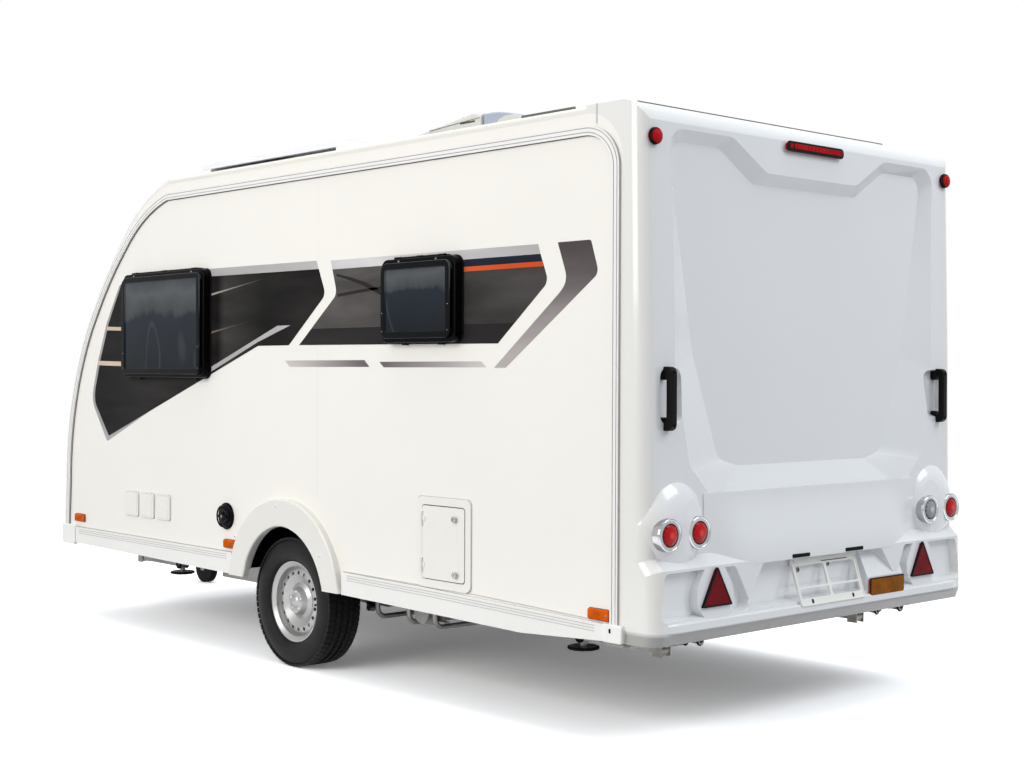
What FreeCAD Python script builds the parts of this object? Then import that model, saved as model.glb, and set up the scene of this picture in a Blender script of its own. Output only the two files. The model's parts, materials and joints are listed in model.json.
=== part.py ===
import FreeCAD, Part
import math
import os
import Sketcher

# Single-axle travel caravan, in millimetres. X points forward to the coupling, Y to the left
# and Z up from the ground. The sketches are drawn from the wheel axis, and every piece is
# then moved along X by frame_shift, so that the origin lies at the middle of the outline.

Vector = FreeCAD.Vector

SIZES = {
    # body shell
    "body_width": 2100,
    "wall": 30,
    "wall_foot_z": 440,
    "floor_thick": 42,
    "roof_z": 2460,
    "roof_thick": 32,
    "roof_edge_radius": 22,
    "roof_front_x": 1120,
    "nose_foot_x": 2317,
    "chin_x": 2303,
    "chin_z": 800,
    "brow_x": 2034,
    "brow_z": 1700,
    "crest_x": 1600,
    "crest_z": 2200,
    "nose_low_radius": 1640,
    "nose_mid_radius": 3300,
    "nose_top_radius": 1000,
    "nose_edge_radius": 20,
    "rear_seam_back": 2225,
    "rear_cap_back": 2030,
    # rear moulding, measured back from the wheel axis
    "pillar_back": 2318,
    "waist_back": 2335,
    "waist_z": 1500,
    "ledge_back": 2340,
    "sill_back": 2350,
    "sill_z": 735,
    "bumper_back": 2392,
    "bumper_z": 690,
    "lip_back": 2400,
    "lip_top_z": 490,
    "lip_low_z": 446,
    "rear_top_drop": 78,
    "rear_top_run": 92,
    "rear_top_radius": 110,
    "rear_edge_radius": 55,
    "skin": 16,
    "floor_back": 2278,
    "floor_top_half": 862,
    "floor_mid_half": 712,
    "floor_mid_z": 1508,
    "floor_low_half": 555,
    "floor_low_z": 1060,
    "floor_corner_radius": 70,
    "facet_top": 58,
    "facet_mid": 175,
    "facet_low": 240,
    "ledge_drop": 140,
    "brow_low_z": 2258,
    "brow_high_z": 2384,
    "brow_low_half": 292,
    "brow_high_half": 500,
    "cove_height": 62,
    "pod_inset": 180,
    "pod_z": 836,
    "pod_length": 96,
    "pod_half_width": 180,
    "pod_half_height": 200,
    "pod_centre_back": 2296,
    "lamp_back": 2378,
    "lamp_z": 822,
    "lamp_outer_inset": 92,
    "lamp_inner_inset": 260,
    "bezel_radius": 64,
    "lens_radius": 45,
    "bay_near": 500,
    "bay_far_inset": 46,
    "bay_low_z": 508,
    "bay_high_z": 672,
    "bay_depth": 30,
    "pad_inset": 346,
    "pad_z": 592,
    "pad_half_width": 104,
    "pad_half_height": 107,
    "pad_radius": 60,
    "reflector_side": 170,
    "reflector_thick": 10,
    "plate_top_z": 698,
    "plate_low_z": 500,
    "plate_top_half": 408,
    "plate_low_half": 540,
    "plate_recess": 48,
    "holder_width": 440,
    "holder_height": 200,
    "holder_low_z": 481,
    "holder_thick": 8,
    "holder_y": -33,
    "holder_tilt": 18,
    "plate_proud": 16,
    "grip_inset": 125,
    "grip_low_z": 1211,
    "grip_high_z": 1454,
    "grip_reach": 2378,
    "grip_width": 34,
    "cup_depth": 26,
    "marker_inset": 65,
    "marker_z": 2318,
    "marker_radius": 27,
    "marker_proud": 12,
    "front_marker_z": 1800,
    "front_reflector_z": 600,
    "brake_half": 185,
    "brake_z": 2362,
    "amber_front": 2160,
    "amber_middle": 546,
    "amber_rear_back": 2058,
    "amber_front_top_z": 596,
    "amber_middle_top_z": 577,
    "amber_rear_top_z": 526,
    "amber_length": 112,
    "amber_height": 42,
    "rear_amber_near": 300,
    "rear_amber_far": 545,
    "rear_amber_low_z": 480,
    "rear_amber_high_z": 552,
    "lamp_box_top_z": 690,
    # rails and skirts
    "rail_proud": 12,
    "rail_height": 40,
    "rail_drop": 50,
    "skirt_top_z": 520,
    "skirt_foot_z": 428,
    "skirt_thick": 14,
    "cap_length": 210,
    "front_cap_x": 2147,
    "front_cap_end_x": 2300,
    "front_cap_foot_z": 417,
    "front_cap_top_z": 530,
    "end_cap_proud": 20,
    "rear_cap_reach": 85,
    "cap_gap": 5,
    "groove_width": 4,
    "groove_depth": 2.5,
    "groove_pitch": 11,
    "skirt_rear_top_z": 474,
    "skirt_rear_foot_z": 408,
    "skirt_sag_z": 382,
    # wheels and running gear
    "wheel_z": 314,
    "tyre_radius": 314,
    "tyre_width": 195,
    "track_inset": 123.5,
    "rim_radius": 178,
    "rim_lip_radius": 195,
    "vent_radius": 9,
    "rim_width": 152,
    "hub_radius": 52,
    "axle_forward": 150,
    "axle_z": 372,
    "axle_radius": 48,
    "arm_gap": 22,
    "stub_radius": 22,
    "arch_outer_half": 466,
    "arch_inner_half": 335,
    "arch_head_z": 815,
    "arch_eye_z": 682,
    "arch_outer_radius": 456,
    "arch_inner_radius": 352,
    "arch_shoulder_height": 100,
    "arch_edge_radius": 9,
    "arch_proud": 34,
    "box_radius": 378,
    # side openings
    "window_sill_z": 1396,
    "window_head_z": 1957,
    "front_window_front": 1525,
    "front_window_rear": 685,
    "small_sill_z": 1557,
    "small_head_z": 1922,
    "small_window_front": -800,
    "small_window_rear": -1305,
    "frame_band": 46,
    "frame_proud": 44,
    "pane_proud": 58,
    "pane_thick": 28,
    "pane_rim": 30,
    "dish_depth": 9,
    "frame_radius": 45,
    "frame_edge_radius": 9,
    "hinge_bar_proud": 30,
    "pane_edge_radius": 7,
    "nose_window_half": 700,
    "nose_window_low_z": 1370,
    "nose_window_high_z": 1820,
    # entrance door on the right-hand side
    "door_front": -490,
    "door_rear": -1140,
    "door_foot_z": 520,
    "door_head_z": 2240,
    "door_gap": 6,
    "door_thick": 34,
    "door_radius": 90,
    "hinge_radius": 8,
    "hinge_out": 10,
    "pin_gap": 0.3,
    # service openings on the left-hand side
    "cassette_front": -1010,
    "cassette_rear": -1365,
    "cassette_foot_z": 503,
    "cassette_head_z": 893,
    "cassette_band": 34,
    "hatch_width": 145,
    "hatch_pitch": 170,
    "hatch_front": 1570,
    "hatch_foot_z": 630,
    "hatch_head_z": 765,
    "filler_x": 530,
    "filler_z": 695,
    "filler_radius": 62,
    "lid_half": 620,
    "lid_foot_z": 560,
    "lid_head_z": 1090,
    "board": 15,
    # roof fittings
    "solar_front": 1020,
    "solar_rear": -270,
    "solar_half": 272,
    "solar_offset": 628,
    "solar_lift": 50,
    "solar_thick": 22,
    "solar_end": 80,
    "cooler_front": 400,
    "cooler_rear": -620,
    "cooler_half": 330,
    "cooler_height": 242,
    "cooler_skin": 12,
    "rooflight_x": -1420,
    "rooflight_half": 220,
    # chassis and coupling
    "member_offset": 600,
    "member_width": 50,
    "member_height": 160,
    "member_rear_height": 82,
    "member_deep_x": -250,
    "cross_height": 60,
    "drawbar_height": 82,
    "member_wall": 5,
    "member_rear_back": 2130,
    "bend_x": 1250,
    "drawbar_foot_z": 352,
    "coupling_x": 3395,
    "coupling_nose_x": 3500,
    "coupling_z": 432,
    "ball_radius": 25,
    "overrun_rear_x": 2860,
    "overrun_radius": 38,
    "drawbar_tip_x": 3120,
    "drawbar_tip_half": 62,
    # jockey wheel on the right of the drawbar
    "jockey_x": 2960,
    "jockey_offset": 290,
    "jockey_tube_radius": 24,
    "jockey_stem_radius": 19,
    "jockey_wheel_radius": 100,
    "jockey_wheel_width": 50,
    "jockey_top_z": 760,
    "jockey_trail": 40,
    # corner steadies
    "steady_front_x": 2060,
    "steady_rear_back": 2080,
    "steady_offset": 662,
    "steady_length": 440,
    "steady_width": 46,
    "steady_z": 318,
    "steady_socket": 130,
    "steady_foot": 62,
    "hoop_radius": 12,
    "hoop_bend": 45,
    "hoop_half": 745,
    "hoop_foot_z": 252,
    "hoop_first_back": 330,
    "hoop_second_back": 570,
    "hoop_third_back": 760,
    "tank_front_back": 400,
    "tank_rear_back": 1050,
    "tank_half": 540,
}


class Dim:
    """A length: its value now and the expression over the sheet that gives it."""

    def __init__(self, value, text):
        self.value = float(value)
        self.text = text

    @staticmethod
    def of(item):
        if isinstance(item, Dim):
            return item
        return Dim(item, repr(float(item)))

    def _join(self, other, sign, value):
        return Dim(value, f"({self.text} {sign} {other.text})")

    def __add__(self, other):
        other = Dim.of(other)
        return self._join(other, "+", self.value + other.value)

    def __sub__(self, other):
        other = Dim.of(other)
        return self._join(other, "-", self.value - other.value)

    def __mul__(self, other):
        other = Dim.of(other)
        return self._join(other, "*", self.value * other.value)

    def __truediv__(self, other):
        other = Dim.of(other)
        return self._join(other, "/", self.value / other.value)

    def __radd__(self, other):
        return Dim.of(other) + self

    def __rsub__(self, other):
        return Dim.of(other) - self

    def __rmul__(self, other):
        return Dim.of(other) * self

    def __neg__(self):
        return Dim(-self.value, f"(-1 * {self.text})")


class Sheet:
    """The spreadsheet of driving sizes, read as Dim values by name."""

    def __init__(self, doc, sizes):
        self.cells = doc.addObject("Spreadsheet::Sheet", "Sizes")
        for row, (name, value) in enumerate(sizes.items(), start=1):
            self.cells.set(f"A{row}", name)
            self.cells.set(f"B{row}", str(value))
            self.cells.setAlias(f"B{row}", name)
        doc.recompute()

    def __getattr__(self, name):
        return Dim(getattr(self.cells, name), f"Sizes.{name}")


DOC = FreeCAD.newDocument("TravelCaravan")
S = Sheet(DOC, SIZES)
NODES = []

HALF = S.body_width / 2
CORNER = S.rear_seam_back - S.rear_cap_back
TRACK = S.body_width - S.track_inset * 2
LAMP_OUTER = HALF - S.lamp_outer_inset
LAMP_INNER = HALF - S.lamp_inner_inset
PAD = HALF - S.pad_inset
GRIP = HALF - S.grip_inset
MARKER = HALF - S.marker_inset
SHIFT = (S.lip_back + S.plate_proud - S.coupling_nose_x) / 2


# drawing helpers
def bind(obj, prop, dim):
    """Tie one property of an object to a size."""
    obj.setExpression(prop, Dim.of(dim).text)


def body(name):
    return DOC.addObject("PartDesign::Body", name)


def sketch(owner, name, plane, offset=0):
    """Sketch on an origin plane of its own body, moved along world +Y, +X or +Z."""
    role = {"XZ": "XZ_Plane", "YZ": "YZ_Plane", "XY": "XY_Plane"}[plane]
    support = [f for f in owner.Origin.OriginFeatures if f.Role == role][0]
    item = owner.newObject("Sketcher::SketchObject", name)
    item.AttachmentSupport = (support, [""])
    item.MapMode = "FlatFace"
    offset = Dim.of(offset)
    if plane == "XZ":
        offset = -offset
    bind(item, "AttachmentOffset.Base.z", offset)
    return item


def arc_through(start, end, radius, turn):
    """Arc from start to end; turn is +1 where it curves to the left, -1 to the right."""
    chord = end - start
    reach = max(radius * radius - (chord.Length / 2) ** 2, 0.0)
    side = Vector(-chord.y, chord.x, 0).normalize() * turn
    centre = (start + end) * 0.5 + side * math.sqrt(reach)
    first = math.atan2(start.y - centre.y, start.x - centre.x)
    last = math.atan2(end.y - centre.y, end.x - centre.x)
    if turn < 0:
        first, last = last, first
    return Part.ArcOfCircle(Part.Circle(centre, Vector(0, 0, 1), radius), first, last)


def outline(item, points, arcs=None):
    """Closed outline through points; arcs maps an edge's index to (radius, turn)."""
    arcs = arcs or {}
    points = [(Dim.of(u), Dim.of(v)) for u, v in points]
    spots = [Vector(u.value, v.value, 0) for u, v in points]
    base = item.GeometryCount
    ends = []
    for index, spot in enumerate(spots):
        after = spots[(index + 1) % len(spots)]
        if index in arcs:
            radius, turn = arcs[index]
            item.addGeometry(arc_through(spot, after, Dim.of(radius).value, turn), False)
            ends.append((1, 2) if turn > 0 else (2, 1))
        else:
            item.addGeometry(Part.LineSegment(spot, after), False)
            ends.append((1, 2))
    count = len(points)
    for index in range(count):
        after = (index + 1) % count
        item.addConstraint(
            Sketcher.Constraint(
                "Coincident", base + index, ends[index][1], base + after, ends[after][0]
            )
        )
    for index, (u, v) in enumerate(points):
        for kind, dim in (("DistanceX", u), ("DistanceY", v)):
            number = item.addConstraint(
                Sketcher.Constraint(kind, -1, 1, base + index, ends[index][0], dim.value)
            )
            item.setExpression(f"Constraints[{number}]", dim.text)
    for index, (radius, _turn) in arcs.items():
        radius = Dim.of(radius)
        number = item.addConstraint(Sketcher.Constraint("Radius", base + index, radius.value))
        item.setExpression(f"Constraints[{number}]", radius.text)
    return item


def rounded(item, low_u, high_u, low_v, high_v, radius):
    """Rectangle with rounded corners."""
    low_u, high_u, low_v, high_v = (Dim.of(d) for d in (low_u, high_u, low_v, high_v))
    points = [
        (low_u + radius, low_v),
        (high_u - radius, low_v),
        (high_u, low_v + radius),
        (high_u, high_v - radius),
        (high_u - radius, high_v),
        (low_u + radius, high_v),
        (low_u, high_v - radius),
        (low_u, low_v + radius),
    ]
    return outline(item, points, {index: (radius, 1) for index in (1, 3, 5, 7)})


def rectangle(item, low_u, high_u, low_v, high_v):
    points = [(low_u, low_v), (high_u, low_v), (high_u, high_v), (low_u, high_v)]
    return outline(item, points)


def disc(item, u, v, radius):
    """Circle with its centre and radius bound to sizes."""
    u, v, radius = Dim.of(u), Dim.of(v), Dim.of(radius)
    circle = Part.Circle(Vector(u.value, v.value, 0), Vector(0, 0, 1), radius.value)
    index = item.addGeometry(circle, False)
    for kind, dim in (("DistanceX", u), ("DistanceY", v)):
        number = item.addConstraint(Sketcher.Constraint(kind, -1, 1, index, 3, dim.value))
        item.setExpression(f"Constraints[{number}]", dim.text)
    number = item.addConstraint(Sketcher.Constraint("Radius", index, radius.value))
    item.setExpression(f"Constraints[{number}]", radius.text)
    return item


def pad(owner, profile, length):
    """Pad that grows from the sketch towards world -Y, +X or +Z."""
    item = owner.newObject("PartDesign::Pad", profile.Name + "Pad")
    item.Profile = profile
    bind(item, "Length", length)
    profile.Visibility = False
    return item


def pocket(owner, profile, length):
    """Cut that runs from the sketch the same way as a pad; it must remove something."""
    DOC.recompute()
    before = owner.Shape.Volume
    item = owner.newObject("PartDesign::Pocket", profile.Name + "Cut")
    item.Profile = profile
    item.Reversed = True
    bind(item, "Length", length)
    DOC.recompute()
    if owner.Shape.Volume > before - 1:
        raise RuntimeError(f"{item.Name} removes nothing")
    return item


def revolution(owner, profile, axis):
    item = owner.newObject("PartDesign::Revolution", profile.Name + "Turn")
    item.Profile = profile
    item.ReferenceAxis = (profile, [axis])
    item.Angle = 360
    return item


def fillet(owner, radius, picks):
    """Round the edges of a body that picks(edge) accepts."""
    DOC.recompute()
    base = owner.Tip
    names = [f"Edge{n}" for n, edge in enumerate(base.Shape.Edges, start=1) if picks(edge)]
    if not names:
        raise RuntimeError(f"no edge to round on {owner.Name}")
    item = owner.newObject("PartDesign::Fillet", f"{owner.Name}Round{len(owner.Group)}")
    item.Base = (base, names)
    bind(item, "Radius", radius)
    return item


def block(name, low_x, high_x, low_y, high_y, low_z, high_z):
    """Part box between six limits."""
    item = DOC.addObject("Part::Box", name)
    spans = (("x", low_x, high_x, "Length"), ("y", low_y, high_y, "Width"), ("z", low_z, high_z, "Height"))
    for axis, low, high, side in spans:
        low, high = Dim.of(low), Dim.of(high)
        bind(item, side, high - low)
        bind(item, f"Placement.Base.{axis}", low)
    return item


TURNS = {
    "z": FreeCAD.Rotation(),
    "x": FreeCAD.Rotation(Vector(0, 1, 0), 90),
    "y": FreeCAD.Rotation(Vector(1, 0, 0), -90),
}


def round_bar(name, axis, x, y, z, radius, length):
    """Cylinder that runs along +axis from a point."""
    item = DOC.addObject("Part::Cylinder", name)
    item.Placement = FreeCAD.Placement(Vector(0, 0, 0), TURNS[axis])
    for letter, dim in (("x", x), ("y", y), ("z", z)):
        bind(item, f"Placement.Base.{letter}", dim)
    bind(item, "Radius", radius)
    bind(item, "Height", length)
    return item


def fuse(name, *items):
    if len(items) == 1:
        return items[0]
    item = DOC.addObject("Part::MultiFuse", name)
    item.Shapes = list(items)
    item.Refine = True
    return item


def cut(name, base, *tools):
    item = DOC.addObject("Part::Cut", name)
    item.Base = base
    item.Tool = tools[0] if len(tools) == 1 else fuse(name + "Tools", *tools)
    return item


def mirrored(name, source):
    item = DOC.addObject("Part::Mirroring", name)
    item.Source = source
    item.Normal = Vector(0, 1, 0)
    return item


def group(name, *items):
    """Several solids that stay apart as one piece of the same kind."""
    item = DOC.addObject("Part::Compound", name)
    item.Links = list(items)
    return item


def pair(name, source):
    """A piece with its mirror image on the other side."""
    return group(name, source, mirrored(source.Name + "Right", source))


def node(label, item):
    """Name a finished piece and move it into the frame of the whole caravan."""
    item.Label = label
    own = dict(item.ExpressionEngine).get(".Placement.Base.x", "0")
    item.setExpression("Placement.Base.x", f"{own} + {SHIFT.text}")
    NODES.append((label, item))
    return item


def shape_node(label, shape):
    """A free form made from the sheet's values."""
    item = DOC.addObject("Part::Feature", label)
    item.Shape = shape
    item.Placement = FreeCAD.Placement(Vector(SHIFT.value, 0, 0), FreeCAD.Rotation())
    item.Label = label
    NODES.append((label, item))
    return item


def hinged(name, fixed, moving, axis, place, length, spots, straps=None):
    """Give two pieces a pinned hinge; spots are the starts of its barrels along the axis.

    Each barrel has a middle knuckle on the moving piece between two on the fixed one, with a
    pin through all three. straps maps "fixed" and "moving" to plates that carry the knuckles.
    """
    x, y, z = (Dim.of(c) for c in place)
    straps = straps or {}
    third = Dim.of(length) / 3
    gap = S.pin_gap
    radius = S.hinge_radius
    pin = radius * 0.45
    fixed_adds, fixed_cuts, moving_adds, moving_cuts = [], [], [], []

    def bar(tag, start, span, size):
        along = {"x": x, "y": y, "z": z}
        along[axis] = start
        return round_bar(f"{name}{tag}", axis, along["x"], along["y"], along["z"], size, span)

    for index, spot in enumerate(spots):
        spot = Dim.of(spot)
        fixed_adds.append(bar(f"KnuckleA{index}", spot, third - gap, radius))
        fixed_adds.append(bar(f"KnuckleB{index}", spot + third * 2 + gap, third - gap, radius))
        fixed_adds.append(bar(f"Pin{index}", spot, third * 3, pin))
        fixed_cuts.append(bar(f"Room{index}", spot + third - gap, third + gap * 2, radius + 1))
        moving_adds.append(bar(f"Knuckle{index}", spot + third, third, radius))
        moving_cuts.append(bar(f"Bore{index}", spot - gap, third * 3 + gap * 2, pin + gap))
        moving_cuts.append(bar(f"RoomA{index}", spot - gap, third + gap, radius + 1))
        moving_cuts.append(bar(f"RoomB{index}", spot + third * 2, third + gap, radius + 1))
        for side, adds in (("fixed", fixed_adds), ("moving", moving_adds)):
            if side in straps:
                adds.extend(straps[side](f"{name}Strap{side}{index}", spot, third))
    base = cut(f"{name}FixedRoom", fuse(f"{name}FixedBase", fixed, *straps_only(fixed_adds)), *fixed_cuts)
    held = fuse(f"{name}Fixed", base, *knuckles_only(fixed_adds))
    leaf = fuse(f"{name}MovingBase", moving, *moving_adds)
    return held, cut(f"{name}Moving", leaf, *moving_cuts)


def straps_only(items):
    return [item for item in items if "Strap" in item.Name]


def knuckles_only(items):
    return [item for item in items if "Strap" not in item.Name]


# body shell
def nose_inner(extra=0):
    """Points of the nose line inside the front skin, from its foot to the roof, with radii."""
    inset = S.wall + extra
    points = [
        (S.nose_foot_x - inset, S.wall_foot_z),
        (S.chin_x - inset, S.chin_z - extra * 0.2),
        (S.brow_x - inset * 0.82, S.brow_z - inset * 0.57),
        (S.crest_x - inset * 0.71, S.crest_z - inset * 0.70),
        (S.roof_front_x, S.roof_z - S.roof_thick - extra),
    ]
    radii = (S.nose_low_radius - inset, S.nose_mid_radius - inset, S.nose_top_radius - inset)
    return points, radii


def front_panel():
    """Curved front moulding, with the window and the gas locker let in."""
    skin = body("FrontPanel")
    inner, radii = nose_inner()
    outer = [
        (S.nose_foot_x, S.wall_foot_z),
        (S.chin_x, S.chin_z),
        (S.brow_x, S.brow_z),
        (S.crest_x, S.crest_z),
        (S.roof_front_x, S.roof_z),
    ]
    arcs = {
        1: (S.nose_low_radius, 1),
        2: (S.nose_mid_radius, 1),
        3: (S.nose_top_radius, 1),
        5: (radii[2], -1),
        6: (radii[1], -1),
        7: (radii[0], -1),
    }
    profile = outline(sketch(skin, "FrontOutline", "XZ", HALF), outer + inner[::-1], arcs)
    pad(skin, profile, S.body_width)
    edge = HALF.value
    fillet(skin, S.nose_edge_radius, lambda e: on_outer_nose(e, edge))
    window = rounded(
        sketch(skin, "NoseWindowHole", "YZ", S.crest_x - S.wall * 4),
        -S.nose_window_half, S.nose_window_half,
        S.nose_window_low_z, S.nose_window_high_z, S.frame_radius,
    )
    pocket(skin, window, S.nose_foot_x - S.crest_x + S.wall * 4)
    locker = rounded(
        sketch(skin, "LockerHole", "YZ", S.chin_x - S.wall * 6),
        -S.lid_half, S.lid_half, S.lid_foot_z, S.lid_head_z, S.frame_radius,
    )
    pocket(skin, locker, S.wall * 8)
    return node("front_panel", skin)


def on_outer_nose(edge, side):
    """Whether an edge lies on a side face and on the outer line of the nose."""
    middle = edge.valueAt((edge.FirstParameter + edge.LastParameter) / 2)
    if abs(abs(middle.y) - side) > 0.1:
        return False
    ends = [v.Point for v in edge.Vertexes]
    if any(abs(abs(p.y) - side) > 0.1 for p in ends):
        return False
    outer = [
        (S.nose_foot_x.value, S.wall_foot_z.value),
        (S.chin_x.value, S.chin_z.value),
        (S.brow_x.value, S.brow_z.value),
        (S.crest_x.value, S.crest_z.value),
        (S.roof_front_x.value, S.roof_z.value),
    ]
    return all(any(abs(p.x - u) + abs(p.z - v) < 0.5 for u, v in outer) for p in ends)


def arch_hole(owner, name, offset, radius):
    """Wheel opening: a half round on straight flanks down past the wall's foot."""
    low = S.wall_foot_z - S.wall
    middle = S.wheel_z
    item = sketch(owner, name, "XZ", offset)
    points = [
        (-radius, low),
        (radius, low),
        (radius, middle),
        (0, middle + radius),
        (-radius, middle),
    ]
    if (low - middle).value > 0:
        rise = low - middle
        reach = math.sqrt(radius.value ** 2 - rise.value ** 2)
        span = Dim(reach, f"sqrt({radius.text} * {radius.text} - {rise.text} * {rise.text})")
        points = [(-span, low), (span, low), (0, middle + radius)]
        return outline(item, points, {1: (radius, 1), 2: (radius, 1)})
    return outline(item, points, {2: (radius, 1), 3: (radius, 1)})


def side_wall(name, label, outer_y):
    """One side wall with its wheel opening and windows; returns the body."""
    wall = body(name)
    inner, radii = nose_inner()
    roof_under = S.roof_z - S.roof_thick
    corner = CORNER
    points = (
        [(-S.rear_seam_back, S.wall_foot_z)]
        + inner
        + [
            (-S.rear_seam_back + corner, roof_under),
            (-S.rear_seam_back, roof_under - corner),
        ]
    )
    arcs = {2: (radii[0], 1), 3: (radii[1], 1), 4: (radii[2], 1), 6: (corner, 1)}
    pad(wall, outline(sketch(wall, name + "Outline", "XZ", outer_y), points, arcs), S.wall)
    pocket(wall, arch_hole(wall, name + "Arch", outer_y, S.box_radius), S.wall)
    holes = sketch(wall, name + "Windows", "XZ", outer_y)
    rounded(holes, *window_hole(big=True))
    if label == "left_wall":
        rounded(holes, *window_hole(big=False))
    pocket(wall, holes, S.wall)
    return wall


def window_hole(big):
    """Limits of the hole in the wall behind a window frame."""
    band = S.frame_band / 2
    if big:
        return (
            S.front_window_rear + band, S.front_window_front - band,
            S.window_sill_z + band, S.window_head_z - band, S.frame_radius,
        )
    return (
        S.small_window_rear + band, S.small_window_front - band,
        S.small_sill_z + band, S.small_head_z - band, S.frame_radius,
    )


def left_wall():
    wall = side_wall("LeftWall", "left_wall", HALF)
    hole = rounded(
        sketch(wall, "CassetteHole", "XZ", HALF),
        S.cassette_rear + S.cassette_band / 2, S.cassette_front - S.cassette_band / 2,
        S.cassette_foot_z + S.cassette_band / 2, S.cassette_head_z - S.cassette_band / 2,
        S.cassette_band / 2,
    )
    pocket(wall, hole, S.wall)
    return node("left_wall", wall)


def right_wall():
    wall = side_wall("RightWall", "right_wall", -HALF + S.wall)
    hole = rounded(
        sketch(wall, "DoorHole", "XZ", -HALF + S.wall),
        S.door_rear, S.door_front, S.door_foot_z, S.door_head_z, S.door_radius,
    )
    pocket(wall, hole, S.wall)
    return node("right_wall", wall)


def roof_panel():
    roof = body("RoofPanel")
    profile = rectangle(
        sketch(roof, "RoofOutline", "YZ", -S.rear_cap_back),
        -HALF, HALF, S.roof_z - S.roof_thick, S.roof_z,
    )
    pad(roof, profile, S.roof_front_x + S.rear_cap_back)
    top = S.roof_z.value
    fillet(roof, S.roof_edge_radius, lambda e: runs_along(e, "x") and at(e, z=top))
    hole = rounded(
        sketch(roof, "RooflightHole", "XY", S.roof_z - S.roof_thick),
        S.rooflight_x - S.rooflight_half + S.wall, S.rooflight_x + S.rooflight_half - S.wall,
        -S.rooflight_half + S.wall, S.rooflight_half - S.wall, S.wall,
    )
    pocket(roof, hole, S.roof_thick)
    return node("roof_panel", roof)


def runs_along(edge, axis):
    """Whether an edge is straight and parallel to one axis."""
    ends = [v.Point for v in edge.Vertexes]
    if len(ends) != 2:
        return False
    span = ends[1] - ends[0]
    others = [c for c in "xyz" if c != axis]
    return abs(getattr(span, axis)) > 1 and all(abs(getattr(span, c)) < 0.01 for c in others)


def at(edge, x=None, y=None, z=None):
    """Whether an edge's middle lies at the given coordinates."""
    middle = edge.valueAt((edge.FirstParameter + edge.LastParameter) / 2)
    wanted = ((middle.x, x), (middle.y, y), (middle.z, z))
    return all(value is None or abs(have - value) < 0.05 for have, value in wanted)


def floor_panel():
    """Sandwich floor between the walls, open where the wheels stand."""
    floor = body("FloorPanel")
    side = HALF - S.wall
    profile = rectangle(
        sketch(floor, "FloorOutline", "XY", S.wall_foot_z),
        -S.rear_seam_back, S.nose_foot_x - S.wall - 1.8, -side, side,
    )
    pad(floor, profile, S.floor_thick)
    well = S.box_radius + S.wall / 2
    inner = side - S.tyre_width - S.wall * 2
    for name, low, high in (("LeftWell", inner, side), ("RightWell", -side, -inner)):
        hole = rectangle(sketch(floor, name, "XY", S.wall_foot_z), -well, well, low, high)
        pocket(floor, hole, S.floor_thick)
    return node("floor_panel", floor)


def wheel_boxes():
    """Inner boxes over the wheels, closed to the cabin and open below."""
    shell = 6
    side = HALF - S.wall
    well = S.box_radius + S.wall / 2
    inner = side - S.tyre_width - S.wall * 2
    top = S.wheel_z + S.tyre_radius + S.wall * 3
    outer = block("BoxOuter", -well, well, inner, side, S.wall_foot_z, top)
    hollow = block(
        "BoxHollow", -well + shell, well - shell, inner + shell, side,
        S.wall_foot_z - shell, top - shell,
    )
    box = cut("WheelBox", outer, hollow)
    return node("wheel_boxes", pair("WheelBoxes", box))


def rear_profile(inset):
    """Side line of the rear moulding, from its foot to the roof."""
    return [
        (-(S.lip_back - 14 - inset), S.skirt_rear_foot_z + inset),
        (-(S.lip_back - inset), S.lip_low_z),
        (-(S.lip_back - inset), S.lip_top_z),
        (-(S.bumper_back - inset), S.bumper_z),
        (-(S.sill_back - inset), S.sill_z + inset),
        (-(S.ledge_back - inset), S.floor_low_z - S.ledge_drop),
        (-(S.waist_back - inset), S.waist_z),
        (-(S.pillar_back - inset), S.roof_z - S.rear_top_drop),
        (-(S.pillar_back - S.rear_top_run), S.roof_z - inset),
    ]


def rear_solid(name, inset, side):
    """Prism of the rear moulding between both sides."""
    part = body(name)
    roof_under = S.roof_z - S.roof_thick
    corner = CORNER
    front = [
        (-S.rear_cap_back, S.roof_z - inset),
        (-S.rear_cap_back, roof_under),
        (-S.rear_seam_back, roof_under - corner),
        (-S.rear_seam_back, S.skirt_rear_foot_z + inset),
    ]
    points = rear_profile(inset) + front
    arcs = {7: (S.rear_top_radius - inset, -1), 10: (corner, 1)}
    pad(part, outline(sketch(part, name + "Outline", "XZ", side), points, arcs), side * 2)
    return part


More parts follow.
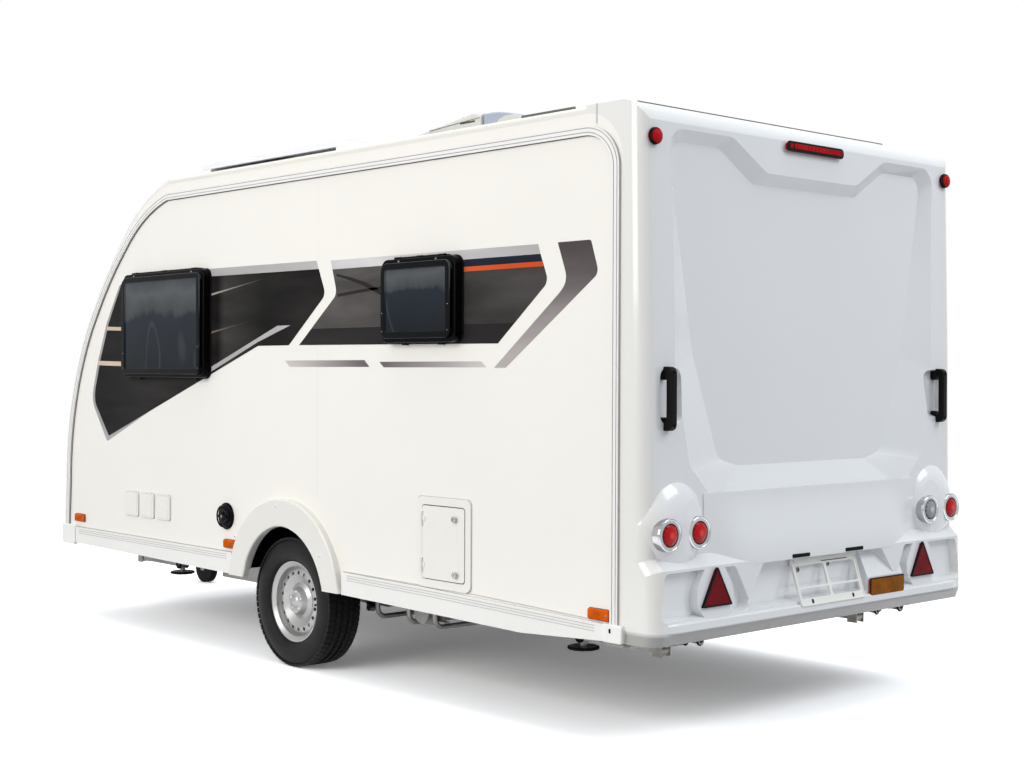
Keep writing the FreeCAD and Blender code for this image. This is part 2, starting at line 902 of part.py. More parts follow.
def rear_panel():
    """Rear moulding: a shell with a sunk centre, a brow, lamp pods, a bumper and a plate recess."""
    outer = rear_solid("RearOuter", Dim.of(0), HALF)
    edge = HALF.value
    back = -S.rear_seam_back.value - 20
    fillet(outer, S.rear_edge_radius, lambda e: rear_edge(e, edge, back))
    hollow = rear_solid("RearHollow", S.skin, HALF - S.skin)
    inner_edge = (HALF - S.skin).value
    fillet(hollow, S.rear_edge_radius - S.skin, lambda e: rear_edge(e, inner_edge, back))
    DOC.recompute()
    pods = [rear_pod(side) for side in (1, -1)]
    flank = Part.makeBox(400, S.body_width.value, 900, Vector(-S.lip_back.value, -HALF.value, 400))
    pods = [pod.common(flank) for pod in pods]
    bulk = outer.Shape.fuse(pods)
    inner_pods = [rear_pod(side, S.skin.value) for side in (1, -1)]
    within = Part.makeBox(
        400, (S.body_width - S.skin * 2).value, 900, Vector(-S.lip_back.value, -(HALF - S.skin).value, 400)
    )
    cavity = hollow.Shape.fuse([pod.common(within) for pod in inner_pods])
    shell = bulk.cut(cavity)
    liners = [recess_tool(S.skin.value)] + bay_tools(S.skin.value)
    liners += [plate_tool(S.skin.value)] + cup_tools(S.skin.value)
    liner = liners[0].fuse(liners[1:])
    solid = shell.fuse(bulk.common(liner))
    tools = [recess_tool(0.0)] + bay_tools(0.0) + [plate_tool(0.0)] + cup_tools(0.0)
    for tool in tools:
        solid = solid.cut(tool)
    solid = solid.fuse(lamp_box())
    for tool in seated_shapes():
        solid = solid.cut(tool)
    solid = largest_solid(solid.removeSplitter())
    return shape_node("rear_panel", solid)


def largest_solid(shape):
    """The main solid of a cut shape, without loose crumbs."""
    return max(shape.Solids, key=lambda solid: solid.Volume)


def lamp_box():
    """Raised box beside the number plate, with a sloping top and the amber lamp on its face."""
    floor = -S.bumper_back.value + S.plate_recess.value + 4
    face = -S.lip_back.value
    top, brow = S.lamp_box_top_z.value, S.rear_amber_high_z.value + 8
    foot = S.lip_low_z.value + 12
    side = [(floor, top), (face, brow), (face, foot), (floor, foot)]
    corners = [Vector(x, -S.rear_amber_far.value - 8, z) for x, z in side]
    wedge = Part.Face(Part.makePolygon(corners + corners[:1]))
    box = wedge.extrude(Vector(0, (S.rear_amber_far - S.rear_amber_near).value + 16, 0))
    crown = [e for e in box.Edges if max(v.X for v in e.Vertexes) < face + 1 and e.BoundBox.ZMin > brow - 1]
    return box.makeFillet(S.reflector_thick.value, crown)


def rear_pod(side, inset=0.0):
    """Soft blister that carries the two lamps at one corner."""
    ball = Part.makeSphere(1.0)
    reach = FreeCAD.Matrix()
    reach.scale(
        Vector(
            S.pod_length.value - inset,
            S.pod_half_width.value - inset,
            S.pod_half_height.value - inset,
        )
    )
    pod = ball.transformGeometry(reach)
    pod.translate(Vector(-S.pod_centre_back.value, side * (HALF - S.pod_inset).value, S.pod_z.value))
    return pod


def rounded_ring(points, x, radius):
    """Closed wire across the caravan at one depth, with every corner rounded."""
    count = len(points)
    edges = []
    trims = []
    for index in range(count):
        here = Vector(x, *points[index])
        before = Vector(x, *points[index - 1])
        after = Vector(x, *points[(index + 1) % count])
        u, v = (before - here), (after - here)
        turn = math.pi - u.getAngle(v)
        trim = min(radius * math.tan(turn / 2), u.Length * 0.45, v.Length * 0.45)
        start = here + u.normalize() * trim
        end = here + v.normalize() * trim
        bow = here.distanceToPoint(start) and (here - (start + end) * 0.5)
        size = trim / math.tan(turn / 2) if turn > 1e-4 else 0
        middle = here - bow.normalize() * (math.hypot(size, trim) - size)
        trims.append((start, middle, end))
    for index in range(count):
        start, middle, end = trims[index]
        edges.append(Part.Arc(start, middle, end).toShape())
        edges.append(Part.LineSegment(end, trims[(index + 1) % count][0]).toShape())
    return Part.Wire(edges)


def half_outline(points):
    """Mirror a half outline given from the top downwards, to close it across the middle."""
    return points + [(-y, z) for y, z in reversed(points)]


def recess_rings():
    """Half outlines of the sunk floor and of its mouth, from the brow down to the ledge."""
    floor = [
        (S.brow_low_half.value + S.cove_height.value, S.brow_low_z.value - S.cove_height.value),
        (S.brow_high_half.value + S.cove_height.value, S.brow_high_z.value - S.cove_height.value),
        (S.floor_top_half.value, S.brow_high_z.value - S.cove_height.value),
        (S.floor_mid_half.value, S.floor_mid_z.value),
        (S.floor_low_half.value, S.floor_low_z.value + 30),
        (S.floor_low_half.value * 0.78, S.floor_low_z.value),
    ]
    mouth = [
        (S.brow_low_half.value - 8, S.brow_low_z.value),
        (S.brow_high_half.value - 8, S.brow_high_z.value),
        (S.floor_top_half.value + S.facet_top.value, S.brow_high_z.value),
        (S.floor_mid_half.value + S.facet_mid.value, S.floor_mid_z.value - 60),
        (S.floor_low_half.value + S.facet_low.value, S.floor_low_z.value),
        (S.floor_low_half.value + S.facet_low.value * 0.35, S.floor_low_z.value - S.ledge_drop.value),
    ]
    return floor, mouth


def recess_tool(grow):
    """Tapered tool of the sunk centre; grow makes the liner behind it."""
    floor, mouth = recess_rings()
    depth = S.ledge_back.value - S.floor_back.value
    reach = (S.lip_back.value + 30 - S.floor_back.value) / depth

    def spread(factor, out):
        middle = S.floor_mid_z.value
        points = []
        for (y0, z0), (y1, z1) in zip(floor, mouth):
            y, z = y0 + (y1 - y0) * factor, z0 + (z1 - z0) * factor
            points.append((y + out, z + (out if z > middle else -out)))
        return half_outline(points)

    radius = S.floor_corner_radius.value
    near = rounded_ring(spread(0.0, grow), -S.floor_back.value + grow, radius)
    far = rounded_ring(spread(reach, grow), -S.lip_back.value - 30, radius * 1.5)
    return Part.makeLoft([near, far], True, True)


def bay_tools(grow):
    """Shallow bays in the bumper, each with a round pad left standing for its reflector."""
    tools = []
    for side in (1, -1):
        near, far = S.bay_near.value - grow, (HALF - S.bay_far_inset).value + grow
        low, high = S.bay_low_z.value - grow, S.bay_high_z.value + grow
        back = -S.bumper_back.value + S.bay_depth.value + grow
        slant = (high - low) * 0.55
        inner = [(near + slant, high), (far - 26, high), (far, low), (near, low)]
        centre = (sum(y for y, _ in inner) / 4, sum(z for _, z in inner) / 4)
        outer = [
            (y + (y - centre[0]) * 0.10, z + (z - centre[1]) * 0.16) for y, z in inner
        ]
        rings = []
        for points, x in ((inner, back), (outer, -S.lip_back.value - 12)):
            points = [(side * y, z) for y, z in points]
            rings.append(rounded_ring(points if side > 0 else points[::-1], x, 30))
        bay = Part.makeLoft(rings, True, True)
        tools.append(bay.cut(reflector_pad(side)) if not grow else bay)
    return tools


def reflector_pad(side):
    """Egg-shaped stand that carries one triangle, wider at its foot."""
    floor = -S.bumper_back.value + S.bay_depth.value
    rings = []
    for x, out in ((floor, 10), (floor - S.bay_depth.value - 16, 0)):
        wide, high = S.pad_half_width.value + out, S.pad_half_height.value + out
        half = [(wide * 0.42, high), (wide, high * 0.12), (wide, -high * 0.48), (wide * 0.5, -high)]
        points = [(side * (PAD.value + y), S.pad_z.value + z) for y, z in half]
        points += [(side * (PAD.value - y), S.pad_z.value + z) for y, z in reversed(half)]
        rings.append(rounded_ring(points if side > 0 else points[::-1], x, S.pad_radius.value))
    return Part.makeLoft(rings, True, True)


def plate_tool(grow):
    """Tapered recess behind the number plate, open down to the lip."""
    low, high = S.plate_low_z.value - grow, S.plate_top_z.value + grow
    top, foot = S.plate_top_half.value + grow, S.plate_low_half.value + grow
    back = -S.bumper_back.value + S.plate_recess.value + grow
    inner = [(top - 40, high - 22), (foot - 30, low + 10), (-foot + 30, low + 10), (-top + 40, high - 22)]
    outer = [(top, high), (foot, low), (-foot, low), (-top, high)]
    rings = [
        rounded_ring(inner, back, 24),
        rounded_ring(outer, -S.lip_back.value - 14, 30),
    ]
    return Part.makeLoft(rings, True, True)


def cup_tools(grow):
    """Hand cups behind the two grips."""
    tools = []
    for side in (1, -1):
        low, high = S.grip_low_z.value + 14 - grow, S.grip_high_z.value + 4 + grow
        near, far = GRIP.value - 128 - grow, GRIP.value + 46 + grow
        back = -S.waist_back.value + S.cup_depth.value + grow
        inner = [(near + 34, high - 20), (far - 22, high - 16), (far - 22, low + 20), (near + 62, low + 24)]
        outer = [(near, high), (far, high), (far, low), (near + 30, low)]
        rings = []
        for points, x in ((inner, back), (outer, -S.waist_back.value - 30)):
            points = [(side * y, z) for y, z in points]
            rings.append(rounded_ring(points if side > 0 else points[::-1], x, 36))
        tools.append(Part.makeLoft(rings, True, True))
    return tools


def seated_shapes():
    """Lamps and fittings let into the rear moulding, in its own drawing frame."""
    seated = []
    for y in (LAMP_OUTER, LAMP_INNER, -LAMP_INNER, -LAMP_OUTER):
        mouth = Vector(-S.lamp_back.value - 40, y.value, S.lamp_z.value)
        seated.append(Part.makeCylinder(S.bezel_radius.value, 62, mouth, Vector(1, 0, 0)))
    for label, item in NODES:
        if label in REAR_FITTINGS:
            shape = item.Shape.copy()
            shape.translate(Vector(-SHIFT.value, 0, 0))
            seated.extend(solid for solid in shape.Solids if not in_lamp_pod(solid))
    return seated


REAR_FITTINGS = ("red_lamps", "triangle_reflectors", "amber_lamps", "plate_holder", "grab_handles")


def in_lamp_pod(solid):
    """Whether a solid is one of the four round lamps, which have their own round seats."""
    box = solid.BoundBox
    return box.XMax < -S.lip_back.value + 60 and abs(box.Center.z - S.lamp_z.value) < 2


def rear_edge(edge, side, back):
    """Whether an edge lies on a side face of the rear moulding, on its outer line."""
    ends = [v.Point for v in edge.Vertexes]
    if any(abs(abs(p.y) - side) > 0.1 for p in ends):
        return False
    middle = edge.valueAt((edge.FirstParameter + edge.LastParameter) / 2)
    if abs(abs(middle.y) - side) > 0.1:
        return False
    low = min(p.z for p in ends) < S.skirt_rear_foot_z.value + S.skin.value + 1
    flat = abs(ends[0].z - ends[1].z) < 0.1
    return all(p.x < back for p in ends) and not (low and flat)


# rails, skirts and arches
def rail_band(name, owner, near, far, proud):
    """Band along the seam of a side wall between two distances from it."""
    line = sketch(owner, name, "XZ", HALF + proud)
    outer, outer_radii = nose_inner(near)
    inner, inner_radii = nose_inner(far)
    top = S.roof_z - S.roof_thick
    rear = -S.rear_seam_back
    outer[0] = (outer[0][0], S.front_cap_top_z)
    inner[0] = (inner[0][0], S.front_cap_top_z)
    points = outer + [
        (rear + CORNER, top - near),
        (rear + near, top - CORNER),
        (rear + near, S.skirt_rear_top_z + 3),
        (rear + far, S.skirt_rear_top_z + 3),
        (rear + far, top - CORNER),
        (rear + CORNER, top - far),
    ] + inner[::-1]
    count = len(outer)
    arcs = {
        1: (outer_radii[0], 1),
        2: (outer_radii[1], 1),
        3: (outer_radii[2], 1),
        count: (CORNER - near, 1),
        count + 4: (CORNER - far, -1),
        count + 6: (inner_radii[2], -1),
        count + 7: (inner_radii[1], -1),
        count + 8: (inner_radii[0], -1),
    }
    return outline(line, points, arcs)


def edge_rails():
    """Ribbed rails over the joints of the side walls, round the roof and the nose."""
    rail = body("EdgeRail")
    near = S.rail_drop - S.rail_height
    pad(rail, rail_band("RailOutline", rail, near, S.rail_drop, S.rail_proud), S.rail_proud)
    for index, start in enumerate((near + 8, near + 26)):
        groove = rail_band(f"RailGroove{index}", rail, start, start + S.groove_width, S.rail_proud)
        pocket(rail, groove, S.groove_depth)
    return node("edge_rails", pair("EdgeRails", rail))


def skirt_grooves(owner, name, line, drops, out):
    """Ribs of a skirt: narrow grooves that follow its top edge."""
    for index, drop in enumerate(drops):
        low = drop + S.groove_width
        strip = [(x, z - low) for x, z in line] + [(x, z - drop) for x, z in reversed(line)]
        groove = outline(sketch(owner, f"{name}{index}", "XZ", out), strip)
        pocket(owner, groove, S.groove_depth)


def skirt_rails():
    """Lower skirts before and behind the wheel, with ribs along their upper half."""
    start, gap = S.arch_outer_half, S.cap_gap
    out = HALF + S.skirt_thick
    drops = [S.groove_pitch * (index + 1) for index in range(3)]
    inset = S.cap_length * 0.2
    front = body("FrontSkirt")
    nose = S.front_cap_x - gap
    points = [
        (start, S.skirt_foot_z - 20),
        (nose, S.skirt_foot_z),
        (nose, S.skirt_top_z),
        (start, S.skirt_top_z - 4),
    ]
    pad(front, outline(sketch(front, "FrontSkirtLine", "XZ", out), points), S.skirt_thick)
    line = [(start + inset, S.skirt_top_z - 4), (nose - inset, S.skirt_top_z)]
    skirt_grooves(front, "FrontGroove", line, drops, out)
    rear = body("RearSkirt")
    tail = -S.rear_seam_back + S.rear_cap_reach
    middle = (tail - start) / 2 + S.cap_length
    points = [
        (tail, S.skirt_rear_foot_z),
        (tail + S.cap_length * 2.2, S.skirt_sag_z),
        (-start, S.skirt_foot_z - 24),
        (-start, S.skirt_top_z - 12),
        (middle, S.skirt_top_z - 20),
        (tail, S.skirt_rear_top_z),
    ]
    pad(rear, outline(sketch(rear, "RearSkirtLine", "XZ", out), points), S.skirt_thick)
    line = [
        (tail + inset, S.skirt_rear_top_z + 1),
        (middle, S.skirt_top_z - 20),
        (-start - inset, S.skirt_top_z - 12),
    ]
    skirt_grooves(rear, "RearGroove", line, drops, out)
    both = group("Skirts", front, rear, mirrored("FrontSkirtRight", front), mirrored("RearSkirtRight", rear))
    return node("skirt_rails", both)


def skirt_caps():
    """Moulded end caps over the ends of the skirts and the feet of the edge rails."""
    out = HALF + S.end_cap_proud
    tail = -S.rear_seam_back + S.rear_cap_reach
    spans = (
        ("NoseCap", S.front_cap_x, S.front_cap_end_x, S.front_cap_foot_z, S.front_cap_top_z),
        ("TailCap", tail - S.rear_cap_reach - S.end_cap_proud, tail, S.skirt_rear_foot_z - 3, S.skirt_rear_top_z + 3),
    )
    caps = []
    for name, low_x, high_x, low_z, high_z in spans:
        cap = body(name)
        profile = sketch(cap, name + "Line", "XZ", out)
        rounded(profile, low_x, high_x, low_z, high_z, S.frame_edge_radius + 3)
        pad(cap, profile, S.end_cap_proud)
        fillet(cap, S.pane_edge_radius, lambda e: on_plane(e, out.value))
        caps += [cap, mirrored(name + "Right", cap)]
    return node("skirt_caps", group("SkirtCaps", *caps))


def wheel_arches():
    """Arch mouldings that stand proud of the walls round the wheels."""
    arch = body("WheelArch")
    out = HALF + S.arch_proud
    foot = S.skirt_foot_z - 20
    wide, eye = S.arch_outer_half, S.arch_inner_half
    shoulder = foot + S.arch_shoulder_height
    points = [
        (eye, foot),
        (wide, foot),
        (wide - 26, shoulder),
        (0, S.arch_head_z),
        (-wide + 26, shoulder),
        (-wide, foot),
        (-eye, foot),
        (0, S.arch_eye_z),
    ]
    arcs = {
        2: (S.arch_outer_radius, 1),
        3: (S.arch_outer_radius, 1),
        6: (S.arch_inner_radius, -1),
        7: (S.arch_inner_radius, -1),
    }
    pad(arch, outline(sketch(arch, "ArchOutline", "XZ", out), points, arcs), S.arch_proud)
    fillet(arch, S.arch_edge_radius, lambda e: on_arch_crown(e, out.value, foot.value))
    return node("wheel_arches", pair("WheelArches", arch))


def on_arch_crown(edge, y, foot):
    """Whether an edge runs along the outer face of an arch, clear of its feet."""
    ends = [v.Point for v in edge.Vertexes]
    return all(abs(p.y - y) < 0.1 for p in ends) and max(p.z for p in ends) > foot + 1


# windows
def frame_body(name, plane_y, limits, proud, bar_inset):
    """Window frame: a deep rounded band that stands on the wall, with a hinge bar above."""
    low_x, high_x, low_z, high_z = limits
    frame = body(name)
    out = plane_y + proud
    profile = sketch(frame, name + "Line", "XZ", out)
    rounded(profile, low_x, high_x, low_z, high_z, S.frame_radius + S.frame_band / 2)
    band = S.frame_band
    rounded(profile, low_x + band, high_x - band, low_z + band, high_z - band, S.frame_radius)
    pad(frame, profile, proud)
    fillet(frame, S.frame_edge_radius, lambda e: on_plane(e, out.value))
    bar = sketch(frame, name + "Bar", "XZ", plane_y + S.hinge_bar_proud)
    inset = (high_x - low_x) * bar_inset
    rounded(bar, low_x + inset, high_x - inset, high_z - band / 2, high_z + 9, 4)
    pad(frame, bar, S.hinge_bar_proud)
    return frame


def on_plane(edge, y):
    """Whether an edge lies in one plane parallel to the side walls."""
    ends = [v.Point for v in edge.Vertexes]
    return all(abs(p.y - y) < 0.1 for p in ends)


def big_limits():
    """Limits of the large side window."""
    return S.front_window_rear, S.front_window_front, S.window_sill_z, S.window_head_z


def small_limits():
    """Limits of the small side window."""
    return S.small_window_rear, S.small_window_front, S.small_sill_z, S.small_head_z


def pane_body(name, plane_y, limits):
    """Acrylic pane held in its frame: a rounded rim about a sunk middle."""
    low_x, high_x, low_z, high_z = limits
    pane = body(name)
    band, rim = S.frame_band, S.frame_band + S.pane_rim
    face = plane_y + S.pane_proud
    profile = sketch(pane, name + "Line", "XZ", face)
    rounded(profile, low_x + band, high_x - band, low_z + band, high_z - band, S.frame_radius)
    pad(pane, profile, S.pane_thick)
    fillet(pane, S.pane_edge_radius, lambda e: on_plane(e, face.value))
    dish = sketch(pane, name + "Dish", "XZ", face)
    rounded(dish, low_x + rim, high_x - rim, low_z + rim, high_z - rim, S.frame_radius - S.pane_rim / 2)
    pocket(pane, dish, S.dish_depth)
    fillet(pane, S.dish_depth / 2.2, lambda e: in_dish(e, face.value, low_x.value, high_x.value))
    floor = (face - S.dish_depth).value
    fillet(pane, S.dish_depth / 2.2, lambda e: on_plane(e, floor))
    return pane


def in_dish(edge, y, low_x, high_x):
    """Whether an edge is on the mouth of the sunk middle of a pane."""
    inset = (S.frame_band + S.pane_rim).value - 1
    ends = [v.Point for v in edge.Vertexes]
    return on_plane(edge, y) and all(low_x + inset < p.x < high_x - inset for p in ends)


def windows():
    big = frame_body("BigFrame", HALF, big_limits(), S.frame_proud, 0.09)
    small = frame_body("SmallFrame", HALF, small_limits(), S.frame_proud, 0.16)
    nose = nose_ring("NoseFrame", S.frame_band / 2, -S.frame_band / 2, S.frame_proud)
    node("window_frames", group("WindowFrames", big, mirrored("BigFrameRight", big), small, nose))
    big = pane_body("BigPane", HALF, big_limits())
    small = pane_body("SmallPane", HALF, small_limits())
    nose = nose_ring("NosePane", -S.frame_band / 2, None, S.pane_proud)
    node("window_panes", group("WindowPanes", big, mirrored("BigPaneRight", big), small, nose))


def nose_ring(name, grow, hole, proud):
    """Band or pane that lies on the curved nose round its window opening."""
    shell = body(name)
    proud_by = Dim.of(proud)
    outer = [
        (S.chin_x, S.chin_z),
        (S.chin_x + proud_by, S.chin_z),
        (S.brow_x + proud_by * 0.82, S.brow_z + proud_by * 0.57),
        (S.crest_x + proud_by * 0.71, S.crest_z + proud_by * 0.70),
        (S.crest_x, S.crest_z),
        (S.brow_x, S.brow_z),
    ]
    arcs = {
        1: (S.nose_low_radius + proud_by, 1),
        2: (S.nose_mid_radius + proud_by, 1),
        4: (S.nose_mid_radius, -1),
        5: (S.nose_low_radius, -1),
    }
    half = S.nose_window_half + grow
    pad(shell, outline(sketch(shell, name + "Line", "XZ", half), outer, arcs), half * 2)
    DOC.recompute()
    keep = body(name + "Keep")
    line = sketch(keep, name + "KeepLine", "YZ", S.crest_x - S.wall)
    rounded(line, -half, half, S.nose_window_low_z - grow, S.nose_window_high_z + grow, S.frame_radius)
    if hole is not None:
        inset = S.nose_window_half + hole
        rounded(
            line, -inset, inset, S.nose_window_low_z - hole, S.nose_window_high_z + hole,
            S.frame_radius * 0.7,
        )
    pad(keep, line, S.nose_foot_x - S.crest_x + S.wall * 3)
    item = DOC.addObject("Part::Common", name + "Common")
    item.Base = shell
    item.Tool = keep
    return item


# doors and hatches
def entrance_door():
    """Entrance door on the right, with its window; hinged at its front edge."""
    leaf = body("EntranceDoor")
    gap = S.door_gap
    out = -HALF + S.door_thick - 4
    profile = rounded(
        sketch(leaf, "DoorOutline", "XZ", out),
        S.door_rear + gap, S.door_front - gap, S.door_foot_z + gap, S.door_head_z - gap,
        S.door_radius - gap,
    )
    pad(leaf, profile, S.door_thick)
    hole = rounded(
        sketch(leaf, "DoorWindowHole", "XZ", out),
        S.door_rear + 130, S.door_front - 130, S.small_sill_z, S.small_head_z, S.frame_radius,
    )
    pocket(leaf, hole, S.door_thick)
    post = body("HingePost")
    rectangle(
        sketch(post, "HingePostLine", "XZ", -HALF),
        S.door_front + 2, S.door_front + 36, S.door_foot_z + 60, S.door_head_z - 60,
    )
    pad(post, post.Group[0], 4)
    out = -HALF - S.hinge_out

    def leaf_strap(name, spot, third):
        return [block(name, S.door_front - 46, S.door_front, out, -HALF - 4, spot + third, spot + third * 2)]

    def post_strap(name, spot, third):
        return [
            block(name + "A", S.door_front, S.door_front + 30, out, -HALF - 4, spot, spot + third - S.pin_gap),
            block(name + "B", S.door_front, S.door_front + 30, out, -HALF - 4, spot + third * 2 + S.pin_gap, spot + third * 3),
        ]

    held, door = hinged(
        "DoorHinge", post, leaf, "z", (S.door_front, out, 0), 120,
        [S.door_foot_z + 180, S.door_head_z - 300, (S.door_foot_z + S.door_head_z) / 2 - 60],
        {"moving": leaf_strap, "fixed": post_strap},
    )
    node("door_hinge_strip", held)
    node("entrance_door", door)
    pane = body("DoorPane")
    face = -HALF - 4
    rounded(
        sketch(pane, "DoorPaneLine", "XZ", face),
        S.door_rear + 112, S.door_front - 112, S.small_sill_z - 18, S.small_head_z + 18,
        S.frame_radius,
    )
    pad(pane, pane.Group[0], 18)
    node("door_window", pane)
    handle = block(
        "DoorHandle", S.door_rear + 45, S.door_rear + 95, -HALF - 34, -HALF - 4, 1220, 1360,
    )
    node("door_handle", handle)


def door_frame():
    """Aluminium frame round the doorway, on the inner side of the wall."""
    frame = body("DoorFrame")
    out = -HALF + S.wall + 8
    profile = sketch(frame, "DoorFrameLine", "XZ", out)
    rounded(
        profile, S.door_rear - 26, S.door_front + 26, S.door_foot_z - 16, S.door_head_z + 26,
        S.door_radius + 26,
    )
    rounded(
        profile, S.door_rear + 14, S.door_front - 14, S.door_foot_z + 14, S.door_head_z - 14,
        S.door_radius - 14,
    )
    pad(frame, profile, 8)
    node("door_frame", frame)


def cassette():
    """Frame and door of the toilet cassette hatch; the door hinges at its front edge."""
    frame = body("CassetteFrame")
    band = S.cassette_band
    line = sketch(frame, "CassetteLine", "XZ", HALF + 7)
    rounded(line, S.cassette_rear, S.cassette_front, S.cassette_foot_z, S.cassette_head_z, band)
    rounded(
        line, S.cassette_rear + band, S.cassette_front - band, S.cassette_foot_z + band,
        S.cassette_head_z - band, band / 2,
    )
    pad(frame, line, 7)
    door = body("CassetteDoor")
    inset = band + 4
    rounded(
        sketch(door, "CassetteDoorLine", "XZ", HALF + 9),
        S.cassette_rear + inset, S.cassette_front - inset, S.cassette_foot_z + inset,
        S.cassette_head_z - inset, band / 2 - 2,
    )
    pad(door, door.Group[0], 30)
    axis_x = S.cassette_front - band - 2
    out = HALF + 7 + S.hinge_radius * 0.6

    def leaf_strap(name, spot, third):
        return [block(name, axis_x - 22, axis_x, HALF + 9, out, spot + third, spot + third * 2)]

    middle = (S.cassette_foot_z + S.cassette_head_z) / 2
    held, leaf = hinged(
        "CassetteHinge", frame, door, "z", (axis_x, out, 0), 60,
        [middle - 130, middle + 70], {"moving": leaf_strap},
    )
    node("cassette_frame", held)
    node("cassette_door", leaf)


def service_hatches():
    """Row of three small service covers and the round filler."""
    covers = []
    for index in range(3):
        cover = body(f"Hatch{index}")
        front = S.hatch_front - S.hatch_pitch * index
        rounded(
            sketch(cover, f"HatchLine{index}", "XZ", HALF + 9),
            front - S.hatch_width, front, S.hatch_foot_z, S.hatch_head_z, 14,
        )
        pad(cover, cover.Group[0], 9)
        covers.append(cover)
    node("service_hatches", group("ServiceHatches", *covers))
    filler = round_bar("Filler", "y", S.filler_x, HALF, S.filler_z, S.filler_radius, 12)
    cap = round_bar("FillerCap", "y", S.filler_x, HALF + 12, S.filler_z, S.filler_radius * 0.62, 14)
    node("filler_cap", fuse("FillerBoth", filler, cap))


def nose_solid(name):
    """The whole nose as one block, for cutting what seats on its curve."""
    part = body(name)
    outer = [
        (S.nose_foot_x, S.wall_foot_z),
        (S.chin_x, S.chin_z),
        (S.brow_x, S.brow_z),
        (S.crest_x, S.crest_z),
        (S.roof_front_x, S.roof_z),
        (S.roof_front_x, S.wall_foot_z),
    ]
    arcs = {
        1: (S.nose_low_radius, 1),
        2: (S.nose_mid_radius, 1),
        3: (S.nose_top_radius, 1),
    }
    pad(part, outline(sketch(part, name + "Line", "XZ", HALF), outer, arcs), S.body_width)
    return part


def gas_locker_lid():
    """Lid of the gas locker in the nose, hinged at its head."""
    lid = body("GasLockerLid")
    gap = 6
    inner, radii = nose_inner(Dim.of(0))
    outer, outer_radii = nose_inner(Dim.of(-34))
    points = [inner[0], outer[0], outer[1], outer[2], inner[2], inner[1]]
    arcs = {2: (outer_radii[0], 1), 4: (radii[0], -1)}
    half = S.lid_half - gap
    pad(lid, outline(sketch(lid, "LidLine", "XZ", half), points, arcs), half * 2)
    keep = body("LidKeep")
    rounded(
        sketch(keep, "LidKeepLine", "YZ", S.chin_x - 200),
        -half, half, S.lid_foot_z + gap, S.lid_head_z - gap, S.frame_radius - gap,
    )
    pad(keep, keep.Group[0], 300)
    item = DOC.addObject("Part::Common", "LidCommon")
    item.Base = lid
    item.Tool = keep
    axis_x = S.chin_x - 16
    axis_z = S.lid_head_z + 4
    rail = cut(
        "LidRailSeat",
        block("LidRail", axis_x - 40, axis_x - 4, -half, half, axis_z + 2, axis_z + 26),
        nose_solid("LidRailNose"),
    )

    def lid_strap(name, spot, third):
        return [block(name, axis_x - 8, axis_x, spot + third, spot + third * 2, axis_z - 40, axis_z)]

    def rail_strap(name, spot, third):
        return [
            block(name + "A", axis_x - 8, axis_x, spot, spot + third - S.pin_gap, axis_z, axis_z + 8),
            block(name + "B", axis_x - 8, axis_x, spot + third * 2 + S.pin_gap, spot + third * 3, axis_z, axis_z + 8),
        ]

    held, leaf = hinged(
        "LidHinge", rail, item, "y", (axis_x, 0, axis_z), 90,
        [Dim.of(-500), Dim.of(-45), Dim.of(410)], {"moving": lid_strap, "fixed": rail_strap},
    )
    node("lid_hinge_rail", held)
    node("gas_locker_lid", leaf)


# roof fittings
def gas_locker_box():
    """Bulkhead and shelf that close the gas locker off from the cabin."""
    side = HALF - S.wall
    top = S.lid_head_z + 40
    wallboard = block(
        "Bulkhead", S.chin_x - 430, S.chin_x - 430 + S.board, -side, side,
        S.wall_foot_z + S.floor_thick, top,
    )
    shelf = block("LockerShelf", S.chin_x - 430, S.chin_x - 90, -side, side, top, top + S.board)
    node("locker_bulkhead", fuse("LockerBox", wallboard, shelf))


def cooler_line(skin):
    """Side line of the roof cooler: high at the rear and drawn out to a low nose."""
    high = S.roof_z + S.cooler_height - skin
    foot = S.roof_z - 1 if skin.value else S.roof_z
    length = S.cooler_front - S.cooler_rear
    return [
        (S.cooler_rear + skin, foot),
        (S.cooler_front - skin, foot),
        (S.cooler_front - skin, S.roof_z + S.cooler_height * 0.16),
        (S.cooler_front - length * 0.12 - skin / 2, S.roof_z + S.cooler_height * 0.42 - skin),
        (S.cooler_rear + length * 0.56, high - S.cooler_height * 0.29),
        (S.cooler_rear + length * 0.08 + skin / 2, high),
        (S.cooler_rear + length * 0.03 + skin, high - S.cooler_height * 0.06),
    ]


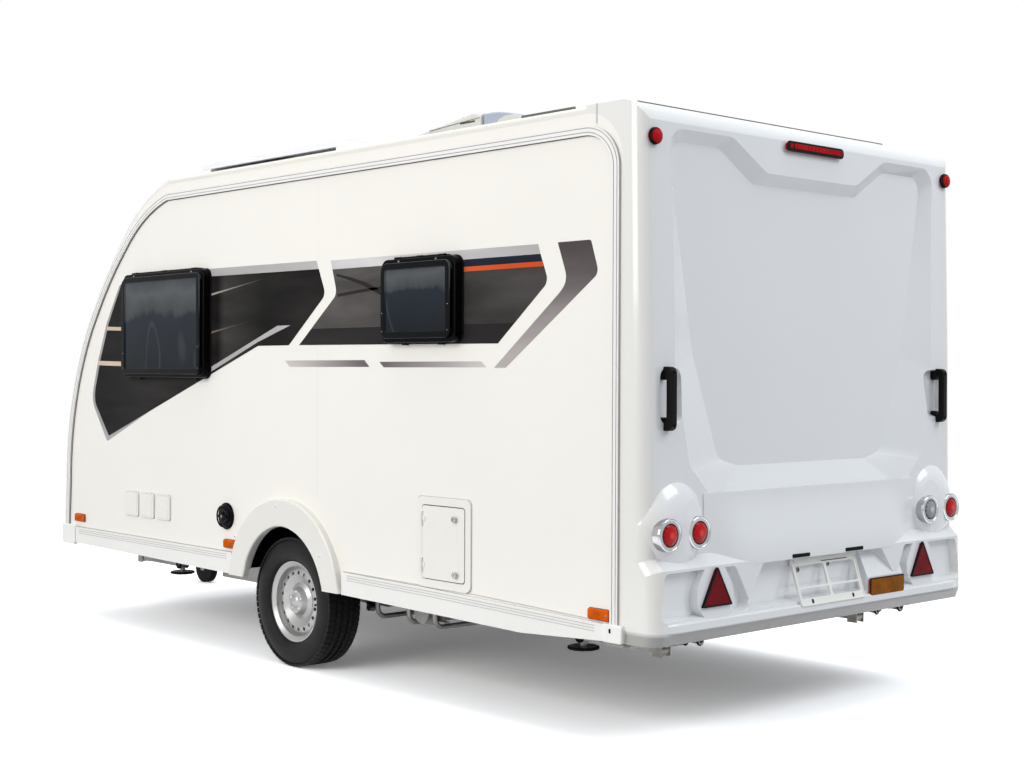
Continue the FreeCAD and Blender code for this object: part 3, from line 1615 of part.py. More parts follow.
def roof_cooler():
    """Shroud of the roof cooler, with its grille in the rear end and slots in its sides."""
    shell = body("Cooler")
    line = sketch(shell, "CoolerLine", "XZ", S.cooler_half)
    pad(shell, outline(line, cooler_line(Dim.of(0))), S.cooler_half * 2)
    fillet(shell, Dim.of(24), lambda e: not_on_roof(e) and not runs_along(e, "y"))
    hollow = body("CoolerHollow")
    side = S.cooler_half - S.cooler_skin
    pad(hollow, outline(sketch(hollow, "CoolerHollowLine", "XZ", side), cooler_line(S.cooler_skin)), side * 2)
    low, high = S.roof_z + S.cooler_height * 0.22, S.roof_z + S.cooler_height * 0.78
    mouth = block(
        "CoolerMouth", S.cooler_rear - 1, S.cooler_rear + S.cooler_skin * 3,
        -S.cooler_half * 0.78, S.cooler_half * 0.78, low, high,
    )
    slots = []
    for index, (start, run, rise, deep) in enumerate(((0.44, 0.11, 0.60, 22), (0.07, 0.11, 0.78, 10))):
        x = S.cooler_rear + (S.cooler_front - S.cooler_rear) * start
        z = S.roof_z + S.cooler_height * rise
        slots.append(block(
            f"CoolerSlot{index}", x, x + (S.cooler_front - S.cooler_rear) * run,
            -S.cooler_half - 1, S.cooler_half + 1, z, z + deep,
        ))
    bars = []
    pitch = (high - low) / 6
    for index in range(1, 6):
        z = low + pitch * index
        bars.append(block(
            f"CoolerBar{index}", S.cooler_rear + 8, S.cooler_rear + S.cooler_skin * 2,
            -S.cooler_half * 0.78, S.cooler_half * 0.78, z - 4, z + 4,
        ))
    open_shell = cut("CoolerOpen", shell, hollow, mouth, *slots)
    return fuse("CoolerShell", open_shell, *bars)


def roof_fittings():
    """Solar panel on corner mounts, rooflight and roof cooler."""
    low, high = S.solar_offset - S.solar_half, S.solar_offset + S.solar_half
    under = S.roof_z + S.solar_lift
    panel = block("SolarSheet", S.solar_rear, S.solar_front, low, high, under, under + S.solar_thick)
    node("solar_panel", panel)
    feet = []
    for name, end, way in (("SolarNose", S.solar_front, 1), ("SolarTail", S.solar_rear, -1)):
        foot = body(name)
        points = [
            (end - S.solar_end * way, S.roof_z),
            (end + S.solar_lift * way, S.roof_z),
            (end + S.solar_thick * way, under + S.solar_thick * 0.8),
            (end, under + S.solar_thick),
            (end, under),
            (end - S.solar_end * way, under),
        ]
        if way < 0:
            points = points[::-1]
        pad(foot, outline(sketch(foot, name + "Line", "XZ", high), points), high - low)
        feet.append(foot)
    node("solar_mounts", group("SolarMounts", *feet))
    node("air_conditioner", roof_cooler())
    frame = body("RooflightFrame")
    line = sketch(frame, "RooflightFrameLine", "XY", S.roof_z)
    half = S.rooflight_half
    rounded(line, S.rooflight_x - half, S.rooflight_x + half, -half, half, S.wall)
    inner = half - S.wall
    rounded(line, S.rooflight_x - inner, S.rooflight_x + inner, -inner, inner, S.wall / 2)
    pad(frame, line, 18)
    lid = body("RooflightLid")
    half = S.rooflight_half - 6
    line = sketch(lid, "RooflightLidLine", "XY", S.roof_z + 18.3)
    rounded(line, S.rooflight_x - half, S.rooflight_x + half, -half, half, S.wall - 6)
    pad(lid, line, 34)
    fillet(lid, Dim.of(12), lambda e: at(e, z=S.roof_z.value + 52.3))
    held, leaf = hinged(
        "RooflightHinge", frame, lid, "y",
        (S.rooflight_x + S.rooflight_half + 2, 0, S.roof_z + 18), 66, [Dim.of(-150), Dim.of(84)],
        {"moving": lambda name, spot, third: [block(
            name, S.rooflight_x + S.rooflight_half - 14, S.rooflight_x + S.rooflight_half + 2,
            spot + third, spot + third * 2, S.roof_z + 20, S.roof_z + 26,
        )]},
    )
    node("rooflight_frame", held)
    node("rooflight_lid", leaf)


def not_on_roof(edge):
    return all(v.Point.z > S.roof_z.value + 1 for v in edge.Vertexes)


# lamps and fittings
def lamps():
    """Round rear lamps in bezels, markers, brake lamp, reflectors and side markers."""
    face = -S.lamp_back
    bezels, reds, clears = [], [], []
    places = (LAMP_OUTER, LAMP_INNER, -LAMP_INNER, -LAMP_OUTER)
    for index, y in enumerate(places):
        ring = body(f"Bezel{index}")
        line = sketch(ring, f"BezelLine{index}", "YZ", face - 12)
        disc(line, y, S.lamp_z, S.bezel_radius)
        disc(line, y, S.lamp_z, S.lens_radius + 0.5)
        pad(ring, line, 34)
        crown = S.bezel_radius.value
        fillet(ring, Dim.of(7), lambda e, r=crown: rim_edge(e, r, face.value - 12))
        bezels.append(ring)
        lens = body(f"Lens{index}")
        disc(sketch(lens, f"LensLine{index}", "YZ", face - 8), y, S.lamp_z, S.lens_radius + 0.2)
        pad(lens, lens.Group[0], 24)
        fillet(lens, Dim.of(6), lambda e: rim_edge(e, S.lens_radius.value + 0.2, face.value - 8))
        (clears if index == 2 else reds).append(lens)
    node("lamp_bezels", group("LampBezels", *bezels))
    node("clear_lamp", group("ClearLamps", clears[0], *front_markers()))
    for index, side in enumerate((1, -1)):
        top = round_bar(f"TopMarker{index}", "x", -S.pillar_back - 24, MARKER * side, S.marker_z, S.marker_radius, 34)
        reds.append(top)
    brake = body("BrakeLens")
    line = sketch(brake, "BrakeLine", "YZ", -S.pillar_back - 14)
    rounded(line, -S.brake_half, S.brake_half, S.brake_z - 16, S.brake_z + 16, 14)
    pad(brake, line, 24)
    reds.append(brake)
    node("red_lamps", group("RedLamps", *reds))
    triangles = []
    side_length = S.reflector_side
    rise = side_length * 0.866
    for index, side in enumerate((1, -1)):
        tri = body(f"Triangle{index}")
        middle = PAD * side
        low = S.pad_z - rise / 3 - 6
        line = sketch(tri, f"TriangleLine{index}", "YZ", -S.bumper_back - S.reflector_thick - 4)
        outline(line, [
            (middle - side_length / 2, low), (middle + side_length / 2, low), (middle, low + rise),
        ])
        pad(tri, line, S.reflector_thick + 6)
        fillet(tri, Dim.of(8), lambda e: runs_along(e, "x"))
        triangles.append(tri)
    node("triangle_reflectors", group("Triangles", *triangles))
    ambers = []
    spots = (
        (S.amber_front, S.amber_front_top_z),
        (S.amber_middle, S.amber_middle_top_z),
        (-S.amber_rear_back, S.amber_rear_top_z),
    )
    for index, (front, top) in enumerate(spots):
        mark = body(f"Amber{index}")
        rounded(
            sketch(mark, f"AmberLine{index}", "XZ", HALF + 14),
            front - S.amber_length, front, top - S.amber_height, top, 8,
        )
        pad(mark, mark.Group[0], 14)
        fillet(mark, Dim.of(4), lambda e: on_plane(e, HALF.value + 14))
        ambers += [mark, mirrored(f"AmberRight{index}", mark)]
    rear = body("RearAmber")
    rounded(
        sketch(rear, "RearAmberLine", "YZ", -S.lip_back - 10),
        -S.rear_amber_far, -S.rear_amber_near, S.rear_amber_low_z, S.rear_amber_high_z, 6,
    )
    pad(rear, rear.Group[0], 24)
    ambers.append(rear)
    node("amber_lamps", group("AmberLamps", *ambers))


def front_markers():
    """White front markers under the roof and reflectors above the nose foot, on both sides."""
    found = []
    places = (
        ("Marker", S.brow_x - 160, S.front_marker_z, 34),
        ("Reflector", S.chin_x - 60, S.front_reflector_z, 56),
    )
    nose = nose_solid("MarkerNose")
    for name, x, z, high in places:
        low_y = MARKER - S.amber_length
        plate = block(f"Front{name}", x, x + 200, low_y, MARKER, z, z + high)
        proud = nose_grown(f"Front{name}Skin")
        seat = cut(f"Front{name}Seat", plate, nose)
        piece = DOC.addObject("Part::Common", f"Front{name}Proud")
        piece.Base = seat
        piece.Tool = proud
        found += [piece, mirrored(f"Front{name}Right", piece)]
    return found


def nose_grown(name):
    """The nose block with its outer line moved out by the thickness of a marker."""
    part = body(name)
    grow = S.marker_proud
    outer, radii = nose_inner(-(S.wall + grow))
    points = outer + [(S.roof_front_x, S.wall_foot_z)]
    arcs = {1: (radii[0], 1), 2: (radii[1], 1), 3: (radii[2], 1)}
    pad(part, outline(sketch(part, name + "Line", "XZ", HALF), points, arcs), S.body_width)
    return part


def rim_edge(edge, radius, x):
    """Whether an edge is the circle of one radius at one depth."""
    curve = edge.Curve
    return isinstance(curve, Part.Circle) and abs(curve.Radius - radius) < 0.05 and abs(curve.Center.x - x) < 0.05


def rear_fittings():
    """Number plate holder and the two manoeuvring handles."""
    holder = body("PlateHolder")
    near, far = S.holder_y - S.holder_width / 2, S.holder_y + S.holder_width / 2
    high = S.holder_height
    line = sketch(holder, "HolderLine", "YZ")
    rounded(line, near, far, Dim.of(0), high, 10)
    bar = 16
    for index, (y0, y1, z0, z1) in enumerate((
        (near + bar, S.holder_y - 8, Dim.of(bar * 2), high * 0.36),
        (S.holder_y + 8, far - bar, Dim.of(bar * 2), high * 0.36),
        (near + bar, S.holder_y - 8, high * 0.36 + 8, high - bar * 2),
        (S.holder_y + 8, far - bar, high * 0.36 + 8, high - bar * 2),
    )):
        rounded(line, y0, y1, z0, z1, 8)
    pad(holder, line, S.holder_thick)
    tilt = math.radians(S.holder_tilt.value)
    holder.Placement = FreeCAD.Placement(Vector(), FreeCAD.Rotation(Vector(0, 1, 0), S.holder_tilt.value))
    bind(holder, "Placement.Base.x", -S.lip_back - S.plate_proud)
    bind(holder, "Placement.Base.z", S.holder_low_z)
    legs = []
    back = -S.lip_back - S.plate_proud + high * math.sin(tilt) * 0.9
    top = S.holder_low_z + high * math.cos(tilt)
    for index, y in enumerate((near + 60, far - 60)):
        legs.append(block(
            f"HolderLeg{index}", back, -S.bumper_back + S.plate_recess, y - 14, y + 14, top - 34, top - 12,
        ))
    node("plate_holder", fuse("PlateHolderBoth", holder, *legs))
    handles = []
    for index, side in enumerate((1, -1)):
        y, half = GRIP * side, S.grip_width / 2
        grip = body(f"Grip{index}")
        reach, foot = -S.grip_reach, -S.waist_back + S.cup_depth
        low, high = S.grip_low_z, S.grip_high_z
        bar = 26
        outline(
            sketch(grip, f"GripLine{index}", "XZ", y + half),
            [
                (foot, low), (foot, low + bar + 10), (reach + bar, low + bar + 10),
                (reach + bar, high - bar - 10), (foot, high - bar - 10), (foot, high),
                (reach + bar, high), (reach, high - bar), (reach, low + bar), (reach + bar, low),
            ],
            {6: (Dim.of(bar), 1), 8: (Dim.of(bar), 1)},
        )
        pad(grip, grip.Group[0], S.grip_width)
        fillet(grip, Dim.of(6), lambda e: outer_grip_edge(e, reach.value, bar))
        handles.append(grip)
    node("grab_handles", group("GrabHandles", *handles))


def outer_grip_edge(edge, reach, bar):
    """Whether an edge runs round the outside of a grip, clear of its feet."""
    ends = [v.Point for v in edge.Vertexes]
    return abs(ends[0].y - ends[1].y) < 0.1 and all(p.x < reach + bar + 0.1 for p in ends) and any(
        p.x < reach + 0.1 for p in ends
    )


# chassis
def chassis_rails():
    """Two long members under the floor with cross members between them."""
    half = S.member_width / 2
    wall = S.member_wall
    rails = []
    for index, sign in enumerate((1, -1)):
        y = S.member_offset * sign
        near, far = (y - half - 1, y + half - wall) if sign > 0 else (y - half + wall, y + half + 1)
        spans = (
            ("Deep", S.member_deep_x, S.bend_x, S.member_height),
            ("Tail", -S.member_rear_back, S.member_deep_x, S.member_rear_height),
        )
        for tag, rear, front, height in spans:
            low = S.wall_foot_z - height
            bar = block(f"{tag}Member{index}", rear, front, y - half, y + half, low, S.wall_foot_z)
            slot = block(
                f"{tag}Slot{index}", rear - 1, front + 1, near, far, low + wall, S.wall_foot_z - wall
            )
            rails.append(cut(f"{tag}Channel{index}", bar, slot))
        rails.append(block(
            f"Plate{index}", S.member_deep_x - wall, S.member_deep_x, y - half, y + half,
            S.wall_foot_z - S.member_height, S.wall_foot_z,
        ))
    for index, x in enumerate((-1700, -700, 700)):
        rails.append(block(
            f"Cross{index}", Dim.of(x), Dim.of(x) + 40, -S.member_offset, S.member_offset,
            S.wall_foot_z - S.cross_height, S.wall_foot_z,
        ))
    room = round_bar(
        "AxleRoom", "y", S.axle_forward, -S.member_offset - 60, S.axle_z, S.axle_radius,
        S.member_offset * 2 + 120,
    )
    node("chassis_rails", cut("ChassisRailsOpen", fuse("ChassisRails", *rails), room))


def drawbar():
    """A-frame members that run from the chassis bend to the coupling."""
    half = S.member_width / 2
    bars = []
    for index, sign in enumerate((1, -1)):
        bar = body(f"Drawbar{index}")
        start, tip = S.member_offset * sign, S.drawbar_tip_half * sign
        outline(
            sketch(bar, f"DrawbarLine{index}", "XY", S.drawbar_foot_z),
            [
                (S.bend_x, start - half), (S.drawbar_tip_x, tip - half),
                (S.drawbar_tip_x, tip + half), (S.bend_x, start + half),
            ],
        )
        pad(bar, bar.Group[0], S.drawbar_height)
        bars.append(bar)
    tie_x = S.nose_foot_x + 90
    slope = (S.member_offset - S.drawbar_tip_half) / (S.drawbar_tip_x - S.bend_x)
    reach = S.member_offset - slope * (tie_x - S.bend_x)
    tie = block("DrawbarTie", tie_x, tie_x + 40, -reach, reach, S.drawbar_foot_z + 12, S.drawbar_foot_z + 60)
    node("drawbar", fuse("DrawbarFuse", *bars, tie))


def axle():
    """Axle tube across the chassis, with a trailing arm and stub on each side."""
    inner = TRACK / 2 - S.tyre_width / 2 - S.arm_gap
    tube = round_bar("AxleTube", "y", S.axle_forward, -inner + 60, S.axle_z, S.axle_radius, inner * 2 - 120)
    saddles = []
    for index, sign in enumerate((1, -1)):
        y = S.member_offset * sign
        saddles.append(
            block(f"Saddle{index}", S.axle_forward - 60, S.axle_forward + 60, y - 40, y + 40, S.axle_z - 56, S.axle_z + S.axle_radius)
        )
    hole = round_bar("SaddleBore", "y", S.axle_forward, -S.member_offset - 60, S.axle_z, S.axle_radius, S.member_offset * 2 + 120)
    node("axle_beam", tube)
    arms = []
    for index, sign in enumerate((1, -1)):
        low = inner - 60 if sign > 0 else -inner + 14
        arm = body(f"Arm{index}")
        r = 46
        outline(
            sketch(arm, f"ArmLine{index}", "XZ", Dim.of(low) + 46),
            [
                (S.axle_forward, S.axle_z - r), (S.axle_forward, S.axle_z + r),
                (-10, S.wheel_z + 34), (-10, S.wheel_z - 34),
            ],
            {0: (r * 1.2, -1), 2: (60, -1)},
        )
        pad(arm, arm.Group[0], 46)
        reach = TRACK / 2 + 48 - inner + 14
        stub_low = inner - 14 if sign > 0 else -inner + 14 - reach
        stub = round_bar(f"Stub{index}", "y", 0, stub_low, S.wheel_z, S.stub_radius, reach)
        arms.append(fuse(f"ArmFuse{index}", arm, stub))
    node("swing_arms", group("SwingArms", *arms))


def coupling():
    """Overrun housing, coupling head, handbrake lever and jockey clamp."""
    housing = round_bar("OverrunTube", "x", S.overrun_rear_x, 0, S.coupling_z + 24, S.overrun_radius, S.coupling_x - 90 - S.overrun_rear_x)
    base = block(
        "OverrunBase", S.overrun_rear_x + 40, S.drawbar_tip_x, -S.drawbar_tip_half - 20, S.drawbar_tip_half + 20,
        S.drawbar_foot_z + S.drawbar_height, S.coupling_z + 24,
    )
    node("overrun_housing", fuse("Overrun", housing, base))
    head = round_bar("HeadTube", "x", S.coupling_x - 90, 0, S.coupling_z + 24, 30, 60)
    shell = body("HeadShell")
    nose, back = S.coupling_nose_x, S.coupling_x - 60
    outline(
        sketch(shell, "HeadShellLine", "XY", S.coupling_z - 30),
        [(back, Dim.of(-36)), (S.coupling_x + 20, Dim.of(-48)), (nose - 26, Dim.of(-40)), (nose, Dim.of(-16)),
         (nose, Dim.of(16)), (nose - 26, Dim.of(40)), (S.coupling_x + 20, Dim.of(48)), (back, Dim.of(36))],
    )
    pad(shell, shell.Group[0], 80)
    crown = S.coupling_z.value + 50
    fillet(shell, Dim.of(12), lambda e: at(e, z=crown))
    socket = round_bar("HeadSocket", "z", S.coupling_x, 0, S.coupling_z - 60, S.ball_radius, 85)
    x, z = S.coupling_x, S.coupling_z
    grip = side_plate("HeadGrip", 18, 36, [
        (x - 60, z + 40), (x - 12, z + 40), (x - 34, z + 84),
        (x - 196, z + 138), (x - 206, z + 112), (x - 74, z + 68),
    ])
    node("coupling_head", cut("HeadCut", fuse("HeadFuse", head, shell, grip), socket))
    foot = S.drawbar_tip_x - 110
    lever = side_plate("Lever", 56, 12, [
        (foot, z + 24), (foot + 34, z + 24), (foot - 66, z + 330), (foot - 96, z + 322),
    ])
    knob = side_plate("LeverGrip", 62, 24, [
        (foot - 44, z + 236), (foot - 8, z + 246), (foot - 62, z + 372), (foot - 98, z + 360),
    ])
    node("handbrake_lever", fuse("LeverBoth", lever, knob))


def side_plate(name, left, width, points):
    """Plate with a side outline, from its left face to the right."""
    plate = body(name)
    turn = sum(
        (u0.value * v1.value - u1.value * v0.value)
        for (u0, v0), (u1, v1) in zip(points, points[1:] + points[:1])
    )
    points = points if turn > 0 else points[::-1]
    pad(plate, outline(sketch(plate, name + "Line", "XZ", left), points), width)
    return plate


def jockey():
    """Jockey wheel: clamp on the drawbar, stem, fork and wheel."""
    x, y = S.jockey_x, -S.jockey_offset
    wall = 4
    foot = S.drawbar_foot_z + S.drawbar_height
    outer = round_bar("ClampTube", "z", x, y, foot, S.jockey_tube_radius + wall, 80)
    arm = block("ClampArm", x - 30, x + 30, y, -S.drawbar_tip_half - 24, foot, foot + 12)
    bore = round_bar("ClampBore", "z", x, y, foot - 1, S.jockey_tube_radius, 82)
    node("jockey_clamp", cut("JockeyClamp", fuse("ClampFuse", outer, arm), bore))
    axle_z = S.jockey_wheel_radius
    stem_foot = axle_z + S.jockey_wheel_radius + 30
    tube = round_bar("StemTube", "z", x, y, stem_foot + 20, S.jockey_tube_radius - 0.3, S.jockey_top_z - stem_foot - 20)
    crank = round_bar("StemCrank", "x", x - 20, y, S.jockey_top_z + 14, 8, 150)
    cap = round_bar("StemCap", "z", x, y, S.jockey_top_z, 12, 22)
    knob = round_bar("StemKnob", "z", x + 122, y, S.jockey_top_z + 10, 12, 86)
    node("jockey_stem", fuse("JockeyStem", tube, cap, crank, knob))
    fork_x = x - S.jockey_trail
    half = S.jockey_wheel_width / 2
    plate = block("ForkPlate", fork_x - 25, x + 28, y - half - 9, y + half + 9, stem_foot, stem_foot + 8)
    left = block("ForkLeft", fork_x - 20, fork_x + 20, y + half + 4, y + half + 9, axle_z - 20, stem_foot)
    right = block("ForkRight", fork_x - 20, fork_x + 20, y - half - 9, y - half - 4, axle_z - 20, stem_foot)
    pin = round_bar("ForkPin", "y", fork_x, y - half - 12, axle_z, 7, half * 2 + 24)
    post = round_bar("ForkPost", "z", x, y, stem_foot + 8, 12, 12)
    node("jockey_fork", fuse("JockeyFork", plate, left, right, pin, post))
    tread = round_bar("JockeyTread", "y", fork_x, y - half, axle_z, S.jockey_wheel_radius, half * 2)
    hole = round_bar("JockeyHole", "y", fork_x, y - half - 1, axle_z, 7.3, half * 2 + 2)
    node("jockey_wheel", cut("JockeyWheelCut", tread, hole))


def steadies():
    """Four folded corner steadies: brackets under the floor and a leg on each."""
    brackets = []
    places = (
        ("front_left_steady", S.steady_front_x, 1, 1),
        ("front_right_steady", S.steady_front_x, -1, 1),
        ("rear_left_steady", -S.steady_rear_back, 1, -1),
        ("rear_right_steady", -S.steady_rear_back, -1, -1),
    )
    half = S.steady_width / 2
    top = S.wall_foot_z
    crank_z = S.steady_z + 52
    for index, (label, x, side, way) in enumerate(places):
        y = S.steady_offset * side
        end = x - S.steady_length * way
        socket = x + S.steady_socket * way
        low_x, high_x = (end - 18, x + 26) if way > 0 else (x - 26, end + 18)
        parts = [block(f"Bracket{index}", low_x, high_x, y - half - 5, y + half + 5, top - 12, top)]
        for tag, edge in (("A", y - half - 5), ("B", y + half + 0.5)):
            parts.append(block(f"Cheek{index}{tag}", x - 26, x + 26, edge, edge + 4.5, S.steady_z - 26, top))
            parts.append(block(f"Ear{index}{tag}", end - 18, end + 18, edge, edge + 4.5, crank_z - 24, top))
        parts.append(round_bar(f"SteadyPin{index}", "y", x, y - half - 5, S.steady_z, 6, half * 2 + 10))
        for tag, place in (("A", x), ("B", end)):
            parts.append(block(
                f"Bridge{index}{tag}", place - 14, place + 14, y - half - 5, y + half + 5,
                crank_z - 16, crank_z + 16,
            ))
        run = S.steady_length + S.steady_socket
        parts.append(round_bar(f"Screw{index}", "x", end if way > 0 else socket, y, crank_z, 8, run))
        cup_x = socket - 40 if way > 0 else socket
        parts.append(round_bar(f"Socket{index}", "x", cup_x, y, crank_z, 17, 40))
        brackets.append(fuse(f"BracketFuse{index}", *parts))
        hub = round_bar(f"LegHub{index}", "y", x, y - half, S.steady_z, 24, half * 2)
        leg_low, leg_high = (end, x) if way > 0 else (x, end)
        leg = block(f"Leg{index}", leg_low, leg_high, y - half, y + half, S.steady_z - 12, S.steady_z + 12)
        knuckle = round_bar(f"FootHub{index}", "y", end, y - half, S.steady_z, 22, half * 2)
        neck = round_bar(f"FootNeck{index}", "z", end, y, S.steady_z - 42, 15, 42)
        foot = round_bar(f"Foot{index}", "z", end, y, S.steady_z - 54, S.steady_foot, 14)
        bore = round_bar(f"LegBore{index}", "y", x, y - half - 1, S.steady_z, 6.3, half * 2 + 2)
        leg_fuse = fuse(f"LegFuse{index}", hub, leg, knuckle, neck, foot)
        node(label, cut(f"LegCut{index}", leg_fuse, bore))
    node("steady_brackets", group("SteadyBrackets", *brackets))


def quarter_bend(name, x, y, z, start, end):
    """Quarter of a bent tube about a centre, from one direction across to another."""
    bend = DOC.addObject("Part::Torus", name)
    turn = FreeCAD.Rotation(start, end, start.cross(end), "XYZ")
    bend.Placement = FreeCAD.Placement(Vector(), turn)
    for letter, dim in (("x", x), ("y", y), ("z", z)):
        bind(bend, f"Placement.Base.{letter}", dim)
    bind(bend, "Radius1", S.hoop_bend)
    bind(bend, "Radius2", S.hoop_radius)
    bend.Angle3 = 90
    return bend


def carrier_hoop(name, back):
    """One tube hoop that hangs across under the floor."""
    bend, reach, foot = S.hoop_bend, S.hoop_half, S.hoop_foot_z
    centre_z = foot + bend
    pieces = []
    for tag, side in (("Left", 1), ("Right", -1)):
        inward = (reach - bend) * side
        out = Vector(0, side, 0)
        pieces.append(quarter_bend(f"{name}{tag}Bend", -back, inward, centre_z, out, Vector(0, 0, -1)))
        pieces.append(round_bar(
            f"{name}{tag}Leg", "z", -back, reach * side, centre_z, S.hoop_radius, S.wall_foot_z - centre_z
        ))
    pieces.append(round_bar(f"{name}Run", "y", -back, bend - reach, foot, S.hoop_radius, (reach - bend) * 2))
    return pieces


def under_floor():
    """Tube hoops behind the axle, with the tank and the round canister that they carry."""
    pieces = carrier_hoop("HoopA", S.hoop_first_back)
    pieces += carrier_hoop("HoopB", S.hoop_second_back)
    pieces += carrier_hoop("HoopC", S.hoop_third_back)
    span = S.hoop_third_back - S.hoop_second_back
    ties = []
    thin = S.hoop_radius * 0.7
    for tag, y in (("Left", S.hoop_half - S.hoop_bend * 2), ("Right", S.hoop_bend * 2 - S.hoop_half)):
        ties.append(round_bar(f"Tie{tag}", "x", -S.hoop_third_back, y, S.hoop_foot_z, thin, span))
    ties.append(round_bar(
        "TieMiddle", "x", -S.hoop_third_back, Dim.of(0), S.hoop_foot_z, thin,
        S.hoop_third_back - S.hoop_first_back,
    ))
    can_x = -(S.hoop_second_back + S.hoop_third_back) / 2
    can = round_bar("Canister", "y", can_x, S.hoop_half - 105, S.hoop_foot_z + S.hoop_radius + 52, 54, 110)
    saddle = block(
        "CanisterSaddle", -S.hoop_third_back, -S.hoop_second_back, S.hoop_half - 90, S.hoop_half - 60,
        S.hoop_foot_z - 5, S.hoop_foot_z + S.hoop_radius + 7,
    )
    node("carrier_hoops", fuse("CarrierHoops", *pieces, *ties, can, saddle))
    tank = block(
        "Tank", -S.tank_rear_back, -S.tank_front_back, -S.tank_half, S.tank_half,
        S.hoop_foot_z + S.hoop_radius, S.wall_foot_z - S.cross_height,
    )
    soft = DOC.addObject("Part::Fillet", "TankSoft")
    soft.Base = tank
    DOC.recompute()
    soft.Edges = [(index + 1, 20.0, 20.0) for index in range(12)]
    node("underfloor_tank", soft)


# wheels
def wheels():
    """Road wheels: a pressed rim with vents and a hub cap, and its tyre."""
    centre = TRACK / 2
    for label, side in (("left", 1), ("right", -1)):
        for piece, maker in (("rim", rim_body), ("tyre", tyre_body)):
            item = maker(f"{label.title()}{piece.title()}")
            item.Placement = FreeCAD.Placement(
                Vector(), FreeCAD.Rotation(Vector(0, 0, 1), 0 if side > 0 else 180)
            )
            bind(item, "Placement.Base.y", centre * side)
            bind(item, "Placement.Base.z", S.wheel_z)
            node(f"{label}_{piece}", item)


def turned(owner, name, points, arcs):
    """Body of revolution about the wheel's own axis, from (across, radius) points."""
    line = outline(sketch(owner, name, "YZ"), points, arcs)
    turn = owner.newObject("PartDesign::Revolution", name + "Turn")
    turn.Profile = line
    turn.ReferenceAxis = (wheel_axis(owner), [""])
    turn.Angle = 360
    line.Visibility = False
    return turn


def wheel_axis(owner):
    """The body's own Y axis."""
    return [item for item in owner.Origin.OriginFeatures if item.Role == "Y_Axis"][0]


def rim_body(name):
    """Steel rim: flanges, well, dished disc with a ring of vents and a domed hub cap."""
    rim = body(name)
    half, seat, lip = S.rim_width / 2, S.rim_radius, S.rim_lip_radius
    bore = S.stub_radius + S.pin_gap
    points = [
        (half, lip), (half, lip - 6), (half - 12, seat - 8), (half - 36, seat - 12),
        (half - 28, seat - 28), (half - 24, seat - 50), (half - 42, seat - 88),
        (half - 30, seat - 108), (half - 6, seat - 122), (half - 2, seat - 150),
        (half - 2, Dim.of(0)), (half - 16, Dim.of(0)), (half - 16, bore),
        (half - 56, bore), (half - 56, seat - 104), (half - 48, seat - 86),
        (half - 30, seat - 52), (half - 34, seat - 30), (half - 46, seat - 16),
        (-half + 20, seat - 10), (-half, lip - 6), (-half, lip),
        (-half + 8, lip), (-half + 14, seat - 3), (half - 14, seat - 3), (half - 8, lip),
    ]
    turned(rim, name + "Line", points, {8: (Dim.of(46), 1)})
    vents = sketch(rim, name + "Vents", "XZ", half)
    disc(vents, Dim.of(0), seat - 40, S.vent_radius)
    hole = pocket(rim, vents, half)
    ring = rim.newObject("PartDesign::PolarPattern", name + "VentRing")
    ring.Originals = [hole]
    ring.Axis = (wheel_axis(rim), [""])
    ring.Angle = 360
    ring.Occurrences = 18
    rim.Tip = ring
    return rim


def tyre_body(name):
    """Tyre with bulged side walls and a slightly crowned tread."""
    tyre = body(name)
    half, seat, lip = S.rim_width / 2, S.rim_radius, S.rim_lip_radius
    wide, tread = S.tyre_width / 2, S.tyre_radius
    side = [
        (half - 14.6, seat - 2.6), (half - 8.5, lip + 0.4), (half + 2, lip + 1),
        (wide - 8, lip + 16), (wide, seat + 62), (wide - 14, tread - 18), (wide - 38, tread - 2),
    ]
    points = [(-u, v) for u, v in side] + side[::-1]
    arcs = {
        3: (Dim.of(62), -1), 4: (Dim.of(92), -1), 5: (Dim.of(34), -1),
        6: (Dim.of(900), -1),
        7: (Dim.of(34), -1), 8: (Dim.of(92), -1), 9: (Dim.of(62), -1),
    }
    turned(tyre, name + "Line", points, arcs)
    return tyre


# whole caravan
def build():
    front_panel()
    left_wall()
    right_wall()
    roof_panel()
    floor_panel()
    wheel_boxes()
    edge_rails()
    skirt_rails()
    skirt_caps()
    wheel_arches()
    windows()
    entrance_door()
    door_frame()
    cassette()
    service_hatches()
    gas_locker_lid()
    gas_locker_box()
    roof_fittings()
    lamps()
    rear_fittings()
    rear_panel()
    chassis_rails()
    drawbar()
    axle()
    coupling()
    jockey()
    steadies()
    under_floor()
    wheels()


def check_and_write():
    """Stop on any failed feature or bad shape, then write one file for each piece."""
    DOC.recompute()
    for item in DOC.Objects:
        if "Invalid" in item.State or "Error" in item.State:
            raise RuntimeError(f"{item.Name} failed: {item.State}")
    os.makedirs("parts", exist_ok=True)
    for label, item in NODES:
        shape = item.Shape
        if shape.isNull() or not shape.isValid() or not shape.Solids:
            raise RuntimeError(f"{label} has no valid solid")
        shape.exportStep(os.path.join("parts", f"{label}.step"))


build()
check_and_write()
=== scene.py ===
import json
import logging
import math
from dataclasses import dataclass, field
from enum import Enum

import bmesh
import bpy
from mathutils import Matrix, Vector


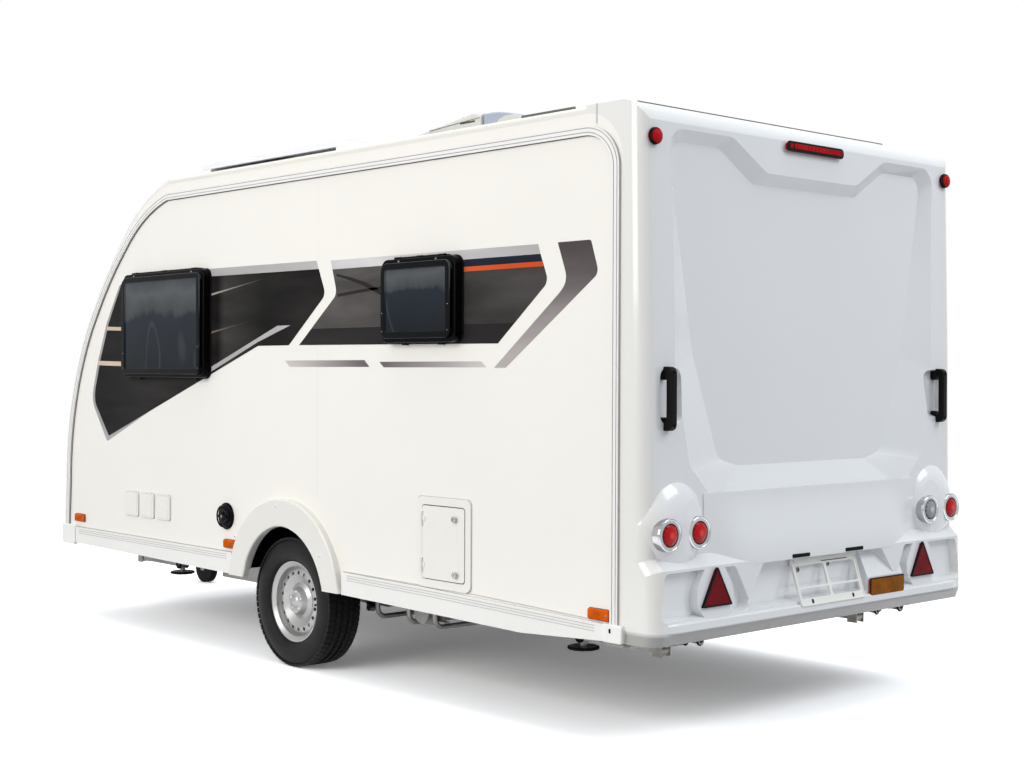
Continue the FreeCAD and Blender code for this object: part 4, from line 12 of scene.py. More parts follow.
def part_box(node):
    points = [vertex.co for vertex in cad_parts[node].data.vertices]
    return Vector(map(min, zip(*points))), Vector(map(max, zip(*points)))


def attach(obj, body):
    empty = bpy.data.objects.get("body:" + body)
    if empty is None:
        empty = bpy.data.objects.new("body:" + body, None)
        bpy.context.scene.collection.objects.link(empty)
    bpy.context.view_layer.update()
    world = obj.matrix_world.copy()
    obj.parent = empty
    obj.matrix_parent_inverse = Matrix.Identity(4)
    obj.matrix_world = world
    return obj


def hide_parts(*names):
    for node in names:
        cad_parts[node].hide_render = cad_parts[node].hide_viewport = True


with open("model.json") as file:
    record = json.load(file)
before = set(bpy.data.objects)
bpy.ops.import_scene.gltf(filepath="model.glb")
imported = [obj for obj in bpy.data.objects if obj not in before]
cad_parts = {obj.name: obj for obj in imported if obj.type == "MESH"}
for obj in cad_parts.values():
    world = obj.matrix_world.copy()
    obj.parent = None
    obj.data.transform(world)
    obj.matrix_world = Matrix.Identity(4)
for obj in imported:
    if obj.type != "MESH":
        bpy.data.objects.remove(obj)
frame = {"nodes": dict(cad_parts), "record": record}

LOG = logging.getLogger("travel_caravan")
AXLE_X = -0.542
WALL_Y = 1.05
SEAT_Y = 1.0502
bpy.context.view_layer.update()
SLOTS = {item["slot"] for item in frame["record"]["materials"]}
Triple = tuple[float, float, float]
Colour = tuple[float, float, float]
Shape = bmesh.types.BMesh
Socket = bpy.types.NodeSocket


def at(x: float, y: float, z: float) -> Vector:
    """Point of the caravan, with x measured forward from the wheel axis."""
    return Vector((x + AXLE_X, y, z))


class Axis(Enum):
    """Direction that a colour or a pattern follows."""

    X = 0
    Y = 1
    Z = 2


class Side(Enum):
    """Side of the caravan, as the sign of y."""

    LEFT = 1
    RIGHT = -1


# Materials


def fill_ramp(node: bpy.types.ShaderNode, stops: list[tuple[float, Colour]]) -> None:
    """Give a colour ramp its stops.

    Args:
        node: The Color Ramp node.
        stops: Pairs of position and colour.
    """
    elements = node.color_ramp.elements
    while len(elements) < len(stops):
        elements.new(0.5)
    for element, (spot, colour) in zip(elements, stops):
        element.position = spot
        element.color = (*colour, 1.0)


class Nodes:
    """Short way to put shader nodes together in one material."""

    def __init__(self, name: str) -> None:
        """Start an empty material.

        Args:
            name: Name of the material.
        """
        self.material = bpy.data.materials.new(f"look_{name}")
        self.material.use_nodes = True
        self.tree = self.material.node_tree
        self.tree.nodes.clear()
        self.out = self.add("OutputMaterial")
        self.shader = self.add("BsdfPrincipled")
        self.link(self.shader.outputs[0], self.out.inputs[0])
        self.place = self.add("TexCoord").outputs["Object"]

    def add(self, kind: str) -> bpy.types.ShaderNode:
        """New node of a kind."""
        return self.tree.nodes.new(f"ShaderNode{kind}")

    def link(self, source: Socket, target: Socket) -> None:
        """Join two sockets."""
        self.tree.links.new(source, target)

    def mapped(self, scale: Triple = (1, 1, 1), shift: Triple = (0, 0, 0)) -> Socket:
        """Object coordinates after a Mapping node.

        Args:
            scale: Scale on each axis.
            shift: Location of the pattern.

        Returns:
            The vector socket.
        """
        node = self.add("Mapping")
        node.inputs["Scale"].default_value = scale
        node.inputs["Location"].default_value = shift
        self.link(self.place, node.inputs["Vector"])
        return node.outputs["Vector"]

    def noise(self, scale: float, detail: float = 3.0, rough: float = 0.55,
              stretch: Triple = (1, 1, 1)) -> Socket:
        """Noise value on Object coordinates.

        Args:
            scale: Size of the grain, per metre.
            detail: Octaves.
            rough: Roughness of the octaves.
            stretch: Extra scale on each axis.

        Returns:
            The value socket.
        """
        node = self.add("TexNoise")
        node.inputs["Scale"].default_value = scale
        node.inputs["Detail"].default_value = detail
        node.inputs["Roughness"].default_value = rough
        self.link(self.mapped(stretch), node.inputs["Vector"])
        return node.outputs["Fac"]

    def ramp(self, value: Socket, stops: list[tuple[float, Colour]]) -> Socket:
        """Colour ramp over a value.

        Args:
            value: The driving socket.
            stops: Pairs of position and colour.

        Returns:
            The colour socket.
        """
        node = self.add("ValToRGB")
        fill_ramp(node, stops)
        self.link(value, node.inputs["Fac"])
        return node.outputs["Color"]

    def math(self, kind: str, a: Socket | float, b: Socket | float = 0.0) -> Socket:
        """Math node on two values.

        Args:
            kind: Its operation.
            a: First value or socket.
            b: Second value or socket.

        Returns:
            The value socket.
        """
        node = self.add("Math")
        node.operation = kind
        for index, value in enumerate((a, b)):
            if isinstance(value, (int, float)):
                node.inputs[index].default_value = value
            else:
                self.link(value, node.inputs[index])
        return node.outputs[0]

    def spread(self, value: Socket, low: float, high: float, to_low: float = 0.0,
               to_high: float = 1.0, soft: bool = False) -> Socket:
        """Map Range of a value from one span to another.

        Args:
            value: The value that is mapped.
            low: Start of its span.
            high: End of its span.
            to_low: Start of the new span.
            to_high: End of the new span.
            soft: Ease in and out of the span.

        Returns:
            The value socket.
        """
        node = self.add("MapRange")
        if soft:
            node.interpolation_type = "SMOOTHSTEP"
        for name, number in (("From Min", low), ("From Max", high), ("To Min", to_low), ("To Max", to_high)):
            node.inputs[name].default_value = number
        self.link(value, node.inputs["Value"])
        return node.outputs["Result"]

    def along(self, axis: Axis) -> Socket:
        """One Object coordinate as a value.

        Args:
            axis: The coordinate's axis.

        Returns:
            The value socket.
        """
        node = self.add("SeparateXYZ")
        self.link(self.place, node.inputs[0])
        return node.outputs[axis.value]

    def mix(self, factor: Socket, a: Socket | Colour, b: Socket | Colour) -> Socket:
        """Mix of two colours.

        Args:
            factor: Share of the second colour.
            a: First colour or socket.
            b: Second colour or socket.

        Returns:
            The colour socket.
        """
        node = self.add("Mix")
        node.data_type = "RGBA"
        self.link(factor, node.inputs[0])
        for index, value in ((6, a), (7, b)):
            if isinstance(value, tuple):
                node.inputs[index].default_value = (*value, 1.0)
            else:
                self.link(value, node.inputs[index])
        return node.outputs[2]

    def bump(self, height: Socket, strength: float, distance: float) -> None:
        """Bump on the shader's normal.

        Args:
            height: The height socket.
            strength: Strength of the bump.
            distance: Its height in metres.
        """
        node = self.add("Bump")
        node.inputs["Strength"].default_value = strength
        node.inputs["Distance"].default_value = distance
        self.link(height, node.inputs["Height"])
        self.link(node.outputs[0], self.shader.inputs["Normal"])

    def set(self, **values: float) -> None:
        """Constants on the shader's own sockets."""
        for name, value in values.items():
            self.shader.inputs[name.replace("_", " ")].default_value = value


@dataclass(frozen=True)
class Look:
    """Material of a piece, made at its first use."""

    name: str

    def build(self) -> bpy.types.Material:
        """The material, which every piece with this look shares."""
        return bpy.data.materials.get(f"look_{self.name}") or self.make()

    def make(self) -> bpy.types.Material:
        """Make the material."""
        return Nodes(self.name).material


@dataclass(frozen=True)
class Finish(Look):
    """One finish: a base colour with mottling, a grain and a gloss."""

    colour: Colour
    slot: str
    shade: float = 0.94
    rough: float = 0.3
    rough_span: float = 0.06
    grain: float = 60.0
    bump: float = 0.05
    depth: float = 0.0004
    metal: float = 0.0
    coat: float = 0.0
    wave: float = 0.0
    gloss: float = 0.5

    def make(self) -> bpy.types.Material:
        """Make the material.

        Returns:
            The finished material.
        """
        nodes = Nodes(self.name)
        broad = nodes.noise(2.2, 4.0)
        dark = tuple(c * self.shade for c in self.colour)
        colour = nodes.ramp(broad, [(0.32, dark), (0.68, self.colour)])
        nodes.link(self.tint(nodes, colour), nodes.shader.inputs["Base Color"])
        fine = nodes.noise(self.grain, 5.0)
        low, high = self.rough - self.rough_span, self.rough + self.rough_span
        nodes.link(nodes.spread(fine, 0.3, 0.7, max(0.02, low), high), nodes.shader.inputs["Roughness"])
        if self.wave:
            swell = nodes.noise(1.6, 1.0)
            height = nodes.math("ADD", nodes.math("MULTIPLY", fine, self.depth / self.wave), swell)
            nodes.bump(height, 1.0, self.wave)
        else:
            nodes.bump(fine, self.bump, self.depth)
        nodes.set(Metallic=self.metal, Coat_Weight=self.coat, Coat_Roughness=0.04,
                  Specular_IOR_Level=self.gloss)
        return nodes.material

    def tint(self, nodes: Nodes, colour: Socket) -> Socket:
        """Colour socket after any change with the place on the piece."""
        return colour


@dataclass(frozen=True)
class Lens(Finish):
    """Moulded lamp lens with a fine grid of prisms."""

    pitch: float = 900.0

    def make(self) -> bpy.types.Material:
        """Make the material.

        Returns:
            The finished material.
        """
        nodes = Nodes(self.name)
        waves = []
        for axis in (Axis.Z, Axis.Y):
            wave = nodes.add("TexWave")
            wave.bands_direction = axis.name
            wave.inputs["Scale"].default_value = self.pitch / math.tau
            nodes.link(nodes.mapped(), wave.inputs["Vector"])
            waves.append(wave.outputs["Fac"])
        cells = nodes.math("MULTIPLY", *waves)
        dark = tuple(c * 0.45 for c in self.colour)
        cloud = nodes.math("MULTIPLY", nodes.noise(18.0), 0.75)
        blend = nodes.math("ADD", nodes.math("MULTIPLY", cells, 0.35), cloud)
        nodes.link(nodes.ramp(blend, [(0.2, dark), (0.8, self.colour)]), nodes.shader.inputs["Base Color"])
        nodes.bump(cells, 0.25, 0.0012)
        nodes.set(Roughness=self.rough, Coat_Weight=0.01, Coat_Roughness=0.02, Specular_IOR_Level=0.02)
        return nodes.material


@dataclass(frozen=True)
class Vinyl(Look):
    """Printed film: a colour gradient along one axis, with streaks of painted sheen and a fine print grain.
    """

    axis: Axis
    start: float
    end: float
    stops: tuple[tuple[float, Colour], ...]
    rough: float = 0.22
    # Strength of the painted sheen: streaks that lay the print lighter and darker.
    painted_sheen: float = 0.12

    def make(self) -> bpy.types.Material:
        """Make the material.

        Returns:
            The finished material.
        """
        nodes = Nodes(self.name)
        value = nodes.spread(nodes.along(self.axis), self.start, self.end)
        base = nodes.ramp(value, list(self.stops))
        # Painted sheen: soft streaks that scale the print's colour up and down.
        cloud = nodes.noise(3.0, 3.0, 0.5, (0.6, 1, 3.0))
        light = nodes.spread(cloud, 0.35, 0.7, 1.0 - self.painted_sheen, 1.0 + self.painted_sheen)
        scaled = nodes.add("VectorMath")
        scaled.operation = "SCALE"
        nodes.link(base, scaled.inputs[0])
        nodes.link(light, scaled.inputs["Scale"])
        nodes.link(scaled.outputs[0], nodes.shader.inputs["Base Color"])
        fine = nodes.noise(900.0, 2.0)
        nodes.link(nodes.spread(fine, 0.3, 0.7, self.rough - 0.03, self.rough + 0.05),
                   nodes.shader.inputs["Roughness"])
        nodes.bump(fine, 0.03, 0.0002)
        nodes.set(Coat_Weight=0.0, Specular_IOR_Level=0.025)
        return nodes.material


@dataclass(frozen=True)
class Moulding(Finish):
    """Moulded shell: cool white in the middle, with painted shade that turns it warmer and darker on the
    corners towards the walls, and painted shade in grey on the return at its foot.
    """

    # Painted shade: a warmer, darker tone on the rounded corners towards the walls.
    corner_shade_tone: Colour = (0.75, 0.74, 0.705)
    turn_low: float = 0.94
    turn_high: float = 1.03
    # Painted shade: grey on the return at the foot stands for its shadowed underside.
    foot: Colour = (0.30, 0.295, 0.28)
    foot_high: float = 0.462
    foot_low: float = 0.444

    def tint(self, nodes: Nodes, colour: Socket) -> Socket:
        """Paint shade on the corners towards the sides and on the foot.

        Args:
            nodes: The material's nodes.
            colour: The plain colour.

        Returns:
            The colour socket.
        """
        across = nodes.math("ABSOLUTE", nodes.along(Axis.Y))
        # Painted shade on the corners, then painted shade on the foot.
        corner_shade_share = nodes.spread(across, self.turn_low, self.turn_high, soft=True)
        under = nodes.spread(nodes.along(Axis.Z), self.foot_high, self.foot_low)
        return nodes.mix(under, nodes.mix(corner_shade_share, colour, self.corner_shade_tone), self.foot)


@dataclass(frozen=True)
class Ribbed(Finish):
    """Rail finish whose sunk grooves hold a grey insert."""

    groove: Colour = (0.42, 0.41, 0.39)
    face: float = 1.0605

    def tint(self, nodes: Nodes, colour: Socket) -> Socket:
        """Colour the grooves behind the rail's face.

        Args:
            nodes: The material's nodes.
            colour: The plain colour.

        Returns:
            The colour socket.
        """
        across = nodes.math("ABSOLUTE", nodes.along(Axis.Y))
        return nodes.mix(nodes.math("LESS_THAN", across, self.face), colour, self.groove)


SIDE_SKIN = Finish(
    "side_skin", (0.84, 0.815, 0.76), "shell_white", 0.985, 0.24, 0.03, 240.0, 0.02, 0.0001, coat=0.2,
    wave=0.0035,
)
MOULDED_WHITE = Moulding(
    "moulded_white", (0.76, 0.775, 0.79), "moulding_white", 0.985, 0.16, 0.03, 300.0, 0.02, 0.0001,
    coat=0.35, wave=0.002,
)
TRIM_WHITE = Finish("trim_white", (0.83, 0.82, 0.79), "trim_white", 0.97, 0.34, 0.05, 320.0, 0.06, 0.0003,
                    0.0, 0.2)
LID_WHITE = Finish("lid_white", (0.80, 0.78, 0.73), "trim_white", 0.985, 0.28, 0.04, 320.0, 0.04, 0.0002,
                   0.0, 0.15)
ARCH_WHITE = Finish("arch_white", (0.75, 0.735, 0.69), "trim_white", 0.97, 0.3, 0.05, 320.0, 0.05, 0.0002,
                    0.0, 0.15)
RAIL_WHITE = Ribbed("rail_white", (0.81, 0.80, 0.775), "trim_white", 0.97, 0.3, 0.05, 300.0, 0.05, 0.0002,
                    0.0, 0.2)
SKIRT_WHITE = Ribbed(
    "skirt_white", (0.81, 0.80, 0.77), "trim_white", 0.97, 0.3, 0.05, 300.0, 0.05, 0.0002, 0.0, 0.2,
    groove=(0.55, 0.54, 0.52), face=1.0625,
)
# Painted shade: the roof's white is laid darker and warmer than the moulded white of its slot.
ROOF_WHITE = Finish("roof_white", (0.72, 0.705, 0.65), "moulding_white", 0.96, 0.32, 0.06, 90.0, 0.05,
                    0.0004, 0.0, 0.1)
# Painted shade: the cooler's white is laid much darker than the trim white of its slot.
COOLER_WHITE = Finish("cooler_white", (0.58, 0.57, 0.53), "trim_white", 0.97, 0.36, 0.06, 260.0, 0.05, 0.0003)
BLACK_GLOSS = Finish("black_gloss", (0.003, 0.003, 0.0035), "frame_black", 0.8, 0.12, 0.05, 120.0, 0.05,
                     0.0002, gloss=0.04)
BLACK_PLASTIC = Finish("black_plastic", (0.008, 0.008, 0.0085), "black_plastic", 0.75, 0.3, 0.06, 700.0,
                       0.12, 0.0003, gloss=0.06)
BLACK_RUBBER = Finish("black_rubber", (0.012, 0.012, 0.013), "rubber_black", 0.7, 0.6, 0.1, 500.0, 0.3,
                      0.0005, gloss=0.05)
WHEEL_SILVER = Finish("wheel_silver", (0.36, 0.36, 0.355), "rim_silver", 0.98, 0.34, 0.02, 90.0, 0.008,
                      0.00005, 0.65, 0.1)
GALVANISED = Finish("galvanised", (0.34, 0.335, 0.315), "galvanised", 0.6, 0.40, 0.12, 34.0, 0.3, 0.0006,
                    0.55, gloss=0.3)
BRACKET_STEEL = Finish("bracket_steel", (0.40, 0.38, 0.33), "galvanised", 0.55, 0.38, 0.1, 60.0, 0.2,
                       0.0004, 0.35, gloss=0.3)
CHROME = Finish("chrome", (0.55, 0.56, 0.57), "chrome_trim", 0.6, 0.10, 0.04, 200.0, 0.03, 0.0001, 1.0)
AXLE_STEEL = Finish("axle_steel", (0.05, 0.05, 0.05), "galvanised", 0.6, 0.5, 0.12, 40.0, 0.3, 0.0006, 0.5,
                    gloss=0.2)
FLOOR_BOARD = Finish("floor_board", (0.16, 0.15, 0.14), "floor_board", 0.75, 0.7, 0.1, 30.0, 0.3, 0.0008)
DARK_GAP = Finish("dark_gap", (0.008, 0.008, 0.008), "rubber_black", 0.8, 0.8, 0.1, 200.0, 0.1, 0.0003,
                  gloss=0.08)
GREY_SEAL = Finish("grey_seal", (0.30, 0.285, 0.26), "rubber_black", 0.85, 0.5, 0.08, 300.0, 0.1, 0.0003)
# Painted shade: blue-grey on the shaded rear of the white cooler; its slot is trim white.
COOLER_SHADE_GREY = Finish("cool_grey", (0.36, 0.41, 0.48), "trim_white", 0.9, 0.4, 0.08, 150.0, 0.08, 0.0003,
                   gloss=0.3)
RED_LENS = Lens("red_lens", (0.62, 0.012, 0.016), "lamp_red", rough=0.12)
AMBER_LENS = Lens("amber_lens", (0.95, 0.15, 0.006), "lamp_amber", rough=0.12)
BROWN_LENS = Lens("brown_lens", (0.36, 0.115, 0.002), "lamp_amber", rough=0.14)
CLEAR_LENS = Lens("clear_lens", (0.66, 0.68, 0.69), "lamp_clear", rough=0.1)
DARK_RED_LENS = Lens("dark_red_lens", (0.24, 0.007, 0.011), "lamp_red", rough=0.16, pitch=1600.0)
LAMP_GREY = Finish("lamp_grey", (0.56, 0.56, 0.57), "trim_white", 0.8, 0.24, 0.06, 260.0, 0.06, 0.0002, 0.4,
                   0.3)
SCREW_GREY = Finish("screw_grey", (0.20, 0.195, 0.185), "galvanised", 0.7, 0.3, 0.08, 300.0, 0.1, 0.0002, 0.7)
DRUM_BLACK = Finish("drum_black", (0.014, 0.014, 0.014), "galvanised", 0.6, 0.55, 0.12, 60.0, 0.3, 0.0006,
                    gloss=0.2)
ALLOY_EDGE = Finish("alloy_edge", (0.80, 0.81, 0.835), "trim_white", 0.97, 0.34, 0.04, 240.0, 0.02, 0.0001,
                    0.1)
GAP_LINE = Finish("gap_line", (0.13, 0.125, 0.115), "rubber_black", 0.85, 0.6, 0.08, 300.0, 0.1, 0.0002,
                  gloss=0.2)
SOFT_LINE = Finish("soft_line", (0.50, 0.49, 0.46), "trim_white", 0.9, 0.45, 0.08, 300.0, 0.1, 0.0002)
FAINT_LINE = Finish("faint_line", (0.72, 0.70, 0.655), "shell_white", 0.96, 0.4, 0.06, 300.0, 0.05, 0.0002)


@dataclass(frozen=True)
class Acrylic(Look):
    """Tinted window acrylic: a dark rim, and a dish painted with a reflection of sky over a dark skyline,
    with painted glints.
    """

    name: str = "tinted_acrylic"
    slot: str = "acrylic_dark"
    rim: float = 0.0
    low: float = 1.45
    high: float = 1.93

    def make(self) -> bpy.types.Material:
        """Make the material.

        Returns:
            The finished material.
        """
        nodes = Nodes(self.name)
        height = nodes.spread(nodes.along(Axis.Z), self.low, self.high)
        swell = nodes.math("MULTIPLY", nodes.noise(4.2, 1.5), 0.34)
        ragged = nodes.math("MULTIPLY", nodes.noise(34.0, 3.0, 0.6, (1, 1, 0.4)), 0.09)
        value = nodes.math("ADD", nodes.math("ADD", height, nodes.math("SUBTRACT", swell, 0.17)),
                           nodes.math("SUBTRACT", ragged, 0.045))
        # Painted reflection: pale sky over a dark, ragged skyline.
        sky = nodes.ramp(value, [
            (0.0, (0.008, 0.010, 0.013)), (0.30, (0.012, 0.016, 0.022)), (0.58, (0.016, 0.022, 0.031)),
            (0.63, (0.048, 0.054, 0.060)), (0.80, (0.085, 0.090, 0.096)), (1.0, (0.040, 0.048, 0.056)),
        ])
        # Painted glints along soft folds.
        folds = nodes.noise(3.4, 0.0, 0.4, (1.0, 1.0, 0.45))
        glint = nodes.ramp(folds, [
            (0.0, (0.0, 0.0, 0.0)), (0.520, (0.0, 0.0, 0.0)), (0.545, (0.022, 0.024, 0.027)),
            (0.552, (0.0, 0.0, 0.0)), (1.0, (0.0, 0.0, 0.0)),
        ])
        painted_reflection = nodes.add("VectorMath")
        nodes.link(sky, painted_reflection.inputs[0])
        nodes.link(glint, painted_reflection.inputs[1])
        colour = painted_reflection.outputs[0]
        if self.rim:
            across = nodes.math("ABSOLUTE", nodes.along(Axis.Y))
            proud = nodes.math("GREATER_THAN", across, self.rim)
            colour = nodes.mix(proud, colour, (0.0025, 0.003, 0.004))
        nodes.link(colour, nodes.shader.inputs["Base Color"])
        nodes.bump(nodes.noise(2.4, 2.0), 1.0, 0.006)
        nodes.set(Roughness=0.06, Coat_Weight=0.0, Specular_IOR_Level=0.06)
        return nodes.material


@dataclass(frozen=True)
class SolarCells(Look):
    """Dark solar cells with a fine pale grid."""

    name: str = "solar_cells"
    slot: str = "solar_dark"

    def make(self) -> bpy.types.Material:
        """Make the material.

        Returns:
            The finished material.
        """
        nodes = Nodes(self.name)
        brick = nodes.add("TexBrick")
        brick.offset = 0.0
        brick.inputs["Color1"].default_value = (0.012, 0.016, 0.035, 1)
        brick.inputs["Color2"].default_value = (0.015, 0.020, 0.045, 1)
        brick.inputs["Mortar"].default_value = (0.22, 0.23, 0.25, 1)
        brick.inputs["Scale"].default_value = 1.0
        brick.inputs["Mortar Size"].default_value = 0.004
        brick.inputs["Brick Width"].default_value = 0.16
        brick.inputs["Row Height"].default_value = 0.16
        nodes.link(nodes.mapped(), brick.inputs["Vector"])
        nodes.link(brick.outputs["Color"], nodes.shader.inputs["Base Color"])
        fine = nodes.noise(300.0)
        nodes.link(nodes.spread(fine, 0.3, 0.7, 0.08, 0.14), nodes.shader.inputs["Roughness"])
        nodes.set(Coat_Weight=0.8, Coat_Roughness=0.03)
        return nodes.material


# Shapes


def finish_piece(name: str, mesh: Shape, look: Look, body: str = "caravan",
                 smooth: float = 35.0) -> bpy.types.Object:
    """Turn a bmesh into a named piece that rides on a body.

    Args:
        name: Name of the piece.
        mesh: Its shape, in place.
        look: The finish that it wears.
        body: The CAD body that it rides on.
        smooth: Angle in degrees under which edges look round.

    Returns:
        The new object.
    """
    bmesh.ops.remove_doubles(mesh, verts=mesh.verts, dist=1e-6)
    bmesh.ops.recalc_face_normals(mesh, faces=mesh.faces)
    limit = math.radians(smooth)
    for face in mesh.faces:
        face.smooth = True
    for edge in mesh.edges:
        edge.smooth = len(edge.link_faces) == 2 and edge.calc_face_angle(0.0) < limit
    data = bpy.data.meshes.new(name)
    mesh.to_mesh(data)
    mesh.free()
    data.materials.append(look.build())
    piece = bpy.data.objects.new(name, data)
    bpy.context.scene.collection.objects.link(piece)
    even = piece.modifiers.new("even_normals", "WEIGHTED_NORMAL")
    even.keep_sharp = True
    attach(piece, body)
    getattr(look, "slot", None) in SLOTS
    return piece


def toward(axis: Vector) -> Matrix:
    """Rotation that turns +Z to an axis."""
    return Vector((0, 0, 1)).rotation_difference(axis.normalized()).to_matrix().to_4x4()


def add_rod(mesh: Shape, start: Vector, end: Vector, radius: float, segments: int = 24,
            tip: float | None = None) -> None:
    """Add a closed round bar or cone between two points.

    Args:
        mesh: The shape that it joins.
        start: Middle of its first end.
        end: Middle of its second end.
        radius: Radius at the start.
        segments: Sides round the bar.
        tip: Radius at the end, or None for a straight bar.
    """
    run = end - start
    place = Matrix.Translation((start + end) / 2) @ toward(run)
    bmesh.ops.create_cone(
        mesh, cap_ends=True, segments=segments, radius1=radius, radius2=radius if tip is None else tip,
        depth=run.length, matrix=place,
    )


def add_ring(mesh: Shape, centre: Vector, axis: Vector, radius: float, thick: float,
             steps: int = 40, across: int = 10) -> None:
    """Add a closed round ring.

    Args:
        mesh: The shape that it joins.
        centre: Middle of the ring.
        axis: Direction of its axis.
        radius: Radius of its middle line.
        thick: Radius of its section.
        steps: Steps round the axis.
        across: Sides of the section.
    """
    ring = bmesh.ops.create_circle(mesh, cap_ends=False, radius=thick, segments=across)
    turn = Matrix.Translation(Vector((radius, 0, 0))) @ Matrix.Rotation(math.pi / 2, 4, "X")
    bmesh.ops.transform(mesh, matrix=turn, verts=ring["verts"])
    edges = list({edge for vert in ring["verts"] for edge in vert.link_edges})
    before = set(mesh.verts) - set(ring["verts"])
    bmesh.ops.spin(
        mesh, geom=ring["verts"] + edges, cent=(0, 0, 0), axis=(0, 0, 1), angle=math.tau,
        steps=steps, use_merge=True,
    )
    fresh = [vert for vert in mesh.verts if vert not in before]
    bmesh.ops.transform(mesh, matrix=Matrix.Translation(centre) @ toward(axis), verts=fresh)


def add_box(mesh: Shape, low: Vector, high: Vector, round_off: float = 0.0) -> None:
    """Add a box between two corners, with softened edges.

    Args:
        mesh: The shape that it joins.
        low: Its lowest corner.
        high: Its highest corner.
        round_off: Width of the rounding.
    """
    size = high - low
    made = bmesh.ops.create_cube(mesh, size=1.0)["verts"]
    bmesh.ops.scale(mesh, vec=size, verts=made)
    bmesh.ops.translate(mesh, vec=(low + high) / 2, verts=made)
    if round_off:
        edges = list({edge for vert in made for edge in vert.link_edges})
        bmesh.ops.bevel(
            mesh, geom=edges, offset=round_off, affect="EDGES", segments=3, profile=0.5, material=-1,
        )


def add_side_box(mesh: Shape, side: int, low: Vector, high: Vector, round_off: float) -> None:
    """Add a box that is given for the left side, mirrored where the side is -1."""
    near, far = sorted((side * low.y, side * high.y))
    add_box(mesh, Vector((low.x, near, low.z)), Vector((high.x, far, high.z)), round_off)


def add_dome(mesh: Shape, centre: Vector, axis: Vector, radius: float, height: float,
             segments: int = 24) -> None:
    """Add a closed flattened ball."""
    place = Matrix.Translation(centre) @ toward(axis) @ Matrix.Diagonal((radius, radius, height, 1))
    bmesh.ops.create_uvsphere(mesh, u_segments=segments, v_segments=12, radius=1.0, matrix=place)


def sheet_on_wall(corners: list[Triple], side: Side, lift: float, thick: float = 0.0003,
                  clip: tuple[float, float] | None = None, plane: float = WALL_Y) -> Shape:
    """Flat film on a side wall.

    Args:
        corners: Points (x, z, rounding), with x measured from the wheel axis.
        side: The wall that it lies on.
        lift: Distance from the wall to its back.
        thick: Thickness of the film.
        clip: Span of x that is kept, or None for all of it.
        plane: Distance of the wall from the middle.

    Returns:
        The closed shape.
    """
    mesh = bmesh.new()
    y = side.value * (plane + lift)
    verts = [mesh.verts.new(at(x, y, z)) for x, z, _ in corners]
    mesh.faces.new(verts)
    for vert, (_, _, rounding) in list(zip(verts, corners)):
        if rounding:
            bmesh.ops.bevel(
                mesh, geom=[vert], offset=rounding, offset_type="OFFSET", affect="VERTICES",
                segments=6, profile=0.5, material=-1,
            )
    if clip:
        for spot, sign in ((clip[0], -1), (clip[1], 1)):
            bmesh.ops.bisect_plane(
                mesh, geom=mesh.verts[:] + mesh.edges[:] + mesh.faces[:], plane_co=at(spot, 0, 0),
                plane_no=(sign, 0, 0), clear_outer=True,
            )
    faces = mesh.faces[:]
    made = bmesh.ops.extrude_face_region(mesh, geom=faces, use_keep_orig=True)
    moved = [item for item in made["geom"] if isinstance(item, bmesh.types.BMVert)]
    bmesh.ops.translate(mesh, vec=(0, side.value * thick, 0), verts=moved)
    return mesh


def add_turned(mesh: Shape, centre: Vector, axis: Vector, line: list[tuple[float, float]],
               steps: int = 40) -> None:
    """Add a closed shape turned about an axis.

    Args:
        mesh: The shape that it joins.
        centre: Foot of the axis.
        axis: Direction of the axis.
        line: Points (radius, height), closed by itself where it leaves the axis.
        steps: Steps round the axis.
    """
    verts = [mesh.verts.new((radius, 0, height)) for radius, height in line]
    pairs = list(zip(verts, verts[1:]))
    if line[0][0] > 1e-6:
        pairs.append((verts[-1], verts[0]))
    edges = [mesh.edges.new(pair) for pair in pairs]
    before = set(mesh.verts) - set(verts)
    bmesh.ops.spin(
        mesh, geom=verts + edges, cent=(0, 0, 0), axis=(0, 0, 1), angle=math.tau, steps=steps, use_merge=True,
    )
    fresh = [vert for vert in mesh.verts if vert not in before]
    bmesh.ops.remove_doubles(mesh, verts=fresh, dist=1e-6)
    fresh = [vert for vert in mesh.verts if vert not in before]
    bmesh.ops.transform(mesh, matrix=Matrix.Translation(centre) @ toward(axis), verts=fresh)


def lay_face(mesh: Shape, points: list[Vector], rounding: float) -> list[bmesh.types.BMFace]:
    """Lay a flat face with rounded corners.

    Args:
        mesh: The shape that it joins.
        points: Corners of the outline.
        rounding: Radius of the corners.

    Returns:
        The faces made.
    """
    before = set(mesh.faces)
    verts = [mesh.verts.new(point) for point in points]
    mesh.faces.new(verts)
    if rounding:
        bmesh.ops.bevel(
            mesh, geom=verts, offset=rounding, offset_type="OFFSET", affect="VERTICES", segments=7,
            profile=0.5, material=-1,
        )
    return [face for face in mesh.faces if face not in before]


def add_plate(mesh: Shape, points: list[Vector], push: Vector, rounding: float = 0.0,
              soften: float = 0.0) -> None:
    """Add a closed plate pushed out of an outline.

    Args:
        mesh: The shape that it joins.
        points: Corners of the outline.
        push: Thickness, as a vector.
        rounding: Radius of the corners.
        soften: Width of the rounding round the outer face.
    """
    faces = lay_face(mesh, points, rounding)
    made = bmesh.ops.extrude_face_region(mesh, geom=faces, use_keep_orig=True)["geom"]
    bmesh.ops.translate(mesh, vec=push, verts=[item for item in made if isinstance(item, bmesh.types.BMVert)])
    if soften:
        rim = list({edge for item in made if isinstance(item, bmesh.types.BMFace) for edge in item.edges})
        bmesh.ops.bevel(mesh, geom=rim, offset=soften, affect="EDGES", segments=3, profile=0.5, material=-1)


